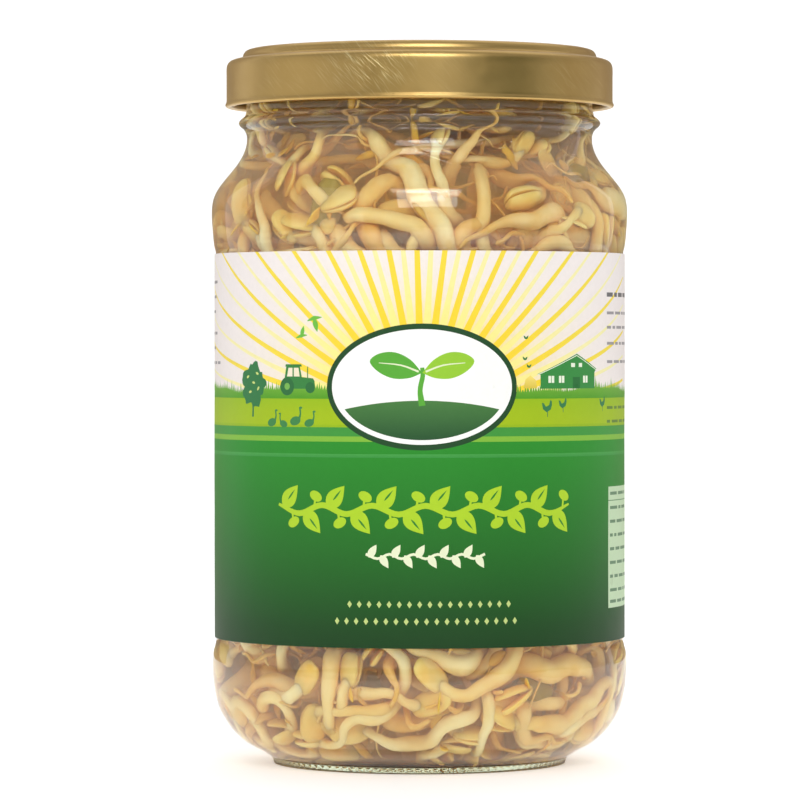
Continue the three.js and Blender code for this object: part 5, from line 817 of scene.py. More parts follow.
[0,93,102,-225,132,1160,-218,126,1130,-210,105,1111,-198,94,1104,-184,82,1102,-172,69,1100,-161,55,1097,-151,41,1097,-138,30,1091,-125,20,1083,-113,8,1076,-102,-4,1070,-91,-17,1063,-81,-28,1054,-71,-33,1039,-59,-44,1029,-49,-58,1020,-39,-68,1008,-29,-78,995,-21,-87,980],
[0,84,112,-228,-165,466,-199,-147,471,-180,-128,460,-164,-103,462,-141,-92,475,-118,-90,492,-97,-76,505,-83,-56,521,-62,-51,539,-34,-48,548,-7,-37,549,12,-16,553,25,9,558,48,22,570,64,46,574,82,67,565,103,82,556,125,99,550,136,122,538,143,144,522],
[0,99,98,-76,-201,489,-78,-202,519,-83,-196,547,-90,-178,564,-91,-153,567,-90,-134,583,-99,-112,589,-114,-94,581,-136,-85,574,-160,-86,569,-178,-88,552,-184,-97,530,-195,-114,516,-208,-135,518,-215,-157,511,-212,-173,509,-208,-186,514,-203,-199,520,-195,-210,527,-187,-218,538],
[0,82,107,127,222,273,122,191,261,116,172,240,121,152,226,133,132,219,150,114,217,168,101,226,188,90,237,210,88,248,222,93,269,229,96,292,240,104,313,236,108,337,220,115,356,200,125,366,179,139,368,156,145,359,131,146,361,109,137,370,88,125,361],
[0,92,105,8,224,721,17,252,709,34,275,714,45,291,714,53,306,705,64,314,692,72,312,675,75,311,657,75,311,639,74,310,620,70,300,605,63,286,594,58,274,580,56,263,565,50,250,553,40,229,543,32,212,529,23,203,508,13,196,486,9,178,470],
[0,121,109,-59,-290,252,-68,-258,250,-55,-232,256,-64,-204,253,-89,-187,251,-115,-184,238,-140,-174,227,-155,-157,208,-170,-136,195,-185,-117,178,-211,-107,167,-241,-102,171,-266,-90,158,-286,-75,145,-307,-57,134,-309,-44,122,-304,-27,118,-314,-14,109,-320,1,107,-322,18,109],
[0,86,93,-269,-93,768,-255,-70,778,-243,-46,789,-235,-20,786,-235,4,773,-225,26,759,-211,47,751,-200,71,744,-186,93,734,-181,116,720,-178,143,716,-169,170,716,-154,192,722,-142,215,728,-125,237,733,-123,260,743,-117,280,756,-106,299,767,-92,315,779,-76,322,795],
[0,105,111,100,145,156,106,112,158,103,84,167,112,64,167,126,49,162,143,38,155,158,26,146,171,10,142,183,-8,143,188,-28,148,195,-48,144,208,-60,130,208,-82,127,213,-99,140,226,-115,145,231,-139,151,247,-157,155,259,-180,151,259,-203,143,245,-223,140],
[0,85,95,-54,311,602,-25,313,594,0,299,592,12,288,593,20,276,598,28,263,603,36,251,607,44,238,611,52,225,616,59,212,621,63,199,628,68,185,631,79,174,636,89,161,637,91,147,645,99,127,662,103,101,673,106,74,681,114,52,696,118,26,705],
[0,114,101,223,222,417,231,211,389,237,202,362,228,189,337,221,169,318,220,139,311,201,118,319,198,95,336,189,70,346,175,55,366,167,49,392,162,49,421,153,42,447,134,40,469,121,35,494,112,29,514,103,20,532,92,5,546,80,-3,563,64,-15,574],
[0,88,102,-222,-72,178,-234,-67,148,-237,-43,130,-221,-23,118,-207,-1,110,-191,17,95,-169,35,96,-150,55,101,-133,77,100,-120,101,105,-102,120,111,-91,146,112,-87,172,104,-77,197,102,-59,217,99,-50,240,96,-48,265,93,-41,289,91,-23,305,83,1,308,84],
[0,123,110,-22,-67,606,-39,-37,604,-43,-12,619,-57,-2,642,-80,-3,658,-98,-10,677,-117,-19,697,-128,-33,718,-138,-44,742,-154,-61,759,-171,-69,779,-190,-80,797,-208,-85,819,-222,-100,838,-234,-116,858,-246,-118,869,-251,-117,885,-257,-123,900,-264,-132,912,-270,-145,920],
[0,100,109,17,23,1112,39,47,1116,53,71,1126,68,86,1126,84,98,1119,100,106,1106,118,113,1098,137,126,1100,155,134,1091,166,139,1072,176,151,1057,194,155,1045,210,158,1032,226,161,1017,241,166,1003,256,173,988,270,171,971,283,167,953,294,163,934,297,153,914],
[0,80,88,-132,-143,352,-106,-148,344,-78,-144,342,-59,-133,331,-50,-119,314,-42,-98,305,-34,-78,295,-23,-64,279,-10,-48,265,4,-34,252,21,-23,239,43,-14,233,61,3,232,81,10,220,102,13,208,126,13,203,149,21,204,173,18,204,196,11,206,219,5,208],
[0,118,107,-21,30,579,-35,39,607,-49,46,632,-63,50,646,-81,53,658,-101,58,663,-122,58,667,-142,57,673,-160,63,683,-175,77,690,-192,85,700,-209,89,712,-221,94,729,-231,98,747,-245,108,759,-254,117,769,-264,122,781,-275,120,793,-289,124,800,-302,130,807],
[0,89,95,-223,-136,828,-253,-136,834,-270,-135,857,-278,-141,872,-288,-145,885,-289,-146,903,-288,-144,921,-277,-133,932,-274,-117,938,-265,-102,943,-251,-91,945,-236,-86,933,-229,-83,917,-226,-83,900,-221,-75,885,-225,-65,867,-237,-68,849,-254,-77,843,-273,-86,843,-292,-92,849],
[0,85,95,-156,86,907,-176,99,924,-186,120,941,-178,146,955,-152,161,952,-126,162,940,-111,147,919,-114,128,899,-124,104,886,-151,97,877,-177,110,882,-184,137,892,-172,154,913,-146,162,924,-121,163,910,-112,173,898,-104,170,883,-100,158,870,-104,143,863,-112,131,854],
[0,111,109,-197,246,191,-186,221,211,-161,211,223,-150,206,235,-146,198,250,-150,188,264,-161,177,273,-172,169,284,-178,170,301,-185,180,314,-201,182,320,-215,177,331,-231,181,337,-249,183,334,-263,183,323,-271,177,309,-278,172,294,-281,169,278,-282,170,260,-286,165,244],
[0,85,104,179,149,650,183,129,675,193,116,699,198,113,725,214,116,747,235,135,755,240,160,745,236,179,725,218,193,709,192,198,703,167,190,698,151,167,696,150,142,708,159,130,732,174,131,754,189,138,767,201,153,774,205,173,772,204,192,764,197,205,750],
[0,91,112,-73,-304,464,-50,-302,438,-38,-288,415,-29,-275,404,-23,-260,393,-23,-247,378,-19,-236,362,-15,-221,350,-16,-207,336,-20,-191,325,-23,-180,310,-27,-167,295,-23,-156,279,-13,-149,263,-9,-142,246,1,-133,229,7,-115,219,10,-97,210,20,-86,195,29,-78,177],
[0,92,110,85,52,489,57,35,498,29,25,499,2,25,491,-20,34,475,-45,30,464,-71,37,453,-84,54,434,-100,68,416,-115,88,403,-127,113,395,-125,134,374,-129,136,345,-128,154,322,-126,182,313,-131,202,298,-138,220,279,-140,246,271,-135,271,263,-129,291,247],
[0,90,106,246,-46,677,261,-32,651,263,-2,646,260,16,650,250,27,660,243,33,677,237,46,687,231,63,691,220,72,703,209,72,718,201,73,733,195,74,750,187,74,766,178,78,781,168,81,795,152,76,813,142,75,833,129,75,853,128,69,876,124,55,894],
[0,115,90,-242,-12,130,-243,-1,156,-260,2,179,-279,4,196,-283,21,216,-280,42,231,-273,63,245,-264,81,261,-259,93,284,-263,97,311,-277,107,331,-286,119,353,-279,134,374,-264,153,386,-262,173,403,-263,182,415,-263,192,426,-260,200,438,-256,208,450,-253,212,464],
[0,92,103,-276,103,1012,-259,85,991,-239,77,971,-220,65,963,-197,59,958,-175,50,955,-154,44,944,-133,34,935,-116,17,931,-96,4,925,-78,-8,913,-71,-24,895,-53,-33,881,-37,-44,866,-30,-58,848,-21,-66,829,-10,-67,809,0,-70,790,10,-71,771,14,-79,750],
[0,118,109,-196,141,443,-167,126,440,-142,111,440,-130,90,431,-132,67,419,-130,49,401,-135,27,389,-146,7,378,-153,-16,370,-160,-33,351,-171,-46,332,-191,-58,321,-204,-75,307,-214,-87,285,-236,-92,273,-260,-96,275,-283,-98,268,-307,-99,262,-317,-88,244,-318,-88,219],
[0,98,90,-49,164,905,-72,172,918,-100,177,922,-116,185,919,-132,187,909,-147,179,902,-153,163,893,-163,157,880,-170,152,864,-169,145,847,-170,132,835,-172,117,825,-170,108,809,-161,99,796,-154,87,785,-153,71,772,-151,57,757,-149,44,742,-148,30,728,-148,14,717],
[0,123,110,-27,-312,279,-23,-310,246,-9,-322,222,12,-322,213,32,-318,208,50,-315,197,71,-310,193,86,-300,205,88,-279,208,99,-262,217,94,-243,228,92,-222,235,98,-207,249,106,-192,263,108,-173,273,106,-159,282,112,-147,291,116,-133,298,119,-120,306,124,-107,313],
[0,80,102,-66,307,567,-38,303,552,-26,284,532,-29,275,520,-34,270,506,-37,257,498,-41,247,487,-50,241,477,-63,235,470,-76,229,466,-89,222,462,-104,219,458,-119,221,457,-133,227,457,-148,232,457,-174,230,460,-198,218,463,-223,213,459,-248,205,456,-269,194,447],
[0,94,103,107,199,679,93,227,688,71,242,699,63,247,716,57,242,734,61,240,753,60,240,771,64,236,790,62,236,808,59,236,827,55,241,845,51,251,861,47,250,879,42,252,899,26,260,908,19,271,931,28,289,947,23,309,962,8,323,975,-5,330,995],
[0,105,91,-248,-89,1164,-235,-96,1141,-213,-93,1121,-193,-98,1110,-173,-108,1103,-152,-120,1101,-135,-130,1089,-120,-140,1073,-103,-140,1056,-87,-130,1041,-72,-124,1024,-57,-127,1006,-47,-120,985,-37,-109,967,-23,-102,949,-15,-101,927,-7,-88,910,1,-73,894,4,-58,878,6,-38,868],
[0,84,105,-6,-11,815,17,-10,791,25,3,766,13,17,745,-8,33,739,-33,43,737,-52,60,727,-78,66,722,-101,78,716,-119,97,706,-141,109,697,-164,119,687,-181,133,671,-198,147,656,-214,166,646,-232,182,633,-251,187,614,-266,193,592,-264,199,566,-261,204,540],
[0,77,98,-38,246,428,-59,268,426,-73,291,437,-74,304,447,-69,313,459,-58,315,470,-44,314,478,-36,319,490,-32,320,506,-22,321,518,-10,321,527,3,315,533,16,309,541,28,307,550,38,304,561,54,297,572,72,295,579,86,291,592,101,289,605,116,287,618],
[0,84,97,291,-71,1014,280,-100,1014,279,-123,997,272,-129,981,256,-134,972,239,-137,976,222,-143,976,208,-154,976,192,-161,977,176,-169,976,162,-178,982,148,-188,982,133,-198,980,119,-208,979,106,-220,977,98,-234,977,85,-242,974,71,-248,972,57,-254,976,43,-261,969],
[0,81,97,58,246,133,34,258,118,16,281,117,-5,290,117,-25,302,113,-41,318,125,-53,319,146,-53,310,169,-46,292,185,-36,270,182,-32,247,178,-28,224,169,-9,211,160,7,206,142,10,210,117,-4,212,100,-25,214,93,-39,230,86,-51,247,84,-66,259,93],
[0,89,100,-98,32,904,-68,41,901,-40,38,906,-21,34,921,-15,25,942,-6,20,964,-12,9,985,-31,-4,993,-53,-7,1000,-74,-1,1009,-89,18,1007,-107,32,1004,-117,49,992,-111,67,978,-105,84,963,-90,97,957,-71,100,952,-51,101,951,-33,98,957,-15,98,967],
[0,85,92,19,-106,446,4,-99,422,-12,-98,398,-36,-90,383,-65,-87,378,-92,-90,366,-118,-105,363,-147,-110,363,-176,-112,360,-205,-117,354,-233,-108,348,-257,-93,340,-272,-76,320,-290,-70,296,-309,-65,275,-318,-61,264,-324,-53,253,-326,-47,239,-328,-40,227,-330,-33,214],
[0,82,100,-93,-93,337,-117,-111,330,-141,-119,314,-148,-122,292,-142,-123,271,-127,-124,254,-112,-115,241,-92,-104,237,-81,-85,236,-69,-66,235,-54,-53,244,-38,-47,259,-35,-39,280,-45,-31,299,-61,-27,313,-83,-30,328,-108,-38,334,-134,-36,334,-157,-32,321,-176,-37,303],
[0,110,87,-234,125,267,-214,117,250,-191,105,238,-166,96,241,-140,92,247,-125,79,268,-131,69,294,-153,53,298,-180,52,300,-204,64,301,-222,70,281,-228,81,256,-210,86,234,-196,68,218,-173,54,213,-153,46,225,-150,34,246,-161,25,265,-181,23,279,-205,25,284],
[0,83,104,91,-191,60,91,-222,65,97,-250,61,102,-275,78,113,-291,101,112,-292,131,105,-275,155,103,-262,181,96,-237,197,100,-207,199,86,-182,190,62,-170,176,51,-170,147,27,-174,130,5,-193,122,2,-208,118,0,-217,107,-4,-227,97,-9,-242,95,-9,-256,98],
[0,82,93,268,-167,274,252,-188,264,244,-217,262,224,-237,267,201,-254,267,178,-269,257,153,-283,252,128,-295,264,104,-303,278,78,-290,289,52,-289,303,32,-303,320,9,-310,337,-13,-315,355,-35,-317,373,-56,-312,389,-75,-309,405,-94,-307,422,-113,-305,439,-132,-302,455],
[0,89,98,269,165,876,245,149,876,221,140,890,207,126,887,196,115,875,193,104,859,195,97,841,203,94,824,216,95,809,234,100,802,252,108,805,264,114,819,275,116,834,292,117,845,299,116,864,293,113,882,281,105,892,264,96,895,248,88,894,234,78,890],
[0,88,103,113,-162,163,86,-146,170,58,-141,175,43,-142,186,31,-141,200,24,-134,216,23,-132,235,15,-132,252,3,-126,266,-7,-123,281,-13,-121,299,-13,-120,318,-13,-119,336,-14,-124,355,-15,-119,373,-13,-118,398,-9,-121,422,-1,-120,446,12,-119,467,20,-124,490],
[0,112,88,317,-7,738,294,-3,725,267,-1,715,248,4,709,228,-2,714,208,-7,719,187,-8,723,168,3,721,158,21,727,140,31,736,120,29,743,101,30,752,86,32,768,69,30,781,61,33,800,46,39,813,32,44,826,17,45,839,5,50,854,-6,56,869],
[0,82,111,62,211,203,44,222,230,36,224,258,35,218,276,39,206,290,47,196,305,50,189,322,51,181,340,53,167,353,60,152,363,66,138,374,72,130,391,78,122,408,82,113,424,90,104,439,92,84,453,99,74,473,107,65,494,108,51,512,114,37,530],
[0,90,110,272,155,695,251,178,681,232,190,662,214,199,661,198,208,668,186,217,682,177,222,698,171,221,718,171,214,736,178,214,755,183,212,774,186,206,793,193,199,810,202,192,825,211,184,841,220,174,863,229,168,887,242,159,908,256,152,928,264,147,952],
[0,111,105,-99,162,1131,-120,137,1130,-140,119,1119,-152,92,1115,-151,64,1122,-143,38,1131,-126,18,1143,-102,6,1153,-73,3,1159,-46,13,1162,-21,25,1156,-2,44,1146,9,66,1131,11,82,1106,-7,96,1087,-14,96,1073,-18,100,1059,-29,101,1048,-40,98,1038,-53,93,1032],
[0,86,108,-98,-109,712,-113,-86,692,-130,-63,689,-136,-46,688,-143,-29,686,-147,-12,690,-146,5,696,-142,21,703,-138,34,713,-132,45,726,-122,54,738,-108,61,747,-93,65,756,-77,66,764,-61,62,770,-37,53,772,-14,44,772,6,30,769,26,18,761,41,2,748],
[0,119,95,147,105,285,137,100,257,117,92,238,99,83,233,86,69,234,77,55,244,72,39,255,70,34,274,74,27,292,86,28,307,93,36,324,91,52,336,97,70,340,98,89,335,100,102,321,95,114,298,81,112,276,64,96,265,49,76,260,26,65,258],
[0,93,108,88,76,301,118,59,303,134,38,291,155,25,294,172,12,306,192,3,315,211,-1,330,229,-3,346,245,-8,364,259,-9,384,274,1,401,285,18,415,297,34,428,302,51,446,295,65,465,299,74,480,307,83,493,311,96,505,311,109,517,307,122,527],
[0,113,108,-31,-182,869,-60,-199,874,-86,-208,882,-101,-212,895,-113,-210,911,-117,-201,927,-122,-198,946,-127,-189,962,-125,-175,976,-119,-158,984,-109,-142,988,-95,-129,986,-83,-115,979,-75,-101,969,-65,-93,953,-62,-88,940,-63,-85,926,-65,-86,911,-68,-90,898,-75,-96,886],
[0,78,108,-33,-205,558,-36,-210,591,-43,-221,617,-54,-222,638,-73,-218,654,-88,-205,668,-96,-183,676,-111,-164,675,-115,-140,670,-107,-118,662,-94,-102,649,-76,-92,636,-53,-87,629,-29,-93,624,-11,-108,617,9,-124,621,22,-144,630,32,-166,638,37,-185,654,33,-201,674],
[0,96,92,210,-225,391,186,-209,387,163,-192,385,153,-182,380,147,-171,370,143,-165,357,140,-155,346,139,-143,337,141,-132,327,147,-124,315,156,-117,305,166,-110,295,177,-105,287,186,-101,275,190,-100,260,200,-92,243,215,-89,229,236,-86,224,253,-82,212,268,-84,199],
[0,103,88,-28,-124,258,-35,-101,272,-52,-78,277,-56,-60,280,-60,-42,276,-57,-24,269,-50,-11,258,-42,-2,244,-33,12,235,-23,24,224,-16,28,207,-10,30,190,1,33,174,11,35,159,22,43,146,35,46,130,45,42,112,53,45,94,66,45,79,82,42,66],
[0,79,108,83,-186,729,73,-158,711,73,-142,687,84,-121,670,107,-111,655,137,-110,653,163,-123,646,179,-147,641,188,-175,648,183,-201,660,174,-223,678,159,-238,699,147,-255,719,132,-271,739,112,-283,757,93,-292,770,77,-303,785,63,-315,801,48,-327,817,29,-330,832],
[0,115,102,-101,-185,1077,-72,-198,1083,-50,-214,1074,-34,-224,1061,-18,-227,1045,-6,-225,1026,-5,-227,1003,-12,-227,981,-23,-219,963,-39,-209,950,-58,-198,945,-78,-187,945,-97,-175,942,-117,-164,942,-137,-155,946,-160,-147,947,-181,-137,947,-199,-121,947,-218,-107,946,-238,-97,953],
[0,122,93,312,53,575,313,33,555,310,4,552,315,-14,531,317,-14,503,312,2,481,297,17,463,278,36,458,261,56,455,244,77,455,228,95,468,217,114,485,216,135,503,211,151,524,203,173,539,198,190,553,193,205,568,185,218,586,181,230,604,176,242,622],
[0,109,108,-45,112,669,-46,144,677,-37,171,682,-37,191,672,-38,201,653,-46,205,633,-43,199,612,-44,182,598,-44,160,596,-43,140,606,-55,124,615,-69,123,632,-77,124,652,-83,137,669,-88,157,676,-95,174,671,-90,190,662,-81,198,647,-85,201,629,-92,192,613],
[0,112,85,155,-39,982,164,-32,1005,171,-18,1030,169,-12,1045,164,-5,1059,155,2,1071,143,9,1081,130,15,1088,115,22,1091,99,27,1091,84,32,1087,70,37,1079,58,39,1067,52,42,1052,47,47,1037,42,48,1013,49,47,988,69,50,972,93,58,970,118,58,968],
[0,97,86,47,202,959,37,227,963,24,250,950,5,258,929,-11,246,908,-29,240,886,-49,224,870,-62,203,855,-79,181,846,-92,160,830,-98,138,811,-105,115,795,-117,89,785,-117,61,777,-114,31,775,-120,16,773,-122,0,771,-126,-16,769,-126,-33,767,-123,-49,765],
[0,110,102,-63,-92,174,-35,-103,182,-10,-111,196,8,-113,198,26,-109,201,44,-102,198,60,-96,191,78,-94,185,97,-93,184,115,-91,187,133,-90,192,150,-97,198,165,-107,203,181,-109,214,198,-105,221,223,-109,228,247,-118,236,268,-129,249,282,-142,267,293,-153,288],
[0,109,100,32,-150,560,43,-124,547,52,-99,537,64,-84,520,82,-85,501,90,-84,477,90,-81,451,92,-83,426,98,-76,402,106,-62,382,115,-51,361,131,-39,345,141,-24,326,149,-13,306,157,1,285,166,20,274,175,42,268,184,63,262,189,87,258,199,108,253],
[0,94,109,-116,291,572,-145,275,567,-161,258,550,-159,249,534,-154,241,518,-158,227,506,-167,217,494,-167,214,475,-160,208,459,-150,208,443,-139,209,429,-129,215,414,-119,216,398,-114,212,381,-105,206,366,-95,203,344,-91,204,321,-85,217,300,-75,237,290,-58,248,277],
[0,81,89,244,-101,1153,239,-108,1127,228,-121,1103,210,-132,1091,188,-142,1090,167,-152,1093,148,-166,1090,130,-181,1084,108,-190,1081,86,-199,1082,66,-211,1079,45,-223,1075,24,-233,1072,4,-246,1067,-15,-260,1065,-33,-276,1066,-53,-283,1053,-71,-290,1040,-88,-298,1025,-105,-304,1010],
[0,112,91,-103,-164,1016,-76,-162,1026,-54,-146,1035,-31,-131,1035,-10,-120,1023,8,-106,1007,24,-91,991,47,-79,980,68,-67,969,83,-49,954,103,-32,945,129,-23,944,154,-13,940,179,-3,942,204,8,942,230,17,939,253,30,940,277,40,949,297,40,967,311,40,990],
[0,116,92,-28,204,433,-54,211,424,-77,216,407,-86,218,394,-89,225,380,-93,235,370,-98,242,357,-103,248,343,-101,256,329,-95,261,315,-96,270,302,-99,279,290,-98,285,276,-98,294,263,-94,303,250,-84,312,237,-69,314,227,-53,315,217,-40,324,208,-26,330,200],
[0,86,89,81,-36,366,82,-58,348,66,-80,336,42,-90,332,16,-89,335,-5,-97,349,-27,-101,361,-45,-111,376,-67,-109,390,-85,-106,409,-107,-99,420,-129,-84,423,-145,-68,435,-156,-56,455,-165,-40,473,-168,-29,482,-171,-17,489,-179,-8,498,-187,2,505,-191,13,512],
[0,120,103,82,154,890,67,160,918,63,176,942,59,176,966,64,166,988,76,151,1005,97,149,1020,118,143,1034,136,125,1040,146,107,1054,160,95,1071,174,85,1090,189,72,1104,203,57,1118,214,43,1136,224,33,1147,238,25,1152,251,16,1159,262,6,1168,272,-3,1178],
[0,84,92,7,82,1009,20,78,1035,35,94,1056,32,107,1083,15,108,1107,-10,105,1122,-37,113,1125,-66,112,1128,-93,109,1115,-107,110,1089,-114,119,1062,-105,141,1044,-81,149,1030,-58,158,1017,-32,171,1019,-13,184,1029,4,188,1047,12,193,1070,11,198,1094,-1,201,1116],
[0,105,93,192,251,791,169,264,780,145,271,764,135,270,745,131,262,724,129,249,707,130,239,687,131,230,667,134,216,650,140,198,638,147,186,621,154,174,604,159,158,590,163,144,572,174,132,558,182,119,544,191,105,532,201,92,521,214,78,512,229,66,508],
[0,106,90,-106,137,756,-92,112,762,-68,102,773,-40,105,778,-16,119,774,-3,143,784,-10,170,778,-21,185,756,-38,182,734,-51,165,715,-64,140,712,-59,112,709,-38,94,717,-18,95,737,2,109,751,18,119,748,30,128,738,38,143,733,39,161,727,29,174,718],
[0,91,106,-26,12,273,1,30,279,16,49,295,20,61,314,19,71,334,18,92,344,18,107,361,21,114,383,22,127,402,20,136,422,19,141,445,27,152,464,43,163,475,52,182,485,66,195,497,81,212,510,95,229,523,113,246,534,133,262,537,152,276,547],
[0,77,94,234,-105,425,214,-120,410,201,-128,385,191,-128,373,182,-123,362,171,-116,353,163,-103,349,159,-89,355,158,-76,362,156,-61,364,154,-49,373,155,-41,387,161,-36,400,168,-36,414,174,-43,427,178,-63,440,175,-86,445,184,-109,442,176,-130,431,163,-139,413],
[0,82,104,90,-254,424,76,-226,417,57,-204,425,42,-197,431,26,-193,436,9,-188,434,-7,-186,429,-24,-181,432,-38,-173,438,-51,-166,446,-66,-159,453,-80,-149,451,-92,-136,451,-103,-125,461,-114,-125,475,-130,-125,494,-143,-125,516,-154,-108,533,-159,-85,542,-159,-69,561],
[0,82,96,-316,4,296,-312,11,326,-288,25,337,-269,28,337,-252,25,332,-238,15,325,-225,3,326,-209,-5,327,-193,-13,328,-175,-13,326,-158,-12,325,-141,-17,328,-124,-20,333,-109,-23,342,-92,-21,343,-65,-19,345,-42,-14,356,-22,-9,372,-2,-6,388,23,-10,396],
[0,117,99,216,201,236,204,201,264,183,193,284,175,196,300,172,203,317,171,208,334,166,214,351,164,225,366,161,234,381,161,236,400,170,241,415,179,249,430,183,252,447,181,261,464,176,266,480,171,270,500,165,275,519,161,279,539,159,284,558,155,289,577],
[0,119,90,-117,3,159,-116,-3,132,-128,-8,106,-130,-17,94,-128,-30,84,-126,-39,73,-130,-52,64,-133,-65,58,-137,-80,58,-142,-94,57,-148,-109,56,-145,-124,56,-142,-137,65,-138,-148,75,-136,-161,83,-131,-178,94,-129,-193,109,-130,-204,126,-131,-212,145,-126,-223,162],
[0,94,102,-125,-208,650,-123,-240,655,-110,-264,646,-89,-284,639,-60,-290,634,-38,-306,622,-10,-307,613,16,-293,607,31,-267,603,30,-237,604,19,-211,612,8,-186,622,1,-158,629,-3,-129,637,-15,-103,642,-24,-89,645,-32,-75,649,-40,-61,654,-48,-47,658,-55,-33,663],
[0,88,94,-78,-152,709,-83,-149,680,-73,-150,652,-49,-150,636,-30,-151,616,-3,-145,606,25,-139,609,46,-131,627,62,-135,651,70,-156,671,60,-178,686,45,-182,712,36,-201,732,19,-227,730,10,-249,716,10,-268,694,-7,-275,673,-19,-268,649,-16,-259,623,2,-248,605],
[0,104,110,-93,32,633,-80,52,610,-68,72,592,-65,75,572,-59,71,554,-59,66,535,-63,64,516,-60,63,496,-57,59,477,-53,62,458,-51,58,438,-55,53,420,-55,46,401,-54,48,381,-45,48,364,-36,45,340,-38,53,317,-35,61,294,-30,67,271,-25,77,249],
[0,79,110,-147,-152,860,-169,-139,838,-194,-139,823,-207,-147,807,-212,-161,791,-217,-181,784,-219,-202,784,-217,-223,788,-211,-241,798,-198,-254,810,-187,-262,826,-175,-271,841,-165,-277,859,-158,-282,879,-144,-292,893,-135,-301,913,-121,-311,931,-103,-305,947,-84,-300,962,-70,-308,981],
[0,102,104,-179,243,818,-173,213,807,-176,190,790,-176,175,767,-167,156,748,-149,150,726,-142,152,699,-136,163,674,-129,171,649,-117,173,624,-103,182,602,-88,194,582,-83,210,560,-81,223,535,-71,240,515,-56,255,513,-51,275,511,-48,292,500,-54,311,495,-53,326,483],
[0,120,104,9,40,933,30,23,951,55,19,964,62,22,988,69,14,1011,60,11,1035,42,10,1054,25,18,1070,5,32,1076,-16,42,1088,-41,45,1091,-66,48,1088,-91,49,1092,-115,59,1089,-134,73,1079,-158,79,1079,-180,86,1082,-203,92,1083,-226,100,1083,-249,106,1080],
[0,89,107,142,-7,1144,141,-27,1117,132,-41,1093,128,-45,1072,125,-43,1051,124,-34,1030,125,-21,1013,128,-3,1001,133,18,996,142,38,994,156,55,995,171,68,1003,184,80,1015,196,88,1032,210,87,1050,217,79,1064,227,71,1076,238,64,1087,245,51,1097,252,35,1099],
[0,84,101,174,12,912,168,11,880,149,23,861,134,35,845,118,54,840,99,71,840,80,87,847,65,106,854,44,115,865,23,129,870,8,145,883,-8,161,894,-22,176,909,-38,188,925,-53,198,941,-61,204,953,-68,208,967,-73,212,981,-76,215,996,-79,217,1011],
[0,79,112,-150,274,292,-132,281,320,-114,303,333,-89,313,334,-64,318,326,-42,320,312,-21,318,295,0,313,279,17,308,258,31,291,242,42,276,223,52,273,197,55,257,176,52,234,160,46,221,138,47,209,124,41,196,112,29,187,102,22,174,91,8,164,85],
[0,110,86,223,8,180,207,-10,193,195,-36,187,181,-54,193,171,-73,185,175,-93,174,169,-115,170,168,-125,149,178,-132,130,187,-151,120,203,-158,105,218,-170,93,240,-173,89,258,-163,100,274,-150,109,284,-137,109,294,-129,115,303,-122,126,310,-115,137,314,-108,150],
[0,82,100,252,-4,1112,258,-34,1119,266,-61,1110,261,-78,1094,260,-88,1072,260,-99,1050,251,-104,1027,232,-99,1011,219,-104,991,207,-100,969,191,-98,951,174,-104,934,165,-108,911,153,-113,891,136,-116,873,123,-115,860,117,-103,847,110,-90,837,100,-76,831,93,-66,818],
[0,77,103,92,213,871,81,201,898,71,201,926,71,203,949,72,214,968,65,226,988,72,242,1003,77,264,1009,76,287,1003,67,301,985,58,316,971,43,326,957,26,328,941,17,327,919,15,307,905,17,288,909,11,269,912,5,254,901,-3,237,898,-13,221,903],
[0,107,93,128,-164,770,125,-135,773,118,-115,793,120,-90,800,117,-65,795,121,-41,804,132,-20,813,151,-7,825,160,16,834,162,39,845,169,56,862,182,77,871,199,89,885,217,105,895,228,125,905,241,140,910,259,145,918,277,150,925,294,151,936,305,144,951],
[0,118,101,103,-71,557,73,-65,561,46,-62,572,31,-73,578,21,-89,581,10,-104,577,-4,-116,579,-18,-127,586,-34,-136,588,-50,-146,591,-65,-158,589,-80,-170,593,-99,-171,595,-116,-179,594,-132,-188,597,-149,-192,600,-167,-195,602,-184,-195,605,-202,-194,605,-219,-193,605],
[0,114,102,121,243,830,117,249,861,121,264,886,118,272,904,113,263,921,117,248,934,126,235,945,129,217,951,123,202,963,121,183,969,126,171,984,130,169,1004,137,169,1021,143,165,1039,143,155,1056,136,137,1068,137,117,1076,143,100,1088,149,82,1097,153,63,1104],
[0,79,105,45,-291,578,75,-303,572,101,-309,561,118,-304,550,134,-295,541,151,-285,540,167,-272,537,173,-253,538,175,-233,534,169,-214,527,156,-200,521,146,-182,522,135,-165,524,122,-149,522,109,-134,526,97,-124,532,83,-117,537,70,-106,541,64,-91,543,54,-78,541],
[0,83,107,155,-273,988,180,-253,991,195,-228,994,191,-210,1001,190,-192,998,187,-173,999,174,-160,1003,160,-149,1011,152,-140,1026,145,-140,1044,138,-146,1060,127,-155,1073,114,-161,1085,104,-172,1097,93,-184,1107,82,-194,1121,71,-206,1135,60,-217,1149,49,-228,1162,37,-238,1177],
[0,90,101,166,47,797,197,44,790,221,29,796,236,10,800,247,-3,818,246,-13,840,234,-27,855,218,-42,866,199,-57,864,191,-76,851,172,-85,839,149,-85,832,126,-80,827,103,-82,818,84,-75,806,58,-74,796,32,-75,789,6,-83,788,-21,-89,783,-46,-93,775],
[0,97,107,250,73,1121,250,39,1124,232,16,1123,222,2,1116,215,-9,1104,209,-19,1090,205,-24,1074,202,-27,1056,201,-25,1038,203,-20,1021,206,-11,1006,209,0,992,215,9,978,220,21,965,226,34,955,237,43,943,242,56,930,244,71,920,250,85,911,260,98,902],
[0,98,87,58,-227,170,65,-253,175,80,-278,175,105,-287,188,122,-285,211,128,-272,236,138,-263,262,159,-272,282,176,-266,304,194,-254,322,209,-238,340,224,-224,360,239,-210,380,256,-194,396,267,-180,418,272,-177,435,279,-171,449,287,-161,461,293,-151,474,299,-142,487],
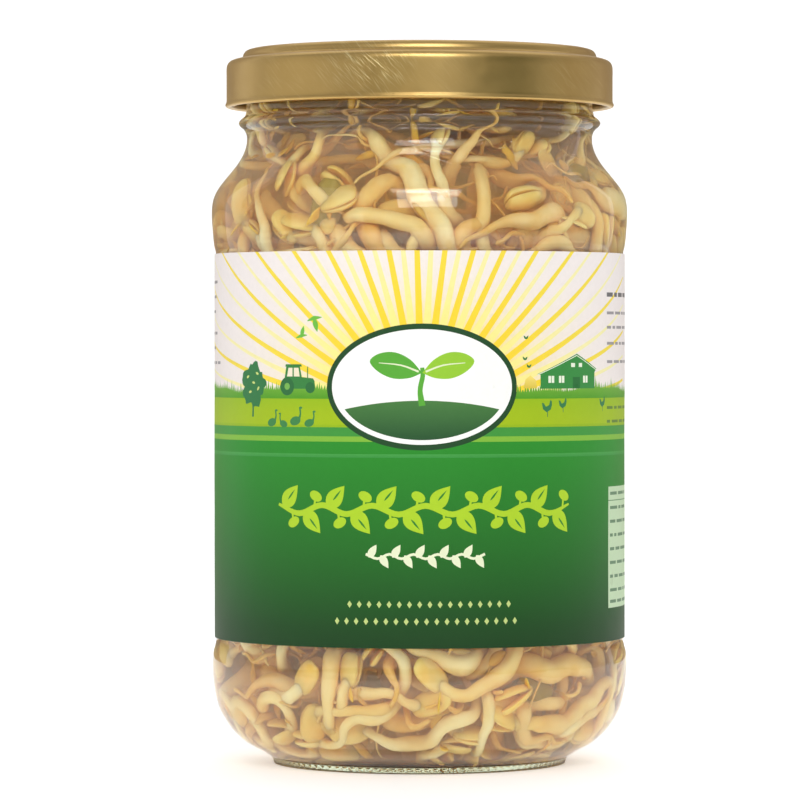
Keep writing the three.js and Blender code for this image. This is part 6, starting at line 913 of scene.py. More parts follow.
[0,115,87,106,133,798,103,129,826,81,125,846,61,132,851,41,136,845,20,134,839,2,128,829,-11,118,814,-12,100,800,-1,88,785,15,77,778,32,65,770,54,63,769,73,62,781,81,55,800,87,59,823,74,65,842,53,65,854,30,66,856,9,71,845],
[0,118,86,-6,129,1034,19,121,1036,42,104,1035,55,89,1028,72,90,1017,80,103,1002,87,120,995,104,129,987,114,137,971,111,150,955,109,164,942,118,181,934,115,200,925,103,217,924,90,232,928,91,257,932,98,276,916,95,302,915,84,321,903,65,324,888],
[0,79,99,-275,-69,270,-270,-39,267,-246,-23,260,-236,-21,248,-230,-13,236,-229,-10,221,-229,-9,205,-238,-10,191,-247,-21,184,-250,-37,179,-248,-50,187,-247,-62,196,-249,-75,204,-253,-88,213,-243,-97,222,-236,-104,237,-232,-97,253,-223,-82,259,-217,-67,254,-208,-56,244],
[0,120,108,255,102,1045,241,97,1077,239,120,1098,219,137,1091,203,135,1072,190,120,1056,178,115,1035,164,103,1018,147,89,1005,138,85,982,130,86,958,120,76,937,122,67,914,111,69,890,109,58,867,97,40,850,82,21,839,77,6,816,83,-9,794,76,-18,770],
[0,119,86,63,83,982,73,61,995,86,36,988,85,14,980,73,-5,975,59,-22,967,46,-38,958,39,-58,947,32,-79,946,23,-100,948,12,-120,942,3,-140,936,-5,-161,934,-10,-183,931,-15,-205,929,-18,-222,927,-24,-239,928,-30,-255,935,-30,-273,937,-23,-288,930],
[0,85,94,-60,165,801,-74,166,776,-89,160,752,-95,149,735,-107,134,726,-122,120,724,-139,108,725,-154,94,721,-167,77,723,-182,64,722,-202,55,721,-219,45,726,-235,34,736,-249,23,745,-264,11,754,-282,-2,771,-300,-9,791,-314,-14,814,-325,-18,839,-331,-17,867],
[0,92,95,181,-115,833,209,-108,826,235,-100,820,260,-100,810,284,-114,810,292,-134,826,289,-139,852,289,-137,879,288,-145,903,290,-149,929,291,-147,954,275,-149,977,251,-156,987,227,-154,998,201,-149,1003,184,-145,1015,171,-151,1030,153,-157,1038,134,-158,1047,118,-157,1060],
[0,108,111,131,-1,854,110,-27,848,94,-46,864,74,-67,863,63,-86,843,72,-99,819,87,-104,796,104,-97,773,134,-91,775,151,-76,793,155,-58,815,166,-58,842,170,-61,870,158,-76,894,137,-97,898,121,-114,890,106,-130,879,99,-148,865,103,-162,846,113,-170,826],
[0,114,91,-136,-228,95,-147,-255,94,-150,-277,110,-152,-282,129,-150,-285,147,-148,-285,166,-146,-284,185,-143,-281,205,-133,-267,216,-123,-248,213,-116,-236,200,-110,-229,182,-103,-222,166,-95,-214,151,-88,-214,132,-81,-232,112,-71,-257,115,-77,-282,121,-92,-302,129,-99,-314,152],
[0,116,96,-40,2,1117,-46,-25,1106,-50,-51,1094,-49,-71,1085,-41,-90,1076,-30,-108,1068,-16,-124,1061,-1,-137,1052,13,-151,1043,28,-167,1037,46,-180,1034,65,-189,1025,86,-192,1020,107,-198,1017,123,-213,1010,145,-229,1009,173,-228,1011,200,-227,1011,226,-226,1000,249,-218,989],
[0,101,90,-285,-37,224,-264,-54,230,-240,-67,221,-226,-76,218,-208,-76,217,-191,-75,215,-174,-73,212,-157,-68,210,-145,-55,211,-134,-42,210,-119,-33,208,-108,-21,201,-102,-6,193,-97,10,189,-93,26,183,-84,45,182,-73,64,182,-68,84,178,-63,104,180,-60,125,185],
[0,105,92,-314,45,207,-310,55,233,-303,49,260,-295,52,277,-302,54,295,-302,65,312,-290,73,325,-276,75,338,-267,85,352,-260,99,363,-255,113,375,-246,124,388,-244,137,402,-242,145,420,-234,147,438,-226,143,450,-220,139,463,-220,137,478,-213,136,492,-199,137,499],
[0,93,107,8,313,880,31,296,863,60,300,858,78,291,854,94,281,860,115,285,866,130,292,878,131,294,900,123,297,917,107,294,930,90,283,935,75,274,942,60,261,945,43,253,937,30,245,924,23,242,910,27,241,894,37,235,882,49,235,872,65,236,869],
[0,76,103,305,65,771,306,62,740,318,72,714,317,75,693,317,72,671,314,78,650,301,78,632,287,74,616,269,69,605,253,64,591,244,51,575,233,40,560,219,29,547,203,15,542,188,-1,540,167,-18,539,148,-35,532,128,-53,528,112,-74,533,96,-93,544],
[0,97,99,-24,18,841,-11,2,863,6,-8,884,14,-22,898,14,-36,914,8,-52,928,1,-67,941,-4,-80,958,-6,-96,972,-14,-111,986,-20,-129,996,-29,-143,1010,-35,-160,1021,-45,-176,1032,-57,-188,1045,-69,-208,1053,-80,-224,1066,-89,-238,1084,-96,-254,1101,-99,-259,1124],
[0,107,110,-105,60,91,-120,29,93,-140,14,109,-146,6,130,-156,2,150,-172,1,167,-195,-1,172,-213,9,186,-216,16,209,-227,16,229,-230,26,250,-237,42,266,-253,54,277,-272,61,288,-285,80,291,-290,90,302,-294,101,312,-298,114,318,-301,126,326,-300,138,334],
[0,81,99,57,-58,619,61,-86,632,78,-109,635,85,-123,643,86,-134,656,92,-144,668,94,-157,679,95,-172,688,103,-182,699,115,-188,711,127,-197,718,129,-210,730,128,-219,744,127,-229,757,128,-240,770,132,-256,791,138,-274,808,142,-293,826,137,-301,850,139,-301,876],
[0,93,93,223,-141,597,198,-143,612,171,-136,619,148,-123,610,137,-100,599,128,-78,585,129,-54,569,139,-33,553,138,-9,539,141,10,518,150,28,500,160,48,483,168,65,462,182,84,446,192,103,428,195,110,414,201,119,403,206,129,392,209,138,379,212,148,368],
[0,117,110,282,-136,334,267,-159,315,255,-180,299,247,-192,295,234,-201,290,220,-207,287,209,-219,289,197,-228,294,181,-231,296,166,-235,293,151,-239,293,136,-245,298,125,-251,308,118,-262,317,115,-276,325,100,-293,337,82,-309,347,59,-316,353,38,-326,364,17,-330,378],
[0,120,87,29,-187,895,33,-207,914,32,-214,943,21,-212,969,4,-198,986,-18,-182,994,-40,-165,988,-57,-150,973,-61,-135,949,-58,-135,921,-48,-135,895,-31,-140,873,-16,-150,850,-6,-154,825,5,-156,799,17,-150,777,37,-153,762,49,-168,745,55,-183,727,66,-193,706],
[0,87,105,-92,-191,733,-74,-168,746,-54,-146,750,-45,-132,744,-38,-120,734,-33,-106,724,-25,-97,711,-21,-92,694,-20,-85,677,-17,-71,666,-8,-59,657,-3,-47,645,3,-35,632,15,-24,625,26,-13,615,30,5,602,30,20,586,34,33,567,42,36,546,50,39,525],
[0,81,93,-168,-36,720,-184,-44,742,-193,-52,768,-194,-51,784,-190,-49,798,-180,-51,810,-169,-49,820,-155,-49,827,-140,-49,828,-125,-43,826,-112,-45,817,-104,-49,805,-96,-49,792,-92,-51,777,-94,-55,762,-104,-60,750,-119,-66,746,-131,-77,743,-146,-84,744,-160,-90,751],
[0,104,86,37,-122,1095,19,-110,1112,-5,-99,1123,-29,-97,1120,-49,-102,1107,-59,-112,1087,-59,-129,1069,-49,-150,1061,-29,-162,1054,-8,-173,1061,11,-172,1076,20,-167,1099,17,-158,1121,3,-147,1138,-18,-139,1147,-41,-137,1144,-61,-140,1134,-75,-149,1117,-78,-163,1099,-69,-173,1080],
[0,78,98,129,138,274,106,143,293,87,139,315,83,140,332,82,139,349,86,140,366,94,138,382,94,141,400,86,144,415,78,150,430,76,162,443,71,167,459,71,165,477,66,164,494,57,166,509,47,169,527,36,171,544,24,176,561,11,182,576,-4,182,591],
[0,122,106,-264,170,728,-264,166,695,-263,158,668,-251,158,641,-232,163,619,-209,180,608,-190,200,597,-168,214,582,-147,227,566,-134,243,544,-109,255,531,-83,270,522,-69,279,497,-46,273,477,-30,276,452,-21,278,429,-9,290,410,-3,309,394,8,314,372,17,309,349],
[0,99,103,199,243,362,206,214,353,195,187,346,186,173,330,179,168,310,174,167,288,168,164,266,162,163,244,156,159,223,149,160,202,140,163,181,134,159,159,134,150,139,133,148,116,128,146,94,120,141,82,119,136,68,113,132,54,103,135,43,92,146,42],
[0,120,93,71,258,1069,52,235,1069,36,214,1058,32,203,1032,33,181,1015,17,166,995,12,143,981,4,129,957,-8,105,947,-6,75,944,-12,52,961,-27,39,983,-32,26,1008,-38,3,1025,-52,-16,1041,-56,-20,1055,-58,-27,1067,-61,-34,1079,-66,-41,1090,-68,-48,1102],
[0,114,111,65,117,317,68,110,351,74,106,379,68,103,394,59,103,408,47,107,418,33,107,427,19,107,436,4,109,443,-12,108,443,-28,108,437,-42,109,430,-54,112,419,-59,112,403,-63,103,388,-72,92,381,-77,83,370,-83,80,355,-86,76,341,-85,69,327],
[0,85,91,-58,311,428,-29,311,424,-6,295,434,11,270,432,18,241,426,17,214,411,15,187,397,7,159,389,0,133,375,-12,106,365,-35,89,355,-53,68,342,-57,40,329,-67,16,314,-88,1,296,-106,-8,283,-118,-26,274,-136,-39,265,-156,-50,258,-177,-56,250],
[0,99,101,-82,-243,975,-101,-234,951,-125,-226,938,-140,-217,934,-150,-201,936,-160,-187,943,-173,-174,949,-186,-162,953,-200,-151,955,-212,-136,958,-224,-122,959,-241,-114,962,-256,-106,970,-272,-95,965,-282,-85,953,-294,-78,931,-312,-63,921,-324,-43,909,-330,-28,889,-330,-22,865],
[0,77,105,182,-152,225,154,-132,228,138,-119,208,137,-116,181,147,-104,161,166,-98,145,190,-109,141,208,-119,157,222,-139,166,235,-143,189,243,-125,208,240,-99,210,228,-77,205,208,-59,203,194,-57,178,184,-61,170,177,-72,163,179,-86,157,188,-92,147,195,-90,135],
[0,77,102,-68,120,1094,-67,151,1091,-56,175,1079,-42,184,1065,-27,180,1049,-12,168,1039,4,159,1027,23,150,1018,38,147,1003,48,145,983,58,138,965,72,130,949,93,124,944,112,112,944,130,104,934,144,93,923,159,83,914,173,70,905,187,56,899,201,42,895],
[0,92,96,-22,148,1164,-28,119,1160,-36,98,1142,-46,91,1130,-60,89,1121,-75,87,1112,-85,85,1098,-90,82,1082,-96,74,1068,-103,60,1059,-104,46,1050,-100,33,1039,-102,18,1031,-108,6,1020,-103,-3,1006,-95,-13,995,-90,-21,981,-90,-29,966,-93,-40,955,-98,-53,947],
[0,95,106,140,-280,133,166,-265,146,178,-241,151,174,-224,153,168,-209,148,164,-195,139,162,-183,128,159,-169,119,153,-154,115,149,-138,115,148,-121,116,148,-104,115,145,-89,110,142,-72,108,137,-57,113,132,-35,119,132,-13,113,134,8,103,137,30,99,140,53,98],
[0,105,102,52,-245,450,52,-215,457,57,-186,453,58,-164,471,65,-159,498,64,-165,526,57,-173,551,48,-186,575,48,-204,597,52,-216,623,47,-217,651,43,-230,676,38,-247,699,38,-248,728,42,-258,753,39,-270,774,39,-283,794,35,-298,812,35,-307,834,33,-324,850],
[0,81,103,-124,-7,535,-102,7,516,-81,23,505,-63,34,508,-45,45,509,-31,60,517,-19,72,530,-6,77,546,9,82,560,23,88,576,32,98,593,40,107,611,45,110,632,54,111,652,68,110,668,78,109,686,78,111,705,76,109,725,75,108,744,78,109,763],
[0,86,98,-189,94,401,-190,90,432,-201,97,458,-205,106,475,-211,115,490,-212,125,508,-202,141,516,-186,149,523,-171,160,529,-155,170,531,-139,179,528,-123,185,518,-108,186,506,-96,193,492,-81,194,479,-69,184,456,-64,165,437,-66,138,431,-74,113,438,-87,94,452],
[0,92,107,-152,186,987,-132,198,1010,-112,198,1031,-96,195,1042,-80,189,1049,-66,177,1053,-51,165,1057,-33,160,1062,-20,147,1067,-8,132,1065,4,117,1066,12,100,1066,21,84,1072,39,75,1069,55,70,1060,68,61,1053,78,47,1048,87,33,1041,96,21,1033,107,11,1024],
[0,124,105,172,-13,179,157,-8,208,148,10,229,134,34,239,118,57,227,108,75,205,91,96,196,78,122,190,67,149,183,50,172,182,30,194,177,22,223,180,12,243,201,-5,266,206,-26,285,214,-39,300,224,-52,314,235,-65,321,251,-78,320,269,-87,318,288],
[0,102,93,-302,93,681,-306,72,662,-309,56,638,-306,56,616,-293,60,600,-283,76,588,-277,96,585,-273,116,592,-267,130,607,-263,135,628,-266,130,649,-273,116,663,-269,98,674,-269,76,676,-270,58,665,-266,45,649,-260,40,629,-256,45,609,-252,61,595,-245,80,590],
[0,84,97,-274,-150,604,-268,-121,613,-268,-92,615,-275,-72,608,-285,-58,594,-296,-45,579,-306,-27,569,-311,-6,563,-314,16,563,-315,38,569,-313,57,579,-312,77,590,-303,94,603,-293,109,616,-290,129,627,-289,142,633,-286,153,641,-282,163,650,-278,172,660,-274,181,670],
[0,95,108,273,153,507,256,131,489,243,121,466,237,119,448,239,119,430,244,120,412,248,121,394,248,123,376,250,125,357,253,129,339,251,129,321,258,129,303,267,132,287,273,134,270,278,139,253,282,141,235,283,138,217,283,137,199,284,136,181,285,134,163],
[0,85,97,67,-202,536,86,-216,517,104,-213,495,119,-220,470,126,-232,445,126,-235,414,112,-231,388,97,-233,363,86,-239,336,72,-247,310,60,-244,284,48,-250,257,35,-254,231,27,-254,202,13,-255,176,-11,-261,161,-33,-260,144,-43,-251,120,-59,-252,97,-75,-249,75],
[0,118,112,141,279,807,109,291,808,85,305,818,59,309,815,36,304,802,19,294,786,-1,285,771,-24,279,760,-43,272,744,-60,257,729,-78,255,710,-98,251,693,-119,244,679,-143,237,671,-165,229,660,-183,228,647,-201,224,635,-219,220,624,-238,215,615,-254,210,602],
[0,114,92,73,-27,629,95,-41,643,106,-45,670,108,-56,693,101,-49,717,110,-41,739,114,-29,760,112,-8,774,120,14,780,127,38,780,123,60,769,124,78,752,129,98,739,134,113,720,143,119,698,150,122,683,154,125,667,157,123,650,160,113,637,166,97,632],
[0,123,86,97,-66,522,99,-43,507,93,-20,491,78,-2,475,57,11,462,34,22,451,8,30,441,-20,29,436,-46,20,429,-74,16,427,-96,-1,434,-124,-6,437,-149,-16,433,-175,-27,431,-201,-38,432,-225,-51,439,-244,-67,452,-261,-87,463,-283,-101,474,-299,-120,485],
[0,82,100,288,-69,220,297,-97,225,298,-124,236,290,-139,245,275,-149,251,263,-161,243,251,-172,235,237,-185,233,225,-193,220,217,-196,203,214,-194,184,226,-192,167,227,-193,147,217,-194,130,207,-187,115,206,-193,99,212,-193,83,211,-194,66,198,-187,58,190,-176,51],
[0,108,107,186,157,914,168,181,930,160,194,955,150,196,984,125,204,998,95,209,990,68,199,990,40,203,992,12,207,998,-15,200,1004,-40,201,1016,-62,207,1034,-79,215,1055,-96,214,1077,-107,214,1103,-126,222,1118,-136,228,1139,-134,240,1162,-117,249,1178,-94,259,1178],
[0,124,103,-8,177,249,14,182,226,43,178,220,65,167,234,75,165,261,66,159,287,46,161,307,17,158,309,-2,141,294,0,133,267,-3,139,239,13,142,216,41,142,210,66,139,225,79,136,250,79,132,266,74,126,281,63,115,290,49,109,296,35,104,303],
[0,78,90,-86,234,132,-61,224,138,-33,231,142,-12,236,154,-7,231,178,-8,213,195,-14,198,213,-30,192,231,-39,183,253,-49,167,268,-52,154,288,-64,140,305,-85,130,312,-111,132,311,-132,123,322,-142,121,334,-153,125,345,-169,123,346,-182,114,346,-196,109,349],
[0,81,110,-60,-16,547,-61,-15,513,-60,-25,485,-76,-35,464,-97,-52,456,-115,-74,454,-137,-91,447,-153,-106,428,-164,-119,406,-176,-134,385,-199,-143,370,-218,-158,356,-238,-168,339,-250,-175,314,-254,-186,288,-257,-191,274,-261,-196,261,-262,-201,247,-262,-202,232,-264,-200,218],
[0,102,99,-153,-207,115,-163,-183,100,-170,-179,72,-177,-172,58,-186,-158,57,-199,-148,59,-206,-135,67,-216,-123,72,-224,-116,84,-232,-103,91,-244,-92,95,-253,-83,105,-255,-70,117,-267,-58,118,-283,-51,119,-296,-33,136,-303,-16,156,-304,3,175,-315,19,194,-330,31,212],
[0,98,98,-232,214,364,-221,222,337,-212,233,311,-198,239,304,-183,248,304,-173,258,313,-166,265,327,-159,262,343,-166,264,358,-168,264,376,-174,254,389,-183,240,394,-193,227,393,-200,213,387,-206,201,376,-206,197,352,-191,198,335,-171,206,327,-154,222,326,-141,237,339],
[0,114,93,166,112,386,150,119,408,144,136,431,146,144,445,145,147,462,153,158,472,162,163,485,174,164,497,190,169,501,205,174,499,221,179,500,237,181,495,251,183,487,262,182,474,265,179,458,268,181,437,274,178,416,276,179,395,273,184,374,269,191,354],
[0,100,98,-268,47,746,-254,71,760,-241,87,779,-225,90,801,-224,91,828,-234,84,852,-252,74,870,-273,58,878,-297,46,866,-301,48,838,-310,66,820,-310,76,795,-305,96,778,-297,122,776,-278,139,786,-266,140,798,-257,142,812,-251,144,827,-249,142,844,-252,136,859],
[0,113,102,280,144,360,286,126,385,279,110,409,272,90,420,262,67,421,251,45,422,239,24,424,227,4,434,225,-15,451,222,-37,461,218,-58,475,211,-77,489,210,-99,501,202,-114,520,195,-132,535,193,-141,549,189,-147,563,186,-154,578,187,-166,589,188,-177,600],
[0,77,85,-208,-36,881,-192,-43,901,-171,-59,913,-147,-77,906,-136,-96,886,-132,-111,861,-134,-124,834,-139,-133,806,-148,-139,778,-161,-145,752,-167,-152,723,-177,-156,695,-191,-157,668,-209,-152,645,-226,-151,620,-241,-145,601,-258,-137,585,-278,-127,573,-297,-114,564,-316,-98,559],
[0,114,96,-160,28,1037,-161,8,1016,-169,-13,997,-164,-21,977,-149,-26,961,-131,-25,949,-110,-24,944,-88,-26,941,-68,-32,948,-51,-37,960,-39,-39,978,-27,-34,997,-15,-28,1013,-2,-24,1030,13,-21,1046,28,-19,1064,43,-20,1082,58,-18,1100,74,-11,1115,89,-6,1133],
[0,117,89,-283,90,812,-273,96,786,-277,107,759,-283,116,747,-284,123,732,-280,126,716,-271,126,702,-257,125,693,-246,125,682,-237,124,668,-229,123,655,-219,123,641,-210,122,628,-204,119,613,-193,116,602,-179,112,593,-166,113,583,-153,117,573,-138,119,568,-125,119,558],
[0,96,96,46,-152,807,37,-131,787,19,-117,770,-1,-110,749,-11,-118,723,-25,-128,698,-46,-144,683,-53,-164,662,-73,-182,648,-87,-190,622,-94,-203,596,-112,-214,575,-124,-229,553,-141,-247,535,-159,-254,513,-165,-257,497,-174,-263,484,-182,-270,471,-188,-272,455,-191,-270,438],
[0,109,86,-164,-220,387,-163,-242,371,-168,-258,347,-175,-257,325,-187,-247,309,-203,-232,302,-213,-214,294,-218,-195,282,-229,-175,280,-234,-155,292,-231,-139,308,-227,-118,316,-225,-96,322,-234,-76,332,-248,-68,348,-254,-60,362,-255,-48,372,-254,-38,385,-252,-27,397,-251,-15,409],
[0,109,112,1,113,588,-19,85,587,-41,65,587,-57,53,577,-79,48,572,-97,40,561,-109,34,541,-129,38,530,-149,43,520,-168,43,509,-189,43,500,-210,44,491,-229,39,480,-249,38,470,-265,37,453,-280,33,439,-299,31,428,-316,32,415,-328,33,397,-329,34,376],
[0,81,106,158,234,476,145,229,446,122,235,429,101,231,419,78,233,415,55,237,414,33,241,406,11,250,403,-12,254,402,-34,258,396,-57,261,390,-79,263,383,-102,262,379,-125,269,379,-144,278,367,-157,285,353,-173,279,342,-189,271,335,-203,261,325,-215,252,314],
[0,78,95,32,-199,1004,33,-171,994,36,-148,977,38,-137,957,38,-133,935,37,-136,912,36,-146,892,34,-153,869,40,-163,849,35,-172,829,32,-186,811,27,-205,798,30,-226,789,30,-242,772,20,-254,755,18,-265,740,15,-272,724,14,-287,711,18,-305,711,18,-322,706],
[0,104,92,97,-266,741,113,-253,721,131,-241,702,138,-232,678,144,-230,653,144,-214,632,146,-198,611,162,-197,591,177,-186,573,199,-171,569,217,-155,562,238,-140,566,256,-123,577,275,-110,588,293,-100,604,303,-90,611,312,-79,615,321,-69,623,325,-57,632,327,-46,643],
[0,120,86,285,69,254,264,52,249,234,54,246,212,63,256,198,71,276,179,80,291,170,93,312,164,99,338,156,88,361,141,83,381,122,83,400,99,86,410,77,82,425,60,89,443,40,95,458,21,99,467,0,98,471,-20,94,477,-38,95,487,-54,100,500],
[0,105,100,153,-145,963,182,-132,964,205,-120,950,215,-107,940,226,-97,928,234,-85,915,238,-72,901,239,-60,885,249,-51,871,260,-43,858,267,-33,842,271,-21,827,275,-9,813,280,2,798,279,14,783,283,27,768,284,36,750,280,47,734,271,58,720,273,72,705],
[0,103,103,-17,265,152,-38,259,127,-36,236,107,-16,229,90,9,228,82,26,245,71,50,252,63,74,259,70,92,273,83,96,290,102,88,303,123,91,307,149,90,308,176,84,310,201,78,312,227,72,316,249,66,320,271,57,324,292,47,327,313,35,329,333],
[0,82,105,-62,79,938,-44,52,937,-39,25,946,-46,1,954,-56,-11,974,-68,-28,987,-85,-45,997,-109,-53,1001,-133,-53,996,-157,-47,989,-180,-37,987,-198,-19,983,-212,0,973,-217,21,958,-217,44,948,-219,58,941,-220,70,932,-221,84,928,-222,99,925,-224,113,923],
[0,100,105,97,-225,747,64,-223,744,36,-228,748,13,-229,766,6,-230,794,13,-228,823,18,-239,849,33,-246,873,41,-245,901,32,-242,929,28,-244,957,35,-242,986,44,-247,1012,57,-253,1037,70,-250,1062,82,-250,1081,95,-250,1099,108,-250,1117,120,-250,1135,131,-245,1153],
[0,102,111,-11,-4,1084,-39,11,1068,-51,21,1044,-61,24,1022,-61,23,997,-73,9,978,-73,2,954,-61,8,932,-39,11,921,-16,4,916,8,-1,915,31,-7,920,54,-14,924,78,-16,918,102,-18,915,128,-22,917,155,-26,916,181,-30,918,206,-33,922,232,-36,929],
[0,123,111,-67,-264,552,-72,-246,523,-87,-234,501,-102,-220,491,-110,-204,478,-124,-186,474,-136,-170,483,-147,-151,488,-160,-142,504,-168,-135,524,-180,-133,542,-190,-134,562,-197,-133,583,-205,-132,604,-212,-128,625,-222,-128,650,-233,-125,675,-243,-122,700,-252,-120,726,-263,-117,750],
[0,81,90,-99,-44,1087,-85,-62,1070,-81,-84,1051,-84,-97,1026,-97,-102,1002,-114,-103,980,-136,-103,963,-154,-99,941,-176,-91,926,-198,-76,916,-219,-60,906,-237,-50,887,-254,-32,874,-275,-12,872,-301,-4,883,-313,-2,893,-324,6,900,-332,19,905,-332,35,907,-331,49,914],
[0,79,92,36,-242,1107,31,-261,1086,25,-279,1064,24,-289,1045,28,-299,1026,36,-302,1006,39,-302,984,48,-294,964,58,-275,956,57,-253,957,57,-234,946,64,-213,940,78,-198,936,89,-178,934,98,-158,933,108,-134,930,118,-109,927,131,-85,927,141,-60,928,147,-34,930],
[0,115,105,211,232,827,225,216,802,235,222,775,223,230,752,200,238,743,174,244,745,148,240,747,122,244,750,99,255,742,75,265,741,51,274,739,25,278,741,0,281,733,-23,290,725,-45,304,721,-72,310,722,-98,309,720,-123,304,714,-147,295,708,-168,284,695],
[0,111,92,317,-36,909,317,-46,935,303,-62,956,296,-80,956,282,-89,948,264,-95,945,249,-104,952,238,-119,951,229,-134,946,226,-153,947,215,-168,947,204,-180,939,197,-197,941,192,-215,944,176,-227,947,171,-247,943,168,-265,935,155,-281,931,142,-296,927,129,-309,921],
[0,93,85,115,219,1105,140,209,1101,163,200,1085,172,192,1064,171,181,1043,168,174,1020,161,168,997,155,153,978,159,144,956,157,137,933,156,133,909,159,127,886,166,123,863,165,116,840,163,108,818,166,101,794,171,92,771,175,80,750,182,69,729,188,58,708],
[0,84,112,42,-134,149,22,-159,163,-2,-175,156,-14,-184,140,-25,-178,123,-28,-173,103,-22,-171,82,-1,-168,76,16,-167,89,36,-162,93,51,-161,109,60,-178,121,53,-194,134,36,-201,146,16,-209,147,-1,-214,137,-11,-214,120,-10,-220,101,-6,-213,82,5,-202,70],
[0,107,107,227,114,862,228,82,856,233,53,854,247,35,861,258,27,882,283,24,886,303,29,899,316,50,901,312,73,910,300,84,928,278,90,936,254,94,938,234,83,934,214,79,922,198,62,913,196,44,909,200,28,899,211,15,893,222,1,897,235,-9,907],
[0,118,86,249,-148,785,225,-137,779,197,-134,771,175,-135,778,158,-125,789,145,-122,807,126,-126,820,118,-136,839,123,-146,859,129,-145,881,145,-142,898,168,-139,903,189,-140,896,208,-128,891,225,-113,896,238,-98,889,243,-83,876,249,-74,858,250,-59,844,247,-44,831],
[0,105,87,-142,-2,230,-131,-24,240,-116,-40,259,-115,-48,274,-115,-54,289,-113,-60,304,-114,-65,320,-122,-69,335,-130,-75,348,-135,-79,363,-145,-83,376,-157,-87,388,-165,-87,403,-175,-90,415,-189,-96,424,-207,-97,437,-224,-102,451,-244,-102,462,-263,-103,474,-280,-99,489],
[0,115,101,157,273,294,166,265,265,173,266,237,172,257,222,163,245,213,148,242,205,139,242,191,134,231,178,130,215,172,121,201,174,109,190,177,94,185,183,84,181,197,82,181,214,78,191,227,64,194,242,58,208,256,61,224,269,69,242,275,82,258,272],
[0,96,92,-178,-85,56,-170,-57,58,-177,-32,71,-185,-17,71,-189,-3,61,-185,10,52,-183,27,53,-183,43,53,-192,58,54,-196,72,61,-202,87,63,-207,103,58,-207,119,59,-211,136,62,-216,145,75,-233,167,79,-236,189,95,-224,199,118,-225,216,138,-234,237,151],
[0,77,94,-316,10,446,-311,-2,419,-295,-6,395,-288,-4,380,-284,3,365,-280,7,349,-276,6,333,-267,14,320,-258,24,309,-259,30,292,-263,29,276,-263,32,259,-254,34,244,-249,44,231,-250,51,215,-247,64,203,-251,78,193,-255,93,184,-261,109,180,-263,119,166],
[0,85,109,-88,177,263,-90,143,258,-80,117,264,-66,98,268,-44,92,269,-22,88,261,-4,76,255,15,71,241,32,60,231,51,48,226,72,40,218,93,41,210,112,34,199,132,28,189,154,22,186,176,19,180,196,14,173,213,7,161,234,4,153,254,3,143],
[0,102,104,-295,109,393,-300,86,372,-316,70,353,-313,53,336,-296,42,323,-289,30,304,-281,9,294,-260,-2,288,-241,-14,282,-220,-24,279,-204,-39,270,-198,-59,258,-193,-81,252,-186,-104,251,-184,-127,244,-185,-145,229,-193,-165,224,-197,-187,218,-193,-208,210,-194,-229,200],
[0,93,103,-193,-248,729,-171,-261,710,-146,-276,706,-130,-277,709,-117,-278,717,-104,-282,726,-89,-281,732,-75,-281,740,-60,-282,745,-45,-277,747,-30,-274,750,-14,-279,751,1,-281,751,17,-282,754,32,-285,758,59,-284,758,86,-288,754,111,-293,745,137,-295,737,160,-290,725],
[0,94,103,178,182,205,197,208,200,196,237,197,204,249,181,212,247,162,221,236,148,230,223,137,242,208,131,251,193,122,254,179,108,262,162,103,270,144,99,272,125,90,266,110,79,259,95,68,257,75,61,266,57,60,271,37,60,271,17,57,269,-3,56],
[0,90,109,247,149,450,271,146,426,285,157,402,278,168,377,271,176,351,256,193,331,234,202,314,208,210,303,183,219,290,165,230,270,146,234,247,122,243,233,98,249,217,69,249,210,42,251,199,31,258,190,17,258,185,3,263,180,-7,272,173,-20,279,169],
[0,120,98,314,24,754,312,30,784,310,45,808,309,63,820,308,84,824,300,103,818,293,120,808,285,137,799,279,148,782,277,151,760,269,144,742,263,129,727,261,109,722,251,90,718,238,75,726,229,55,742,225,42,765,233,36,791,242,47,815,240,62,837],
[0,119,110,119,-71,68,106,-61,99,111,-68,126,113,-64,151,128,-60,171,147,-55,187,156,-47,210,172,-48,231,187,-61,247,198,-72,268,217,-79,284,237,-72,300,248,-64,322,254,-63,347,267,-55,368,270,-45,391,273,-44,416,276,-42,440,279,-40,465,286,-39,489],
[0,114,102,147,-243,475,152,-212,465,169,-190,472,180,-170,476,185,-147,473,190,-124,474,185,-102,479,178,-82,492,185,-70,511,185,-56,529,187,-36,542,192,-22,559,190,-5,575,190,8,595,189,19,615,190,31,636,191,41,659,182,55,678,181,64,702,180,76,723],
[0,90,109,9,82,868,-17,81,889,-42,72,901,-62,73,906,-81,79,913,-96,94,911,-111,107,918,-130,112,926,-144,109,941,-158,107,955,-178,102,961,-196,91,956,-213,84,948,-232,77,946,-252,74,949,-277,79,952,-299,70,957,-321,58,957,-334,39,964,-335,19,978],
[0,121,89,121,-137,652,101,-150,637,84,-173,642,66,-189,631,43,-182,621,28,-172,602,6,-169,589,-16,-168,576,-38,-167,562,-62,-172,553,-81,-165,537,-107,-168,532,-131,-169,524,-155,-178,515,-171,-181,494,-177,-192,477,-186,-208,466,-204,-215,457,-222,-222,449,-237,-229,438],
[0,87,90,-6,112,409,7,88,404,28,68,403,38,42,390,30,15,380,13,-10,378,-12,-26,374,-41,-29,371,-69,-18,367,-89,2,358,-111,21,363,-125,47,367,-143,69,376,-160,92,384,-173,118,392,-176,132,389,-182,145,384,-189,158,388,-196,170,392,-203,183,394],
[0,120,95,-81,215,273,-52,224,277,-29,209,289,-19,191,302,-19,169,312,-31,150,320,-41,132,330,-50,119,348,-72,115,358,-93,104,359,-116,99,360,-141,102,359,-158,120,365,-179,131,362,-202,138,358,-213,148,351,-225,154,341,-237,159,331,-253,163,327,-269,165,324],
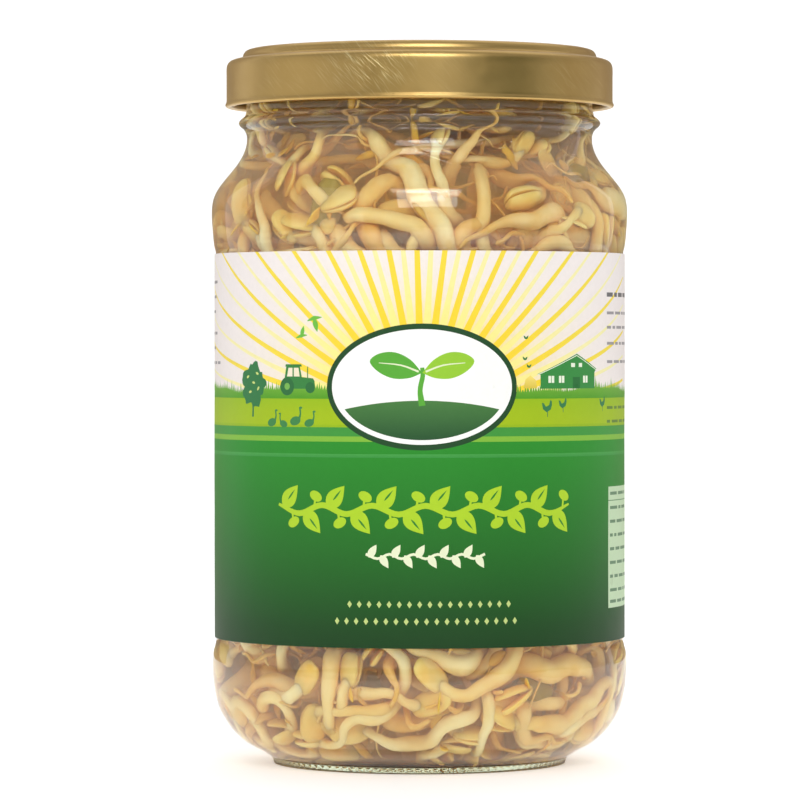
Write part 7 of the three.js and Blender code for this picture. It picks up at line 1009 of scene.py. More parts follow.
[0,87,92,308,71,376,303,83,401,312,92,428,314,85,455,317,64,474,301,44,488,282,23,492,265,4,479,257,-19,464,258,-45,452,264,-62,430,260,-67,401,245,-73,377,244,-93,355,246,-110,333,240,-123,316,237,-134,298,233,-148,281,230,-163,265,227,-171,245],
[0,86,99,129,289,147,152,271,159,157,244,171,161,233,183,165,223,196,164,219,212,170,213,227,178,200,236,182,184,240,191,172,248,201,163,258,210,151,267,217,138,273,227,125,277,239,114,279,249,101,283,260,88,284,266,71,283,270,55,282,282,42,280],
[0,122,103,313,29,611,294,14,588,276,22,567,260,24,559,248,15,549,236,2,547,229,-12,555,230,-25,568,237,-40,575,248,-52,571,257,-67,573,271,-77,577,286,-77,586,302,-71,592,314,-59,592,321,-32,588,326,-9,576,328,3,551,319,7,525,295,-1,512],
[0,103,99,15,-57,976,-2,-37,962,-26,-21,956,-40,-15,944,-49,-18,926,-45,-13,907,-48,-1,892,-50,-3,872,-47,-14,855,-36,-25,844,-24,-36,832,-8,-45,826,8,-55,823,22,-67,815,37,-78,812,51,-90,806,60,-104,795,72,-113,783,88,-119,775,104,-126,766],
[0,101,92,36,-178,516,31,-161,494,32,-152,467,42,-151,444,59,-139,431,79,-128,421,103,-130,414,124,-136,402,142,-139,385,159,-142,367,173,-143,347,191,-132,332,207,-122,316,223,-114,300,238,-105,283,252,-100,259,264,-95,234,271,-85,210,283,-71,189,280,-60,164],
[0,104,109,134,172,61,166,180,68,185,201,65,203,213,81,223,211,99,226,189,114,213,166,117,194,149,111,184,125,113,165,107,118,139,105,116,116,119,111,103,140,104,102,165,98,107,191,99,117,209,103,130,225,109,145,237,118,162,246,126,178,247,141],
[0,123,103,-52,-96,237,-30,-73,232,-24,-46,222,-26,-25,207,-34,-1,201,-50,20,204,-74,28,206,-94,39,219,-113,34,236,-123,15,251,-135,1,268,-141,-20,282,-141,-39,299,-147,-61,312,-149,-86,315,-151,-101,315,-155,-113,321,-159,-125,328,-160,-139,334,-160,-152,338],
[0,120,90,-84,172,707,-105,191,708,-121,214,703,-127,230,706,-131,246,709,-127,262,714,-120,275,722,-111,286,731,-99,293,741,-87,298,752,-79,297,767,-67,293,778,-52,288,784,-41,277,791,-34,264,798,-32,244,806,-35,224,808,-45,205,805,-59,191,800,-79,184,796],
[0,110,88,-68,310,512,-85,304,534,-96,282,550,-99,262,560,-102,241,564,-109,219,557,-109,204,540,-92,194,528,-76,199,512,-55,198,506,-35,201,497,-18,212,486,-3,230,484,11,244,495,17,257,512,11,271,525,1,278,541,-6,277,559,-12,265,574,-24,250,580],
[0,82,102,112,-145,229,92,-126,213,75,-120,189,57,-120,181,36,-122,182,17,-128,186,-1,-137,189,-18,-149,188,-33,-162,193,-52,-169,197,-71,-175,197,-90,-180,202,-108,-189,206,-124,-200,214,-143,-205,219,-159,-213,213,-175,-221,215,-191,-229,219,-206,-239,223,-222,-246,229],
[0,98,89,-195,250,345,-177,231,335,-150,223,344,-134,212,366,-132,195,388,-120,189,413,-129,181,439,-134,190,465,-138,213,480,-148,240,484,-140,265,496,-129,291,492,-108,301,476,-98,306,450,-88,310,425,-86,310,397,-76,294,376,-56,276,367,-42,252,369,-32,231,383],
[0,100,105,-159,74,59,-152,105,61,-150,134,56,-162,152,56,-172,166,69,-178,173,88,-185,176,108,-187,168,128,-187,167,149,-187,156,167,-187,145,185,-176,134,200,-174,118,214,-177,96,217,-173,79,229,-174,64,250,-172,45,268,-167,26,283,-163,4,296,-161,-18,310],
[0,123,95,-233,212,571,-206,201,562,-192,201,537,-179,199,521,-164,188,509,-154,169,502,-157,148,497,-153,131,485,-145,113,475,-136,96,467,-129,78,459,-121,60,450,-114,44,438,-111,32,420,-111,16,405,-110,-8,401,-105,-30,394,-98,-48,382,-90,-66,369,-82,-83,355],
[0,120,91,-72,187,221,-58,166,235,-47,139,238,-27,123,228,-11,108,212,6,87,208,31,76,205,52,79,187,64,93,167,65,113,149,58,126,126,57,149,111,52,170,94,40,192,85,33,211,67,23,224,52,13,243,52,11,265,56,-2,281,64,-23,286,66],
[0,81,98,-142,-203,538,-164,-224,540,-184,-243,530,-201,-248,530,-216,-242,535,-225,-232,545,-234,-221,553,-244,-210,557,-254,-198,561,-263,-184,564,-265,-168,562,-262,-153,555,-256,-140,549,-247,-129,540,-238,-122,529,-226,-122,513,-216,-133,499,-207,-151,497,-203,-169,492,-208,-188,486],
[0,88,104,-18,-283,372,-47,-289,361,-70,-300,347,-83,-300,324,-82,-287,302,-64,-274,288,-41,-280,276,-16,-275,276,-2,-255,286,-9,-238,305,-22,-235,327,-36,-248,346,-59,-259,347,-84,-258,341,-101,-254,322,-107,-256,298,-105,-253,275,-95,-245,255,-79,-234,242,-57,-224,241],
[0,100,97,167,225,957,149,224,981,123,227,995,96,233,993,76,239,975,67,234,950,56,229,927,42,222,905,20,216,892,0,222,876,-18,224,858,-37,226,840,-53,228,820,-66,223,798,-82,218,779,-97,214,760,-111,214,740,-126,211,721,-142,211,704,-158,210,685],
[0,112,94,-92,-233,293,-67,-220,285,-42,-212,274,-29,-203,270,-18,-192,271,-6,-183,277,3,-174,286,7,-160,293,12,-146,298,16,-132,305,19,-123,318,23,-118,333,27,-113,347,28,-101,358,26,-88,367,22,-78,378,19,-71,390,16,-64,404,12,-58,416,7,-52,429],
[0,107,88,244,50,63,251,24,67,258,4,87,258,-8,108,252,-12,130,244,-15,152,245,-17,176,241,-21,198,231,-25,220,232,-35,242,225,-45,262,216,-41,284,207,-50,305,203,-67,321,196,-78,342,191,-79,365,189,-87,388,186,-97,410,179,-106,431,176,-117,451],
[0,91,101,-275,153,426,-277,144,456,-269,143,484,-255,134,495,-243,118,501,-231,104,509,-221,91,521,-210,78,532,-203,71,550,-203,65,570,-209,65,589,-216,68,608,-224,70,627,-234,68,644,-244,64,662,-248,62,675,-256,62,688,-261,61,701,-266,59,714,-272,58,727],
[0,101,86,-198,248,567,-210,236,546,-233,225,531,-247,209,518,-245,189,502,-229,172,494,-212,156,488,-193,141,481,-184,118,478,-175,97,468,-165,78,456,-156,62,441,-147,41,431,-140,20,420,-142,0,406,-140,-13,400,-138,-24,390,-137,-36,381,-136,-48,372,-136,-59,363],
[0,119,88,19,-96,703,40,-112,694,68,-118,693,94,-129,696,122,-130,699,148,-122,711,164,-118,736,178,-110,759,186,-101,786,191,-81,806,191,-57,823,191,-36,843,201,-14,859,204,13,871,192,38,880,182,44,889,174,53,897,165,63,902,157,72,909,146,81,913],
[0,113,97,-202,-242,603,-221,-222,613,-244,-203,609,-251,-180,598,-247,-159,582,-235,-140,568,-222,-121,554,-217,-103,535,-220,-88,512,-223,-61,504,-209,-39,497,-195,-21,483,-184,-9,462,-171,6,443,-170,23,423,-161,33,410,-156,49,403,-149,64,397,-137,77,390,-131,88,377],
[0,121,89,118,132,573,110,118,551,112,99,529,121,90,507,133,97,485,146,110,468,165,122,456,177,131,436,190,139,416,204,152,399,221,162,384,234,165,362,246,161,340,252,166,316,261,168,293,269,170,277,276,171,260,281,170,243,283,168,226,286,166,208],
[0,87,95,79,-21,400,88,-1,420,103,10,442,102,15,469,90,12,494,72,5,514,56,-2,535,45,-9,560,28,-11,581,7,-9,601,-11,-17,620,-24,-25,643,-35,-27,669,-51,-27,692,-55,-36,718,-62,-40,734,-70,-38,748,-76,-36,764,-82,-36,780,-89,-35,795],
[0,95,92,286,139,895,263,125,902,243,105,911,221,105,927,204,99,948,183,100,966,159,111,975,140,121,992,118,112,1008,96,112,1026,84,125,1048,70,138,1068,52,144,1088,31,149,1105,8,157,1119,-7,157,1129,-23,158,1138,-38,158,1149,-51,157,1162,-65,158,1173],
[0,102,98,-108,-249,391,-114,-269,369,-113,-278,341,-120,-277,314,-131,-264,291,-141,-248,271,-150,-230,252,-165,-211,239,-172,-189,222,-183,-173,202,-198,-153,189,-207,-143,163,-218,-137,139,-230,-132,113,-253,-116,106,-269,-105,91,-277,-90,74,-271,-68,63,-269,-44,59,-279,-22,62],
[0,103,112,285,32,665,275,61,679,259,85,683,257,101,686,249,114,693,240,124,702,230,129,714,221,138,725,210,144,736,199,151,746,188,160,754,178,162,768,171,166,782,164,174,795,155,183,805,137,196,818,121,210,834,105,224,848,90,239,864,75,252,880],
[0,110,98,-261,25,1163,-260,2,1144,-256,-12,1118,-249,-15,1105,-241,-14,1093,-233,-13,1080,-230,-10,1066,-223,-5,1053,-216,-4,1040,-212,-4,1025,-203,-1,1013,-196,6,1002,-188,8,989,-181,2,977,-171,-2,966,-163,-12,947,-152,-11,926,-142,-13,905,-133,-22,886,-126,-30,865],
[0,121,86,40,-36,287,48,-62,282,46,-88,268,33,-102,255,13,-105,243,-9,-108,234,-25,-121,222,-41,-134,209,-57,-139,190,-80,-147,188,-102,-145,178,-123,-151,169,-147,-152,166,-168,-144,157,-182,-136,138,-195,-148,120,-217,-158,114,-240,-162,107,-262,-164,96,-280,-149,98],
[0,101,85,-60,157,362,-69,152,338,-83,151,313,-88,140,292,-93,117,285,-87,95,277,-75,74,280,-64,54,288,-48,39,297,-31,30,313,-16,31,332,-1,37,351,10,36,373,15,38,397,30,37,416,41,37,428,51,36,440,61,33,453,70,30,465,80,25,477],
[0,99,104,-215,-182,626,-185,-170,623,-158,-162,630,-142,-165,641,-132,-173,655,-128,-183,671,-120,-195,683,-107,-205,693,-96,-215,705,-84,-224,717,-72,-231,730,-66,-241,746,-54,-249,759,-50,-262,772,-44,-274,786,-33,-286,803,-24,-304,816,-19,-322,829,-13,-330,850,1,-331,870],
[0,119,111,83,-196,293,49,-190,292,29,-177,275,20,-173,263,10,-176,252,2,-180,240,-4,-182,226,-10,-187,213,-14,-199,205,-18,-211,195,-17,-215,181,-15,-223,168,-21,-230,156,-21,-239,143,-17,-250,134,-17,-271,133,-24,-287,123,-19,-299,107,-6,-312,97,13,-317,98],
[0,87,90,-40,-144,818,-36,-123,835,-25,-103,853,-20,-88,857,-13,-73,857,-7,-58,854,-1,-43,853,5,-29,848,11,-14,845,18,0,838,23,9,826,21,22,816,18,38,813,21,54,809,25,69,804,35,87,796,50,96,785,59,96,766,65,107,749,67,119,733],
[0,106,91,59,159,409,78,164,389,103,164,376,121,174,366,135,193,367,138,211,383,132,216,404,119,210,422,110,207,442,101,192,457,98,170,464,94,147,459,95,130,442,107,126,422,121,135,406,135,148,404,150,160,405,162,175,409,167,190,420,165,202,435],
[0,107,101,-209,235,479,-215,213,499,-226,193,517,-238,165,522,-230,137,528,-215,113,540,-188,98,542,-160,90,532,-138,97,512,-117,114,499,-89,121,494,-70,145,489,-62,174,485,-48,196,468,-31,219,459,-16,236,445,-4,254,427,11,273,415,30,291,407,45,310,396],
[0,98,91,-160,-256,444,-167,-230,453,-167,-202,457,-162,-187,456,-153,-174,454,-142,-162,450,-128,-154,453,-115,-154,464,-104,-153,476,-89,-144,480,-76,-135,476,-62,-127,475,-47,-124,471,-32,-123,464,-17,-126,458,7,-133,460,31,-133,459,54,-143,455,68,-161,446,84,-178,439],
[0,99,105,-270,115,959,-238,115,963,-211,121,974,-200,129,981,-191,139,990,-184,150,999,-177,161,1008,-170,172,1017,-163,182,1028,-157,192,1039,-147,202,1046,-135,212,1050,-125,222,1057,-115,232,1064,-105,241,1073,-87,253,1084,-68,263,1093,-47,271,1101,-25,276,1108,-1,278,1112],
[0,104,97,93,301,435,100,290,462,115,268,473,122,247,474,121,226,476,127,206,470,140,194,457,146,188,437,144,186,415,131,181,398,112,188,390,105,203,375,94,219,365,80,236,367,72,251,379,57,260,400,38,257,419,30,251,445,32,240,469,40,225,490],
[0,90,90,39,9,662,26,8,637,4,7,618,-9,9,610,-22,3,603,-36,2,597,-50,2,589,-66,3,587,-80,11,587,-94,16,581,-107,15,573,-119,15,563,-132,18,555,-146,23,550,-159,29,543,-176,35,532,-194,33,522,-213,30,512,-230,31,501,-249,33,491],
[0,83,102,197,-169,1075,169,-166,1060,154,-175,1036,132,-179,1028,108,-177,1033,89,-179,1049,79,-174,1070,79,-164,1092,90,-154,1111,109,-147,1124,131,-137,1126,148,-123,1117,163,-114,1099,170,-111,1077,167,-111,1053,153,-114,1030,130,-118,1017,104,-120,1021,82,-120,1036,69,-116,1059],
[0,105,87,159,138,1013,177,132,994,183,128,965,180,119,950,176,106,939,178,89,934,175,73,928,167,58,924,156,46,921,145,33,926,133,21,929,121,10,935,111,4,948,107,1,964,105,-1,981,100,2,997,99,4,1014,101,7,1031,108,15,1045,117,25,1056],
[0,110,101,8,114,66,39,112,64,65,106,52,83,96,53,95,80,55,101,61,57,109,43,58,118,25,59,126,7,62,134,-12,63,142,-30,63,150,-48,70,155,-64,79,162,-82,87,166,-101,91,172,-125,93,177,-149,95,182,-173,101,194,-190,117,204,-212,123],
[0,119,87,39,-12,262,33,14,256,18,37,246,3,48,237,-7,57,221,-14,61,201,-27,63,185,-38,57,168,-41,48,149,-37,35,133,-25,21,123,-20,3,113,-6,-10,104,14,-14,96,34,-19,101,48,-23,109,61,-22,119,72,-18,131,85,-13,139,95,-4,148],
[0,96,85,-59,312,394,-57,311,367,-46,321,342,-33,323,331,-18,322,324,-5,321,314,9,320,305,25,312,302,38,302,306,51,292,309,65,284,309,79,275,308,91,264,304,103,252,304,111,237,308,123,223,325,142,208,332,158,190,339,168,173,354,174,156,371],
[0,100,86,-38,16,731,-34,26,706,-32,29,678,-42,27,650,-58,18,627,-80,4,614,-109,0,610,-135,-11,619,-155,-22,638,-165,-32,664,-162,-50,687,-147,-64,708,-124,-73,725,-96,-74,733,-67,-77,728,-44,-77,713,-24,-70,698,-2,-74,680,4,-82,655,-4,-87,629],
[0,84,98,-170,106,1163,-146,93,1151,-130,94,1126,-125,110,1105,-117,134,1097,-102,157,1092,-92,170,1070,-95,168,1043,-86,173,1018,-79,159,996,-77,136,981,-71,122,959,-63,112,936,-67,101,911,-73,85,890,-71,64,878,-69,46,863,-69,28,847,-70,10,832,-72,-10,820],
[0,118,99,-271,160,346,-249,138,341,-239,114,328,-219,104,320,-204,97,303,-193,99,281,-182,116,268,-167,127,252,-150,126,236,-139,125,215,-129,128,193,-120,148,182,-111,167,173,-102,184,159,-99,202,144,-95,208,126,-88,218,111,-84,234,102,-80,249,91,-69,264,88],
[0,111,96,124,292,188,111,294,215,95,301,238,88,301,252,79,295,264,73,282,271,67,271,280,58,259,286,51,245,289,44,234,298,38,226,310,31,215,319,26,202,327,23,187,331,26,173,338,32,160,343,34,145,347,32,130,347,31,115,345,34,100,343],
[0,123,105,-150,166,341,-126,166,361,-104,183,372,-91,187,387,-83,188,407,-84,188,427,-94,189,445,-101,179,462,-108,167,477,-120,160,492,-122,151,511,-135,139,522,-153,129,523,-170,120,515,-176,103,504,-183,82,491,-189,69,468,-185,60,443,-170,49,424,-147,45,412],
[0,121,111,18,-11,489,4,-30,464,5,-33,435,-9,-37,410,-30,-54,401,-48,-76,408,-52,-101,420,-56,-129,421,-70,-153,418,-81,-178,429,-86,-199,447,-91,-224,458,-99,-246,473,-108,-268,487,-119,-289,503,-120,-298,520,-119,-303,538,-116,-307,557,-115,-308,576,-113,-310,595],
[0,82,110,37,-165,929,58,-165,957,71,-176,981,85,-194,994,98,-215,999,99,-236,1015,97,-261,1021,101,-285,1009,104,-299,987,103,-305,962,99,-301,937,104,-303,911,111,-288,891,103,-271,872,111,-258,852,119,-238,846,129,-220,848,137,-202,854,147,-186,863,159,-175,877],
[0,83,100,-140,128,666,-115,136,648,-99,159,638,-96,183,640,-99,203,653,-92,214,674,-92,220,697,-98,229,720,-101,248,734,-102,262,754,-112,268,776,-124,271,796,-136,269,817,-147,260,837,-163,259,855,-178,261,873,-194,255,889,-212,248,903,-228,239,917,-243,225,930],
[0,107,97,-304,91,898,-309,61,893,-320,49,867,-321,37,841,-319,37,814,-316,47,787,-306,60,765,-294,76,745,-274,90,732,-254,109,725,-239,132,729,-223,154,737,-200,171,738,-181,188,746,-161,205,756,-145,218,765,-130,231,775,-114,246,781,-102,261,792,-89,276,803],
[0,88,95,-262,30,1085,-264,3,1072,-283,-14,1055,-284,-28,1043,-279,-43,1035,-266,-55,1029,-253,-65,1024,-240,-77,1021,-227,-89,1024,-212,-96,1029,-197,-103,1034,-182,-111,1040,-166,-116,1046,-149,-119,1050,-134,-117,1057,-116,-115,1066,-99,-121,1075,-83,-126,1084,-66,-128,1095,-48,-129,1103],
[0,100,108,-283,29,778,-268,52,797,-253,76,802,-248,95,804,-235,111,804,-217,119,805,-199,127,805,-182,138,802,-162,143,805,-146,154,811,-129,164,813,-113,175,814,-97,187,815,-80,196,821,-60,198,823,-38,205,821,-20,219,824,-3,234,827,12,249,832,27,266,836],
[0,121,97,32,200,656,18,223,669,-1,240,682,-16,245,694,-33,242,704,-49,230,707,-61,215,701,-66,200,689,-65,185,676,-62,177,657,-47,172,644,-32,173,632,-15,184,628,-2,200,633,1,219,638,-8,240,643,-25,252,653,-44,252,665,-65,246,671,-83,232,667],
[0,86,103,-144,274,761,-160,268,734,-177,274,710,-180,271,691,-177,266,672,-168,258,655,-159,249,640,-150,237,626,-143,232,608,-132,221,595,-121,207,585,-114,194,571,-103,182,560,-88,172,550,-78,157,542,-57,143,532,-35,131,522,-20,115,505,-4,100,490,16,85,480],
[0,90,105,-109,-86,762,-83,-84,782,-64,-75,803,-58,-68,817,-55,-59,831,-57,-48,844,-64,-37,855,-72,-24,861,-79,-8,863,-83,8,862,-88,24,857,-97,35,847,-108,39,835,-120,40,822,-128,43,808,-135,41,781,-129,35,755,-112,27,735,-86,19,730,-65,2,733],
[0,102,108,121,81,454,118,55,432,134,38,414,147,27,413,159,16,412,173,7,415,183,-7,413,189,-21,407,198,-33,400,204,-44,389,206,-54,375,214,-66,367,221,-74,354,226,-80,339,232,-90,327,244,-100,313,254,-115,303,266,-131,295,276,-144,281,282,-153,263],
[0,82,94,292,-120,721,288,-126,693,280,-128,664,266,-122,646,246,-114,637,230,-102,625,213,-87,615,197,-72,608,183,-54,601,166,-37,594,144,-29,588,126,-14,585,105,-4,581,87,9,571,71,23,560,59,33,554,46,44,555,33,54,552,20,63,547,7,72,539],
[0,100,93,-123,55,914,-120,76,932,-123,98,951,-134,109,974,-132,105,1002,-119,93,1023,-97,83,1035,-77,65,1041,-71,41,1052,-76,13,1050,-83,-8,1035,-102,-25,1022,-125,-26,1007,-140,-13,989,-153,11,982,-167,25,983,-184,34,991,-192,50,1001,-193,66,1015,-188,75,1032],
[0,123,109,234,-107,177,257,-130,166,268,-156,173,266,-176,179,256,-194,181,242,-209,186,227,-223,181,213,-236,175,196,-249,180,176,-250,188,155,-246,185,136,-252,175,120,-247,162,103,-239,153,82,-239,148,63,-236,144,45,-229,141,26,-227,137,7,-228,134,-12,-225,131],
[0,99,109,-173,33,1161,-186,65,1157,-190,91,1146,-189,105,1135,-186,112,1119,-189,118,1102,-196,123,1086,-198,130,1070,-202,135,1053,-205,142,1037,-207,149,1021,-210,158,1006,-217,167,992,-228,179,983,-231,192,971,-224,205,950,-229,220,930,-236,231,908,-231,236,884,-227,240,859],
[0,78,96,-304,91,985,-310,62,981,-304,38,967,-289,29,958,-272,19,957,-253,18,962,-237,22,972,-221,32,978,-202,38,977,-188,51,980,-177,64,989,-169,81,997,-160,95,1006,-152,110,1016,-143,125,1024,-131,137,1035,-119,151,1045,-113,170,1050,-101,186,1056,-84,195,1062],
[0,87,101,-13,-200,524,-6,-177,503,6,-165,479,19,-165,461,29,-171,442,46,-176,427,60,-183,410,70,-179,390,83,-173,373,101,-174,358,117,-174,343,132,-175,326,147,-168,310,158,-168,290,165,-176,269,163,-177,251,162,-173,233,164,-168,215,167,-157,201,166,-145,187],
[0,123,95,-94,-181,1121,-92,-210,1119,-83,-236,1108,-74,-251,1094,-66,-258,1074,-55,-258,1054,-40,-268,1039,-23,-283,1035,-12,-295,1019,-5,-304,999,6,-306,979,20,-315,964,35,-316,946,42,-320,925,48,-318,903,62,-317,891,73,-317,876,80,-318,858,92,-316,844,102,-314,828],
[0,120,112,101,-123,485,79,-120,458,52,-119,448,31,-130,435,7,-144,438,-6,-165,450,-2,-189,461,12,-205,479,35,-208,494,61,-200,493,82,-184,486,87,-166,467,94,-158,441,84,-158,416,60,-154,402,38,-167,399,29,-190,409,20,-206,428,24,-215,453,33,-236,467],
[0,120,108,-32,-30,168,-35,-57,187,-15,-77,197,3,-90,189,20,-97,176,40,-95,165,51,-83,147,51,-66,131,35,-53,119,17,-39,124,13,-19,135,4,-5,151,-3,-3,173,-2,-11,195,4,-27,210,17,-43,220,34,-58,220,52,-68,211,69,-73,198,84,-72,181],
[0,101,99,164,50,1082,145,58,1059,120,60,1044,101,65,1043,87,79,1043,76,94,1047,61,105,1055,48,118,1060,35,132,1064,26,147,1073,10,152,1084,-7,158,1092,-21,168,1101,-35,177,1111,-49,185,1122,-70,199,1131,-88,218,1137,-111,233,1139,-137,241,1140,-160,227,1142],
[0,99,89,105,36,892,96,11,892,101,-15,879,92,-32,881,76,-42,880,57,-44,876,41,-37,868,28,-22,869,27,-3,869,24,15,869,28,33,866,35,46,853,50,49,841,66,44,832,80,35,824,93,14,817,93,-10,823,82,-31,829,61,-43,834,38,-47,841],
[0,112,92,-33,-117,557,-26,-98,536,-35,-80,515,-36,-52,511,-26,-27,522,-23,-12,547,-14,-17,574,1,-37,587,20,-47,605,23,-61,630,25,-83,648,24,-110,655,19,-138,657,17,-166,652,20,-194,655,15,-211,668,12,-229,677,10,-249,685,-3,-265,692,-8,-285,688],
[0,93,96,300,-118,956,296,-118,927,304,-121,898,303,-117,872,292,-112,848,270,-114,834,251,-121,816,236,-111,796,222,-94,782,213,-79,762,197,-61,751,174,-48,746,152,-50,731,131,-43,716,110,-27,716,85,-21,704,64,-20,688,51,-16,664,44,-11,639,40,-7,613],
[0,89,98,52,-16,1009,30,-12,988,9,-9,969,-7,-5,962,-24,0,961,-36,12,968,-50,24,966,-63,32,956,-77,37,947,-92,48,946,-107,55,952,-124,56,959,-139,59,967,-154,69,973,-163,85,975,-179,101,984,-196,116,993,-213,131,1004,-230,146,1013,-244,164,1022],
[0,80,91,65,47,743,72,21,733,73,3,710,69,-4,693,61,-4,676,62,-6,658,59,-4,640,54,2,623,48,15,611,46,32,605,50,50,603,50,69,601,54,86,607,61,95,622,67,102,638,74,108,649,83,110,661,90,109,673,100,105,682,106,102,695],
[0,90,89,38,-144,711,50,-132,733,46,-109,752,33,-96,760,16,-91,767,-2,-83,769,-15,-71,776,-30,-64,787,-46,-56,795,-61,-48,802,-76,-38,808,-91,-27,814,-105,-21,826,-121,-19,838,-136,-10,846,-148,-1,851,-159,9,857,-168,19,866,-181,26,874,-195,32,879],
[0,90,98,126,48,344,133,45,374,139,26,395,138,7,400,136,-10,391,125,-22,382,110,-23,370,104,-22,352,102,-29,335,108,-24,317,118,-11,308,127,6,304,136,21,310,151,30,318,163,32,331,172,30,350,177,21,368,179,5,380,175,-15,387,169,-34,384],
[0,116,94,-282,143,257,-260,158,267,-244,183,268,-221,184,261,-202,172,253,-193,153,242,-197,138,225,-208,122,210,-205,100,202,-207,80,189,-215,57,190,-233,41,192,-247,24,200,-253,3,211,-262,-19,205,-269,-43,197,-274,-68,205,-278,-92,217,-294,-114,219,-302,-136,207],
[0,116,93,130,10,711,130,-12,690,106,-30,689,80,-42,695,52,-38,691,29,-22,683,11,-1,680,-1,22,667,-1,50,658,18,73,658,45,82,657,74,83,656,98,81,644,127,81,636,141,63,616,139,44,610,131,27,609,124,10,605,114,-5,600,102,-16,593],
[0,113,103,75,-22,254,60,-49,245,57,-78,243,60,-103,247,73,-124,253,94,-135,262,119,-139,266,140,-137,280,165,-142,283,190,-133,284,209,-122,272,221,-104,258,227,-80,248,216,-63,232,205,-43,221,184,-30,210,167,-36,189,154,-39,166,134,-49,152,124,-64,133],
[0,79,107,-145,183,569,-150,150,563,-149,124,550,-140,113,541,-126,105,535,-112,100,526,-104,93,512,-91,90,501,-77,88,491,-63,89,481,-48,88,473,-34,83,463,-22,80,452,-8,80,442,7,81,434,24,82,425,38,86,413,52,86,402,68,87,392,83,94,383],
[0,102,89,-206,165,1154,-184,150,1150,-161,139,1135,-152,142,1117,-144,143,1099,-143,148,1078,-143,154,1059,-137,164,1041,-127,162,1023,-116,164,1005,-113,172,985,-112,183,968,-107,191,949,-100,200,932,-96,202,912,-90,202,892,-84,208,874,-79,214,855,-70,217,837,-64,213,818],
[0,83,94,-191,228,765,-165,240,772,-138,248,778,-117,250,797,-104,242,821,-106,227,845,-120,207,860,-140,187,858,-165,176,851,-180,167,828,-180,166,799,-160,162,779,-146,175,758,-123,189,749,-96,195,756,-79,197,776,-73,194,801,-67,177,819,-71,159,837,-87,144,851],
[0,93,103,-119,-290,990,-147,-279,982,-172,-272,998,-182,-256,1007,-187,-236,1012,-190,-216,1003,-180,-202,992,-164,-188,992,-156,-170,998,-146,-153,1005,-139,-134,1010,-133,-115,1013,-122,-98,1016,-112,-82,1023,-99,-67,1030,-82,-56,1039,-64,-48,1049,-46,-34,1050,-29,-19,1054,-11,-6,1055],
[0,78,104,33,-224,60,35,-190,60,22,-165,70,10,-150,66,6,-134,55,9,-114,53,19,-97,55,36,-87,58,47,-73,64,59,-58,67,65,-41,74,68,-25,85,70,-9,92,69,10,95,67,29,94,66,43,97,62,57,97,58,70,99,53,83,102,47,96,106],
[0,100,89,149,280,225,155,276,198,172,258,184,179,239,172,173,218,165,178,196,158,191,179,150,204,160,148,217,144,136,215,127,120,216,107,108,222,91,93,223,70,83,217,48,77,218,28,66,219,11,56,214,-6,48,206,-23,44,194,-38,43,183,-54,41],
[0,97,92,124,-98,142,142,-76,140,151,-49,133,170,-32,123,198,-26,118,224,-30,133,229,-44,157,223,-66,174,205,-85,186,188,-80,209,164,-83,222,136,-75,219,120,-56,205,121,-33,188,135,-16,172,144,-4,166,155,6,162,170,11,164,185,9,167,198,4,175],
[0,118,93,13,-263,1000,-16,-263,994,-40,-277,1004,-52,-290,1010,-68,-298,1005,-83,-300,992,-91,-289,979,-93,-281,963,-86,-284,945,-83,-299,936,-79,-312,926,-71,-312,910,-60,-313,896,-44,-316,892,-31,-310,885,-14,-302,883,0,-297,895,16,-289,895,31,-279,899,36,-263,907],
[0,116,110,-8,69,295,-13,70,329,-21,65,357,-37,71,378,-55,76,397,-74,83,414,-90,101,427,-109,117,437,-125,133,451,-142,154,456,-166,166,460,-185,176,479,-196,179,503,-206,177,528,-226,180,546,-244,186,562,-254,197,581,-259,201,605,-265,195,627,-270,190,650],
[0,95,88,317,8,134,307,19,113,279,26,109,264,29,117,256,31,131,246,32,145,242,37,160,235,45,174,229,48,189,221,51,204,212,53,218,201,57,230,188,63,239,174,69,247,165,73,260,150,75,278,135,82,294,123,94,310,116,106,329,101,111,345],
[0,86,91,-44,111,750,-65,94,740,-80,91,714,-92,90,697,-107,94,683,-120,98,666,-134,99,650,-149,110,638,-162,124,628,-176,136,617,-191,146,605,-206,146,589,-221,149,575,-235,158,560,-247,160,543,-256,162,532,-267,165,522,-276,169,512,-283,170,500,-285,169,486],
[0,94,92,278,18,833,278,35,810,279,44,783,275,49,761,262,42,742,247,27,733,235,7,737,216,-2,746,202,-18,754,199,-34,772,192,-35,794,187,-20,812,189,-4,827,195,14,842,212,29,846,230,45,835,230,61,815,221,63,790,210,52,770,195,33,761],
[0,105,97,-74,-262,373,-55,-248,391,-37,-253,414,-19,-254,420,1,-252,424,21,-251,423,40,-255,417,55,-266,409,64,-276,394,71,-281,376,69,-287,356,67,-292,337,69,-306,322,64,-313,304,61,-316,284,59,-317,270,57,-320,256,54,-324,242,51,-326,228,50,-327,214],
[0,87,86,-234,32,1106,-218,19,1088,-204,-2,1075,-205,-24,1066,-211,-47,1067,-221,-67,1076,-239,-78,1086,-253,-81,1105,-257,-76,1127,-260,-64,1146,-262,-44,1160,-251,-24,1166,-234,-8,1165,-214,0,1155,-199,1,1137,-184,-7,1123,-170,-24,1115,-171,-47,1108,-184,-66,1107,-191,-85,1118],
[0,119,105,104,282,503,113,251,507,131,229,502,135,213,511,138,195,517,144,180,527,145,171,544,140,168,563,128,171,578,121,172,595,115,176,613,108,185,630,98,196,641,82,203,650,69,208,664,61,217,682,54,229,697,46,241,713,35,247,730,21,257,744],
[0,84,99,10,75,739,35,92,744,53,109,760,72,105,776,87,88,784,103,72,791,110,50,799,99,27,799,87,9,789,77,-1,769,63,-8,753,51,-6,732,40,-1,712,34,13,693,45,32,683,54,58,680,72,76,689,94,79,704,113,71,722,128,55,738],
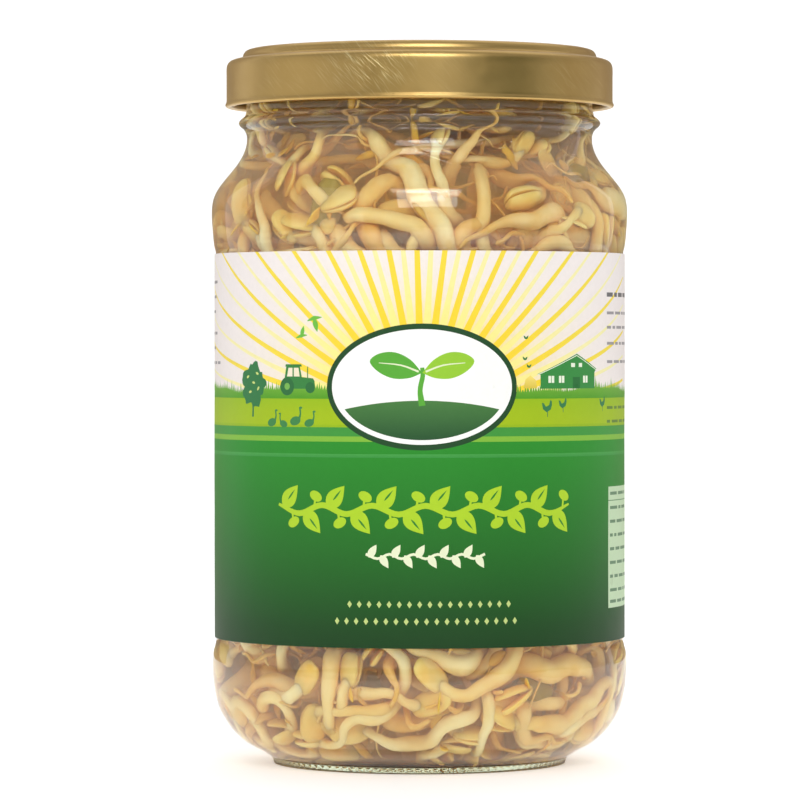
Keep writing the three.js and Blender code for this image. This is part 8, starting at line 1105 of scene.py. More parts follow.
[0,94,111,249,187,171,270,160,165,291,145,151,299,131,149,303,116,151,305,101,156,305,86,163,301,74,173,298,65,187,290,57,198,278,51,208,265,46,217,250,42,220,236,36,225,225,26,234,216,14,249,207,7,267,193,1,282,178,-4,296,165,-8,312],
[0,84,96,48,-24,178,40,1,164,37,22,145,27,30,122,8,34,104,3,25,79,7,4,62,14,-22,61,33,-38,68,44,-51,89,67,-52,103,81,-35,118,90,-11,122,87,14,130,83,38,119,79,54,96,79,52,69,67,36,50,62,9,50,75,-15,49],
[0,120,99,-204,-211,418,-176,-202,425,-150,-191,432,-124,-189,426,-103,-194,410,-87,-202,390,-77,-215,369,-73,-227,345,-59,-236,324,-43,-246,305,-33,-244,280,-23,-252,255,-24,-269,234,-35,-285,215,-47,-298,195,-52,-314,187,-45,-325,175,-39,-328,159,-45,-328,142,-50,-324,127],
[0,101,92,-102,-187,127,-115,-164,133,-141,-150,137,-150,-128,147,-163,-106,152,-168,-82,141,-164,-58,129,-157,-33,124,-164,-8,117,-176,16,123,-197,33,121,-211,54,130,-225,70,147,-247,85,152,-264,105,149,-267,123,146,-279,130,134,-296,138,135,-298,147,150,-300,146,167],
[0,109,105,-28,13,361,-22,29,389,-21,54,403,-26,75,407,-32,95,400,-33,114,390,-38,134,382,-29,145,364,-13,142,349,-6,128,333,0,113,319,15,97,314,34,86,313,47,73,327,47,60,345,42,54,358,44,53,373,44,58,387,42,68,398,37,78,407],
[0,97,85,-26,91,61,-12,69,64,13,56,56,33,48,60,53,38,61,71,28,69,85,12,75,97,-3,87,113,-17,94,133,-27,93,152,-36,100,165,-53,108,173,-66,125,185,-73,142,203,-78,155,223,-82,158,239,-78,171,255,-81,183,273,-81,194,291,-90,199],
[0,78,90,-190,-202,76,-167,-217,76,-148,-237,66,-128,-259,73,-124,-281,93,-103,-297,107,-74,-304,106,-49,-303,120,-35,-300,146,-25,-315,169,-28,-322,198,-48,-319,221,-70,-315,239,-84,-312,265,-91,-311,293,-93,-313,311,-97,-314,329,-104,-313,345,-110,-311,362,-115,-310,379],
[0,99,93,49,312,737,23,313,725,3,298,710,-22,291,698,-47,298,687,-68,298,667,-84,286,647,-106,275,633,-130,269,621,-155,262,608,-178,249,600,-202,234,596,-222,214,601,-237,191,597,-258,172,591,-278,156,598,-294,136,607,-308,115,616,-314,93,630,-323,71,643],
[0,83,94,16,56,87,29,82,90,36,106,104,29,122,119,13,138,123,-7,148,120,-29,148,117,-50,142,115,-68,129,112,-80,116,98,-93,103,85,-96,87,70,-99,67,59,-107,46,58,-120,28,56,-129,17,50,-131,2,47,-135,-13,45,-146,-24,44,-155,-38,43],
[0,82,88,195,-78,455,217,-94,458,242,-92,473,267,-87,472,288,-93,459,301,-102,439,299,-112,416,282,-117,397,258,-121,393,239,-135,385,218,-149,387,198,-152,403,190,-147,426,197,-143,450,214,-135,467,229,-130,488,240,-136,512,265,-147,523,287,-158,511,291,-159,483],
[0,83,86,-240,-87,865,-262,-71,871,-287,-78,885,-307,-92,879,-307,-104,860,-299,-122,850,-289,-141,851,-279,-159,861,-274,-167,881,-255,-162,891,-233,-159,894,-225,-140,884,-226,-118,886,-238,-101,893,-257,-89,891,-272,-82,896,-287,-79,904,-304,-85,907,-316,-98,908,-315,-114,914],
[0,82,90,199,-219,204,173,-223,213,150,-241,212,123,-244,196,108,-226,177,111,-203,158,134,-183,152,147,-165,172,173,-158,183,197,-168,198,199,-184,224,177,-194,242,149,-206,240,121,-198,235,105,-187,212,94,-165,202,100,-141,192,112,-124,175,130,-103,174,156,-99,178],
[0,88,100,278,-148,805,265,-167,828,267,-186,850,262,-192,871,256,-199,892,245,-213,907,233,-227,919,214,-244,918,197,-255,907,179,-253,891,164,-250,875,143,-237,872,121,-238,871,100,-247,871,81,-256,867,65,-262,862,50,-266,857,35,-270,850,20,-271,842,7,-272,833],
[0,112,109,35,24,89,44,-2,71,64,-19,57,78,-33,56,84,-52,57,83,-72,58,85,-90,63,91,-109,65,97,-126,72,109,-141,78,113,-161,78,115,-179,84,116,-198,91,117,-211,105,121,-223,120,125,-237,131,126,-255,137,121,-270,147,125,-288,151,134,-304,151],
[0,102,112,71,304,785,94,296,760,104,301,732,110,288,710,106,269,692,95,257,671,89,246,648,84,235,625,79,228,601,75,211,580,82,197,559,90,195,533,106,193,514,121,187,492,126,172,471,134,167,452,147,164,435,160,164,419,174,163,404,189,164,389],
[0,107,97,-117,293,427,-110,293,397,-112,289,368,-118,275,356,-128,259,355,-140,245,362,-153,236,371,-167,222,371,-177,207,363,-180,189,359,-188,173,353,-187,157,342,-188,146,327,-193,133,315,-206,126,303,-214,116,286,-215,99,274,-205,84,264,-205,65,254,-202,55,236],
[0,92,87,-226,68,887,-233,92,901,-220,116,912,-201,127,915,-180,128,919,-158,130,923,-140,137,934,-120,132,946,-98,136,945,-80,148,953,-65,154,967,-48,154,981,-30,160,993,-13,168,1004,2,179,1016,15,181,1033,32,186,1043,48,198,1047,60,212,1053,73,225,1063],
[0,93,94,-152,91,826,-128,108,823,-98,105,821,-76,97,805,-62,84,786,-43,79,765,-27,70,745,-16,63,720,-3,55,697,20,46,683,34,42,660,52,36,639,70,27,620,85,19,598,111,14,589,133,19,574,157,23,566,181,17,559,207,14,557,231,21,557],
[0,99,106,-13,319,964,-24,308,993,-49,296,1004,-58,271,1007,-56,246,1002,-54,224,990,-52,201,978,-48,182,961,-47,163,944,-49,139,933,-45,121,915,-48,107,893,-51,86,879,-44,66,864,-36,54,843,-31,48,829,-30,45,813,-27,42,798,-23,38,783,-19,36,768],
[0,95,105,-287,-108,114,-290,-78,106,-288,-60,81,-265,-49,78,-244,-40,73,-221,-32,78,-204,-20,91,-182,-9,91,-165,6,82,-154,24,71,-141,43,64,-129,64,63,-122,86,58,-117,109,55,-114,133,51,-112,156,51,-111,179,47,-106,202,45,-97,224,48,-89,245,52],
[0,114,103,-236,-14,894,-212,-10,915,-185,-3,923,-171,6,933,-158,16,945,-143,16,957,-127,25,963,-108,27,968,-93,35,977,-77,47,981,-62,57,977,-46,69,975,-31,81,975,-12,85,980,7,86,976,28,90,972,47,94,967,66,105,967,85,110,962,104,119,962],
[0,106,107,-287,-121,994,-285,-139,966,-272,-153,944,-258,-151,924,-242,-140,908,-220,-129,910,-204,-112,904,-192,-96,893,-179,-76,890,-166,-59,879,-156,-38,875,-149,-16,875,-148,8,875,-137,29,876,-124,47,883,-113,68,886,-106,91,890,-101,113,900,-98,131,915,-93,153,923],
[0,99,97,-79,-133,511,-107,-131,521,-128,-112,520,-154,-110,512,-171,-103,492,-175,-84,472,-188,-61,462,-210,-43,464,-217,-17,458,-224,11,458,-229,35,446,-249,49,430,-257,67,410,-262,94,403,-268,121,406,-283,140,402,-285,161,390,-278,175,373,-271,188,356,-261,202,340],
[0,87,86,-237,-102,1068,-233,-126,1057,-223,-147,1041,-206,-158,1031,-185,-166,1034,-166,-176,1034,-144,-181,1036,-123,-186,1039,-103,-195,1039,-85,-207,1034,-66,-219,1031,-47,-230,1030,-30,-243,1023,-11,-255,1027,5,-271,1028,13,-283,1020,17,-294,1010,21,-307,1002,31,-318,997,41,-329,992],
[0,87,92,-199,-63,863,-192,-90,857,-193,-119,854,-196,-134,855,-198,-148,856,-202,-163,860,-206,-174,869,-211,-181,883,-220,-190,891,-233,-199,892,-247,-204,894,-252,-204,909,-255,-204,924,-255,-208,939,-258,-206,954,-265,-197,975,-264,-181,993,-258,-164,1010,-249,-151,1028,-235,-133,1036],
[0,76,105,-90,300,694,-112,291,671,-123,295,644,-119,293,615,-99,284,595,-83,279,572,-68,280,547,-51,290,524,-26,295,509,2,287,502,20,270,486,47,260,479,74,264,467,100,257,457,129,257,453,143,261,447,158,265,446,173,271,443,189,271,443,203,262,446],
[0,107,91,198,77,113,176,76,131,160,75,155,163,69,183,182,67,204,202,83,215,225,95,223,250,104,213,260,120,190,245,129,166,225,114,153,198,115,145,179,137,143,159,144,162,150,135,188,155,133,204,162,137,217,175,144,226,191,143,231,207,145,232],
[0,78,85,-169,-9,401,-194,-17,402,-214,-35,414,-234,-39,421,-253,-32,423,-267,-17,427,-279,-1,422,-283,18,417,-287,36,408,-282,53,397,-271,65,384,-254,69,374,-241,72,359,-230,70,341,-215,61,330,-203,45,320,-205,26,310,-208,4,309,-208,-17,313,-220,-34,320],
[0,110,102,-258,-180,532,-247,-153,518,-252,-125,510,-250,-106,516,-252,-89,527,-243,-77,541,-227,-70,550,-214,-60,562,-205,-45,573,-196,-28,575,-188,-10,575,-179,8,577,-173,26,577,-165,44,578,-158,63,576,-153,86,568,-143,107,560,-131,128,552,-127,150,543,-122,168,526],
[0,90,95,-90,-31,269,-92,-31,299,-101,-17,323,-108,0,335,-122,17,340,-137,33,346,-147,53,349,-154,75,351,-165,94,343,-164,111,328,-162,133,321,-152,152,312,-146,173,305,-151,194,296,-154,210,280,-153,226,270,-153,239,256,-151,251,242,-146,264,229,-142,275,214],
[0,91,92,80,-26,159,86,-1,172,80,27,179,77,42,187,71,55,197,67,66,211,59,74,224,50,80,238,38,87,249,34,93,266,29,102,280,26,116,292,29,124,307,26,128,325,20,140,337,9,159,349,0,174,367,-6,194,382,-8,215,395,-11,236,408],
[0,87,91,-297,110,563,-281,133,558,-254,140,550,-234,139,551,-218,133,558,-201,130,568,-185,134,577,-169,136,588,-152,132,595,-133,133,599,-115,128,602,-95,127,601,-77,129,595,-61,129,584,-42,129,580,-20,134,580,0,139,572,19,145,561,34,150,546,47,155,529],
[0,94,93,-257,185,230,-243,201,210,-239,211,182,-214,216,167,-185,225,169,-159,230,182,-138,235,202,-111,241,214,-88,258,222,-60,269,222,-33,267,236,-9,275,252,16,280,267,40,294,276,66,303,288,83,302,298,99,304,308,114,307,320,127,305,335,141,299,347],
[0,91,89,42,190,922,23,206,933,13,232,943,-5,244,941,-22,247,931,-36,248,915,-45,263,903,-53,283,902,-71,292,898,-92,286,895,-112,285,890,-131,293,884,-146,286,871,-155,282,852,-165,278,834,-178,272,816,-193,265,799,-206,257,781,-218,248,763,-229,239,746],
[0,113,110,-291,116,284,-277,141,302,-257,157,312,-242,176,307,-230,198,310,-206,208,303,-194,221,284,-191,233,261,-180,246,243,-172,261,224,-162,265,200,-147,272,181,-133,287,166,-111,293,156,-88,301,149,-74,315,135,-60,317,118,-46,313,99,-22,313,94,0,317,98],
[0,99,89,27,-316,294,16,-315,269,10,-306,242,0,-281,229,0,-252,228,-4,-229,248,9,-219,272,22,-230,297,16,-242,324,-5,-259,337,-12,-288,337,-26,-310,323,-50,-316,306,-65,-306,282,-84,-285,274,-89,-261,272,-85,-239,264,-81,-215,265,-76,-196,280,-75,-191,304],
[0,124,109,-279,-5,81,-252,12,77,-236,25,55,-215,32,56,-202,37,73,-195,51,87,-182,66,91,-172,83,99,-161,92,114,-146,89,130,-131,87,143,-117,94,158,-106,105,173,-99,110,191,-86,117,207,-75,123,225,-66,126,245,-58,130,266,-50,134,286,-42,132,307],
[0,97,109,-63,77,65,-73,44,68,-63,16,58,-61,1,58,-63,-15,59,-71,-29,60,-82,-37,68,-92,-46,76,-100,-58,84,-111,-67,90,-126,-71,93,-141,-71,100,-152,-76,109,-164,-86,112,-176,-96,111,-198,-106,111,-221,-112,111,-245,-107,114,-265,-106,127,-285,-104,139],
[0,81,93,300,-5,98,293,-31,95,291,-60,96,276,-70,104,258,-72,111,247,-60,125,249,-54,143,255,-54,161,253,-56,180,253,-50,198,257,-42,215,260,-29,229,259,-18,244,265,-5,257,269,11,266,273,39,270,277,65,277,285,88,290,298,112,296,301,138,302],
[0,96,87,300,102,780,286,100,756,278,81,735,283,69,718,286,49,711,281,28,706,280,11,693,272,-9,689,266,-27,698,261,-44,711,256,-58,726,259,-68,745,262,-68,767,260,-63,787,258,-50,804,252,-36,817,239,-24,826,225,-13,832,213,2,837,206,19,829],
[0,88,94,-308,69,550,-299,44,538,-291,18,528,-290,2,524,-292,-15,522,-295,-31,520,-296,-48,518,-293,-65,514,-284,-77,506,-272,-84,497,-259,-93,491,-247,-104,485,-236,-112,475,-226,-118,463,-216,-123,450,-197,-138,439,-172,-145,440,-148,-147,429,-130,-156,412,-110,-165,399],
[0,104,96,-112,-296,197,-116,-294,169,-128,-299,142,-128,-281,119,-133,-252,120,-126,-225,115,-109,-206,104,-102,-180,94,-91,-156,105,-76,-134,113,-64,-108,113,-56,-85,128,-37,-64,133,-15,-50,143,4,-37,159,18,-23,179,32,-11,199,54,-8,216,78,-9,229,95,-6,252],
[0,90,105,43,-123,484,64,-119,509,79,-102,528,85,-98,552,98,-100,573,111,-105,594,122,-123,610,134,-146,608,141,-166,595,139,-181,574,137,-204,565,129,-226,553,118,-242,536,118,-251,511,123,-258,488,124,-269,465,119,-281,444,110,-296,426,100,-308,408,91,-318,387],
[0,97,108,-173,-55,288,-166,-87,281,-149,-104,264,-139,-106,250,-133,-104,234,-135,-103,216,-137,-111,201,-134,-120,186,-134,-119,168,-126,-119,153,-125,-124,136,-130,-125,119,-138,-126,103,-152,-126,92,-164,-122,80,-171,-122,68,-174,-119,53,-183,-111,44,-195,-102,44,-209,-99,44],
[0,107,107,38,-116,881,30,-84,882,30,-55,889,35,-39,895,44,-24,896,52,-8,893,59,7,901,65,22,910,74,37,915,81,53,913,83,71,916,90,88,914,103,101,917,111,117,918,121,130,926,132,140,935,135,152,947,132,169,953,135,186,950,143,201,946],
[0,84,106,-110,-279,563,-142,-277,565,-171,-277,572,-190,-264,565,-197,-243,555,-200,-227,536,-201,-225,511,-202,-217,487,-205,-197,473,-195,-183,455,-182,-168,441,-166,-159,424,-154,-144,409,-144,-127,395,-134,-107,387,-121,-90,379,-110,-78,363,-95,-72,347,-78,-63,335,-61,-54,325],
[0,82,95,-203,-88,345,-196,-63,358,-191,-35,353,-185,-9,360,-182,9,380,-184,30,398,-179,54,409,-162,75,417,-155,101,414,-155,126,405,-155,150,392,-155,177,387,-153,197,367,-143,204,341,-132,225,327,-124,245,322,-119,258,306,-120,269,288,-119,285,275,-115,301,261],
[0,84,99,-123,275,234,-125,249,250,-126,226,268,-120,218,281,-114,217,296,-107,219,310,-98,224,323,-83,224,331,-67,224,335,-52,229,338,-38,235,343,-24,241,346,-9,249,344,5,256,345,20,262,348,42,274,354,68,277,360,91,284,369,115,294,374,138,301,382],
[0,122,94,231,-100,577,208,-110,562,181,-118,555,165,-122,546,149,-119,538,137,-108,527,136,-92,516,142,-76,508,148,-59,503,160,-46,498,177,-39,494,196,-39,497,211,-43,508,227,-52,513,241,-63,520,247,-76,524,246,-90,524,238,-103,522,229,-113,518,220,-123,513],
[0,112,108,100,-248,464,84,-274,476,77,-302,484,62,-314,490,43,-318,496,23,-318,499,2,-318,499,-17,-316,506,-35,-308,510,-54,-300,512,-73,-292,514,-90,-284,520,-105,-269,524,-118,-255,517,-131,-241,509,-153,-227,509,-171,-207,514,-186,-186,508,-196,-162,503,-204,-137,500],
[0,120,92,-206,-13,704,-200,-10,677,-189,-3,651,-165,7,637,-138,17,639,-117,22,659,-93,26,675,-76,35,697,-68,33,725,-63,37,753,-75,33,780,-93,23,802,-105,10,825,-113,7,853,-118,3,881,-123,5,897,-126,1,913,-128,-1,929,-131,-3,945,-132,-5,961],
[0,93,102,99,-117,381,119,-95,369,136,-85,348,149,-74,340,165,-64,340,181,-55,344,198,-49,345,217,-49,342,232,-39,335,242,-27,325,254,-14,318,268,-4,312,280,6,302,288,19,293,292,33,281,304,48,264,307,65,246,301,83,228,295,100,210,288,116,192],
[0,93,90,34,98,900,22,75,912,0,55,909,-19,46,888,-19,49,859,-2,54,836,25,65,832,43,82,848,55,85,874,58,72,900,46,49,914,29,26,908,3,23,894,-3,33,866,10,28,840,26,28,837,41,30,833,56,28,836,70,31,843,79,42,849],
[0,108,96,112,-51,423,88,-40,436,72,-27,457,53,-32,471,36,-48,478,21,-66,475,12,-89,473,0,-108,482,-8,-131,487,-22,-150,480,-33,-170,473,-36,-194,468,-30,-216,458,-26,-239,452,-26,-261,443,-23,-280,426,-15,-297,410,-1,-310,394,11,-323,376,27,-329,358],
[0,108,92,-80,-307,209,-75,-281,210,-53,-263,207,-43,-247,192,-48,-226,183,-47,-211,164,-38,-192,154,-33,-168,152,-20,-148,152,-6,-130,145,7,-110,145,14,-87,143,20,-65,149,33,-45,153,48,-29,142,63,-7,142,78,14,150,95,29,165,112,41,181,129,52,199],
[0,107,101,-95,304,915,-81,308,941,-99,314,965,-108,306,988,-116,290,1007,-137,274,1011,-161,264,1006,-184,253,999,-180,238,976,-163,218,968,-146,205,951,-144,208,923,-129,213,902,-105,223,893,-80,230,898,-64,234,908,-53,238,923,-43,241,939,-37,243,957,-33,243,976],
[0,84,101,-290,122,492,-275,128,518,-250,129,533,-241,122,547,-236,121,564,-237,120,582,-239,112,597,-242,99,609,-250,87,620,-260,75,627,-272,62,630,-284,50,627,-294,36,624,-306,25,617,-316,15,606,-324,6,591,-328,-3,574,-330,-8,556,-330,-12,537,-324,-13,518],
[0,91,105,-232,155,220,-208,177,217,-187,189,200,-171,194,199,-155,199,204,-140,205,211,-129,213,222,-115,218,232,-99,217,237,-82,212,241,-66,208,245,-48,211,247,-36,224,250,-25,235,259,-11,241,265,4,248,270,19,255,273,34,264,275,45,276,279,57,285,287],
[0,83,90,-236,87,1165,-244,96,1140,-244,111,1115,-234,116,1090,-217,111,1068,-208,94,1049,-205,71,1034,-195,47,1027,-192,20,1033,-182,-4,1042,-165,-21,1056,-153,-41,1070,-143,-62,1084,-139,-85,1098,-138,-104,1119,-134,-116,1132,-129,-129,1143,-125,-145,1151,-120,-159,1159,-116,-173,1170],
[0,89,98,-257,-183,488,-234,-199,498,-204,-199,503,-188,-202,500,-174,-209,494,-157,-205,493,-142,-201,500,-127,-196,506,-112,-188,505,-101,-177,500,-87,-168,500,-71,-163,498,-58,-153,498,-47,-141,495,-37,-128,495,-22,-111,501,-8,-92,504,3,-70,506,17,-52,502,27,-30,502],
[0,119,109,30,13,217,45,31,193,43,51,171,30,75,163,9,94,164,-14,111,168,-32,129,180,-52,143,196,-78,149,205,-105,154,215,-133,162,214,-156,176,223,-177,189,238,-200,204,247,-225,211,259,-242,209,273,-251,207,292,-257,204,312,-262,200,332,-272,187,346],
[0,98,106,-84,287,344,-56,270,340,-34,255,329,-23,243,322,-15,228,314,-5,220,300,-2,215,283,-8,211,266,-9,212,248,-10,218,231,-17,228,217,-24,241,206,-38,253,204,-54,258,196,-63,274,192,-68,292,190,-69,309,196,-67,323,208,-58,325,224,-51,327,240],
[0,93,92,-191,-43,1025,-185,-46,1052,-180,-44,1080,-169,-45,1092,-156,-46,1101,-142,-50,1108,-127,-57,1108,-116,-67,1100,-112,-78,1089,-107,-87,1077,-108,-93,1062,-118,-97,1048,-132,-98,1041,-146,-100,1034,-161,-96,1032,-177,-88,1040,-185,-86,1057,-186,-85,1076,-181,-89,1094,-167,-92,1107],
[0,114,107,60,17,865,67,48,873,82,73,872,104,90,861,117,99,837,120,100,808,111,104,781,97,101,755,82,86,734,60,74,720,37,55,720,15,37,718,2,11,711,-15,-12,706,-28,-37,702,-43,-52,697,-62,-60,694,-78,-73,687,-88,-89,679,-101,-104,672],
[0,123,104,255,-19,421,234,-44,418,235,-73,411,244,-91,396,262,-95,379,275,-89,359,286,-74,343,298,-53,339,307,-31,345,308,-9,356,297,9,369,277,22,376,254,24,383,232,13,387,216,-5,379,210,-21,363,206,-26,340,215,-37,321,234,-46,312,256,-40,306],
[0,91,111,37,153,61,11,176,62,-4,197,76,-27,202,92,-47,204,113,-72,193,127,-96,175,128,-125,172,134,-147,151,137,-172,138,146,-200,128,144,-221,109,134,-232,84,122,-246,57,120,-270,40,128,-295,39,124,-311,24,113,-311,2,102,-315,-20,95,-309,-42,89],
[0,110,98,-20,222,785,-43,213,767,-57,205,743,-71,180,734,-71,152,740,-65,133,761,-62,126,787,-57,113,812,-45,115,837,-24,128,853,-8,150,857,5,175,862,24,195,867,46,212,874,62,232,888,66,251,895,63,271,897,69,289,906,80,306,912,94,321,917],
[0,81,93,-281,150,177,-266,170,193,-237,178,193,-219,198,193,-219,226,188,-219,240,165,-219,237,137,-230,220,119,-246,199,116,-261,178,124,-261,159,144,-249,153,167,-229,158,185,-204,169,183,-190,190,175,-189,205,160,-201,220,149,-208,223,129,-212,212,111,-222,196,102],
[0,79,100,272,81,826,273,79,795,274,78,766,268,73,750,262,65,736,255,54,723,239,46,716,222,45,710,209,44,698,193,43,687,177,35,682,168,19,677,161,3,674,150,-9,665,143,-24,658,127,-38,641,110,-44,622,89,-54,610,71,-66,595,52,-76,580],
[0,105,92,-157,-179,707,-129,-171,705,-101,-174,700,-73,-183,706,-51,-202,712,-42,-231,717,-50,-260,721,-62,-285,711,-84,-305,703,-110,-298,689,-136,-288,681,-154,-279,658,-160,-254,643,-152,-230,626,-130,-212,617,-114,-208,618,-99,-213,622,-83,-213,621,-68,-206,617,-52,-206,617],
[0,92,110,207,114,1011,217,95,985,229,79,964,228,65,949,220,53,934,217,36,923,210,18,916,204,0,907,195,-13,894,180,-23,883,163,-29,873,145,-35,864,134,-48,851,121,-64,844,106,-77,849,93,-94,842,78,-110,836,58,-116,829,36,-119,828,15,-124,829],
[0,96,87,-242,208,147,-235,189,166,-219,164,167,-219,148,168,-226,136,175,-238,130,184,-246,122,194,-250,110,202,-250,97,210,-246,85,217,-238,72,221,-229,60,221,-219,49,226,-207,41,232,-200,29,239,-198,15,247,-190,3,256,-189,-14,259,-189,-30,257,-181,-44,261],
[0,99,111,139,213,859,171,224,846,190,241,862,205,241,872,218,234,883,231,223,890,242,210,894,252,200,906,256,198,924,249,197,940,239,189,953,225,179,958,208,178,964,192,177,972,174,176,975,149,171,963,138,170,937,141,181,912,152,187,888,163,177,864],
[0,111,111,-127,-88,615,-130,-55,605,-144,-30,599,-145,-9,592,-141,12,586,-136,33,579,-129,51,568,-120,67,553,-103,72,539,-84,86,535,-74,104,526,-60,118,515,-46,130,503,-28,141,495,-10,151,485,-3,172,476,-4,194,472,0,214,463,10,233,454,16,250,442],
[0,97,106,-145,-145,1129,-151,-176,1120,-159,-200,1106,-167,-215,1085,-173,-217,1059,-186,-208,1036,-185,-189,1018,-186,-167,1004,-189,-148,984,-194,-121,981,-185,-96,986,-178,-74,999,-165,-54,1012,-158,-31,1023,-150,-11,1040,-150,11,1057,-144,36,1068,-141,57,1088,-131,71,1110,-118,84,1131],
[0,99,104,-193,-104,389,-212,-123,406,-225,-149,413,-251,-164,407,-279,-161,394,-290,-135,382,-296,-119,359,-303,-99,339,-289,-73,333,-294,-45,321,-287,-19,338,-270,-18,363,-243,-26,374,-229,-20,401,-232,-17,431,-240,-33,453,-251,-51,470,-271,-67,480,-296,-79,480,-320,-82,468],
[0,99,103,91,184,419,116,164,426,125,143,445,134,116,443,156,99,435,175,91,414,193,92,392,212,88,371,229,83,349,241,78,323,243,71,296,245,78,268,251,82,240,255,72,213,264,64,187,283,53,171,303,44,156,310,39,129,317,39,103,305,25,83],
[0,98,85,278,51,634,256,65,633,232,82,638,221,94,654,222,102,675,223,102,697,219,100,719,221,93,740,229,81,757,242,66,767,250,45,771,260,26,763,266,12,747,259,-8,737,250,-19,719,244,-20,696,239,-18,673,235,-22,649,223,-11,631,211,10,626],
[0,96,99,140,-196,267,147,-201,297,153,-220,318,156,-241,321,153,-261,319,144,-277,307,129,-281,294,112,-274,282,103,-276,264,89,-283,250,71,-276,242,61,-262,229,57,-250,213,47,-237,201,37,-222,190,34,-214,177,31,-204,166,26,-191,158,20,-183,147,14,-172,138],
[0,87,91,-174,224,542,-189,234,520,-188,245,493,-186,254,478,-178,265,466,-164,274,459,-146,280,459,-129,279,464,-114,271,471,-104,269,486,-96,254,491,-90,239,500,-97,223,506,-109,210,505,-125,203,502,-142,198,500,-156,197,490,-169,194,479,-179,199,465,-180,211,453],
[0,98,96,82,-30,569,92,-24,541,118,-23,527,134,-26,521,151,-22,518,169,-18,518,186,-15,518,204,-11,517,220,-12,509,235,-17,501,252,-21,497,269,-24,492,283,-21,480,292,-18,465,304,-13,453,311,-10,434,323,-8,418,329,-6,399,330,-4,379,331,-2,360],
[0,108,105,241,-201,427,241,-198,459,249,-203,487,240,-201,507,224,-194,520,205,-186,527,189,-179,538,173,-165,542,153,-157,547,133,-151,551,112,-148,550,93,-138,553,77,-131,565,61,-127,579,42,-122,586,27,-118,594,12,-113,601,-4,-106,602,-20,-100,605,-35,-94,610],
[0,98,105,194,90,690,195,75,661,179,55,647,154,47,635,125,48,634,108,64,616,109,92,609,121,116,601,138,137,611,166,143,617,192,132,612,207,108,608,214,82,618,208,54,611,186,40,598,163,44,591,152,65,586,146,80,569,148,103,563,161,122,565],
[0,76,92,138,-195,1123,113,-184,1130,87,-171,1133,74,-159,1133,62,-145,1133,53,-130,1132,44,-114,1132,40,-97,1129,43,-80,1122,51,-66,1114,58,-51,1107,67,-38,1099,76,-24,1092,88,-12,1085,96,1,1076,109,12,1068,124,22,1061,137,32,1051,152,39,1043,167,48,1035],
[0,91,87,-79,-232,595,-67,-238,618,-56,-258,636,-51,-263,655,-52,-278,669,-57,-299,671,-59,-315,657,-67,-313,638,-81,-310,623,-101,-304,622,-118,-295,630,-125,-275,628,-123,-256,619,-111,-239,622,-97,-229,634,-91,-228,656,-85,-237,675,-77,-253,688,-76,-271,700,-91,-286,708],
[0,94,95,322,-14,946,318,-3,918,302,7,898,287,7,889,273,4,878,265,6,863,253,11,852,239,15,842,227,15,831,215,7,820,207,3,806,197,-1,793,186,-11,783,172,-19,778,162,-29,770,147,-37,759,134,-45,746,121,-59,739,102,-64,734,87,-65,722],
[0,121,95,9,69,366,35,81,375,47,107,382,44,133,389,39,157,382,31,181,371,11,196,361,-12,201,347,-36,199,337,-62,189,333,-81,185,314,-101,174,299,-115,151,291,-121,125,284,-139,106,276,-158,97,268,-175,85,261,-192,76,251,-210,64,242,-232,61,240],
[0,109,102,213,-87,680,219,-64,701,229,-39,711,232,-25,734,233,-21,761,222,-19,787,223,-31,813,229,-50,833,228,-73,850,217,-85,873,200,-90,896,197,-108,919,195,-134,929,181,-158,937,172,-179,952,163,-193,963,158,-211,964,162,-230,958,167,-248,960,159,-266,966],
[0,88,97,158,273,624,176,260,604,181,237,586,182,230,565,192,233,546,199,237,525,195,235,503,193,233,482,192,225,461,193,219,440,194,206,422,201,193,406,200,186,385,196,173,368,196,152,359,201,133,348,218,122,337,223,104,324,224,84,313,226,62,309],
[0,108,87,-216,-65,1039,-239,-59,1051,-263,-48,1062,-269,-34,1086,-265,-36,1113,-248,-37,1134,-227,-45,1149,-200,-54,1152,-176,-62,1140,-163,-71,1116,-168,-73,1089,-164,-74,1062,-151,-71,1037,-145,-77,1010,-149,-81,983,-154,-79,959,-159,-76,935,-160,-83,911,-161,-87,886,-170,-84,863],
[0,88,103,254,-132,273,236,-143,249,211,-156,242,187,-166,250,163,-157,257,140,-164,268,128,-168,292,112,-180,309,95,-187,327,78,-196,344,66,-202,367,53,-203,390,40,-209,412,28,-224,430,17,-232,453,11,-231,468,7,-232,484,4,-235,500,1,-237,516,-2,-239,531],
[0,99,107,-73,91,327,-59,105,301,-50,117,276,-47,103,250,-39,76,241,-44,47,237,-61,23,240,-77,0,231,-82,-24,217,-79,-52,210,-83,-81,209,-103,-103,214,-113,-129,209,-119,-156,203,-130,-181,196,-141,-194,199,-144,-210,201,-152,-224,205,-160,-238,211,-170,-247,221],
[0,111,88,173,-175,62,147,-174,59,123,-158,50,100,-157,52,82,-159,65,69,-170,80,56,-185,91,36,-192,99,14,-196,94,-9,-194,95,-28,-201,107,-46,-201,121,-64,-195,133,-77,-187,151,-97,-183,161,-116,-180,163,-134,-178,170,-150,-172,179,-167,-165,183,-181,-152,182],
[0,113,86,306,-83,557,299,-57,555,277,-39,548,251,-37,541,225,-48,542,205,-59,558,190,-78,570,170,-97,575,146,-110,573,125,-128,576,104,-143,584,83,-163,579,80,-191,582,77,-217,591,63,-240,598,57,-257,603,54,-274,609,51,-292,613,48,-310,618,43,-327,622],
[0,122,95,-3,186,112,-19,171,93,-33,145,88,-47,139,88,-62,139,86,-77,143,85,-91,142,80,-107,142,81,-122,140,79,-137,141,81,-152,141,85,-166,137,81,-182,134,81,-195,131,89,-211,127,90,-226,120,76,-233,105,64,-245,91,55,-258,75,57,-277,71,65],
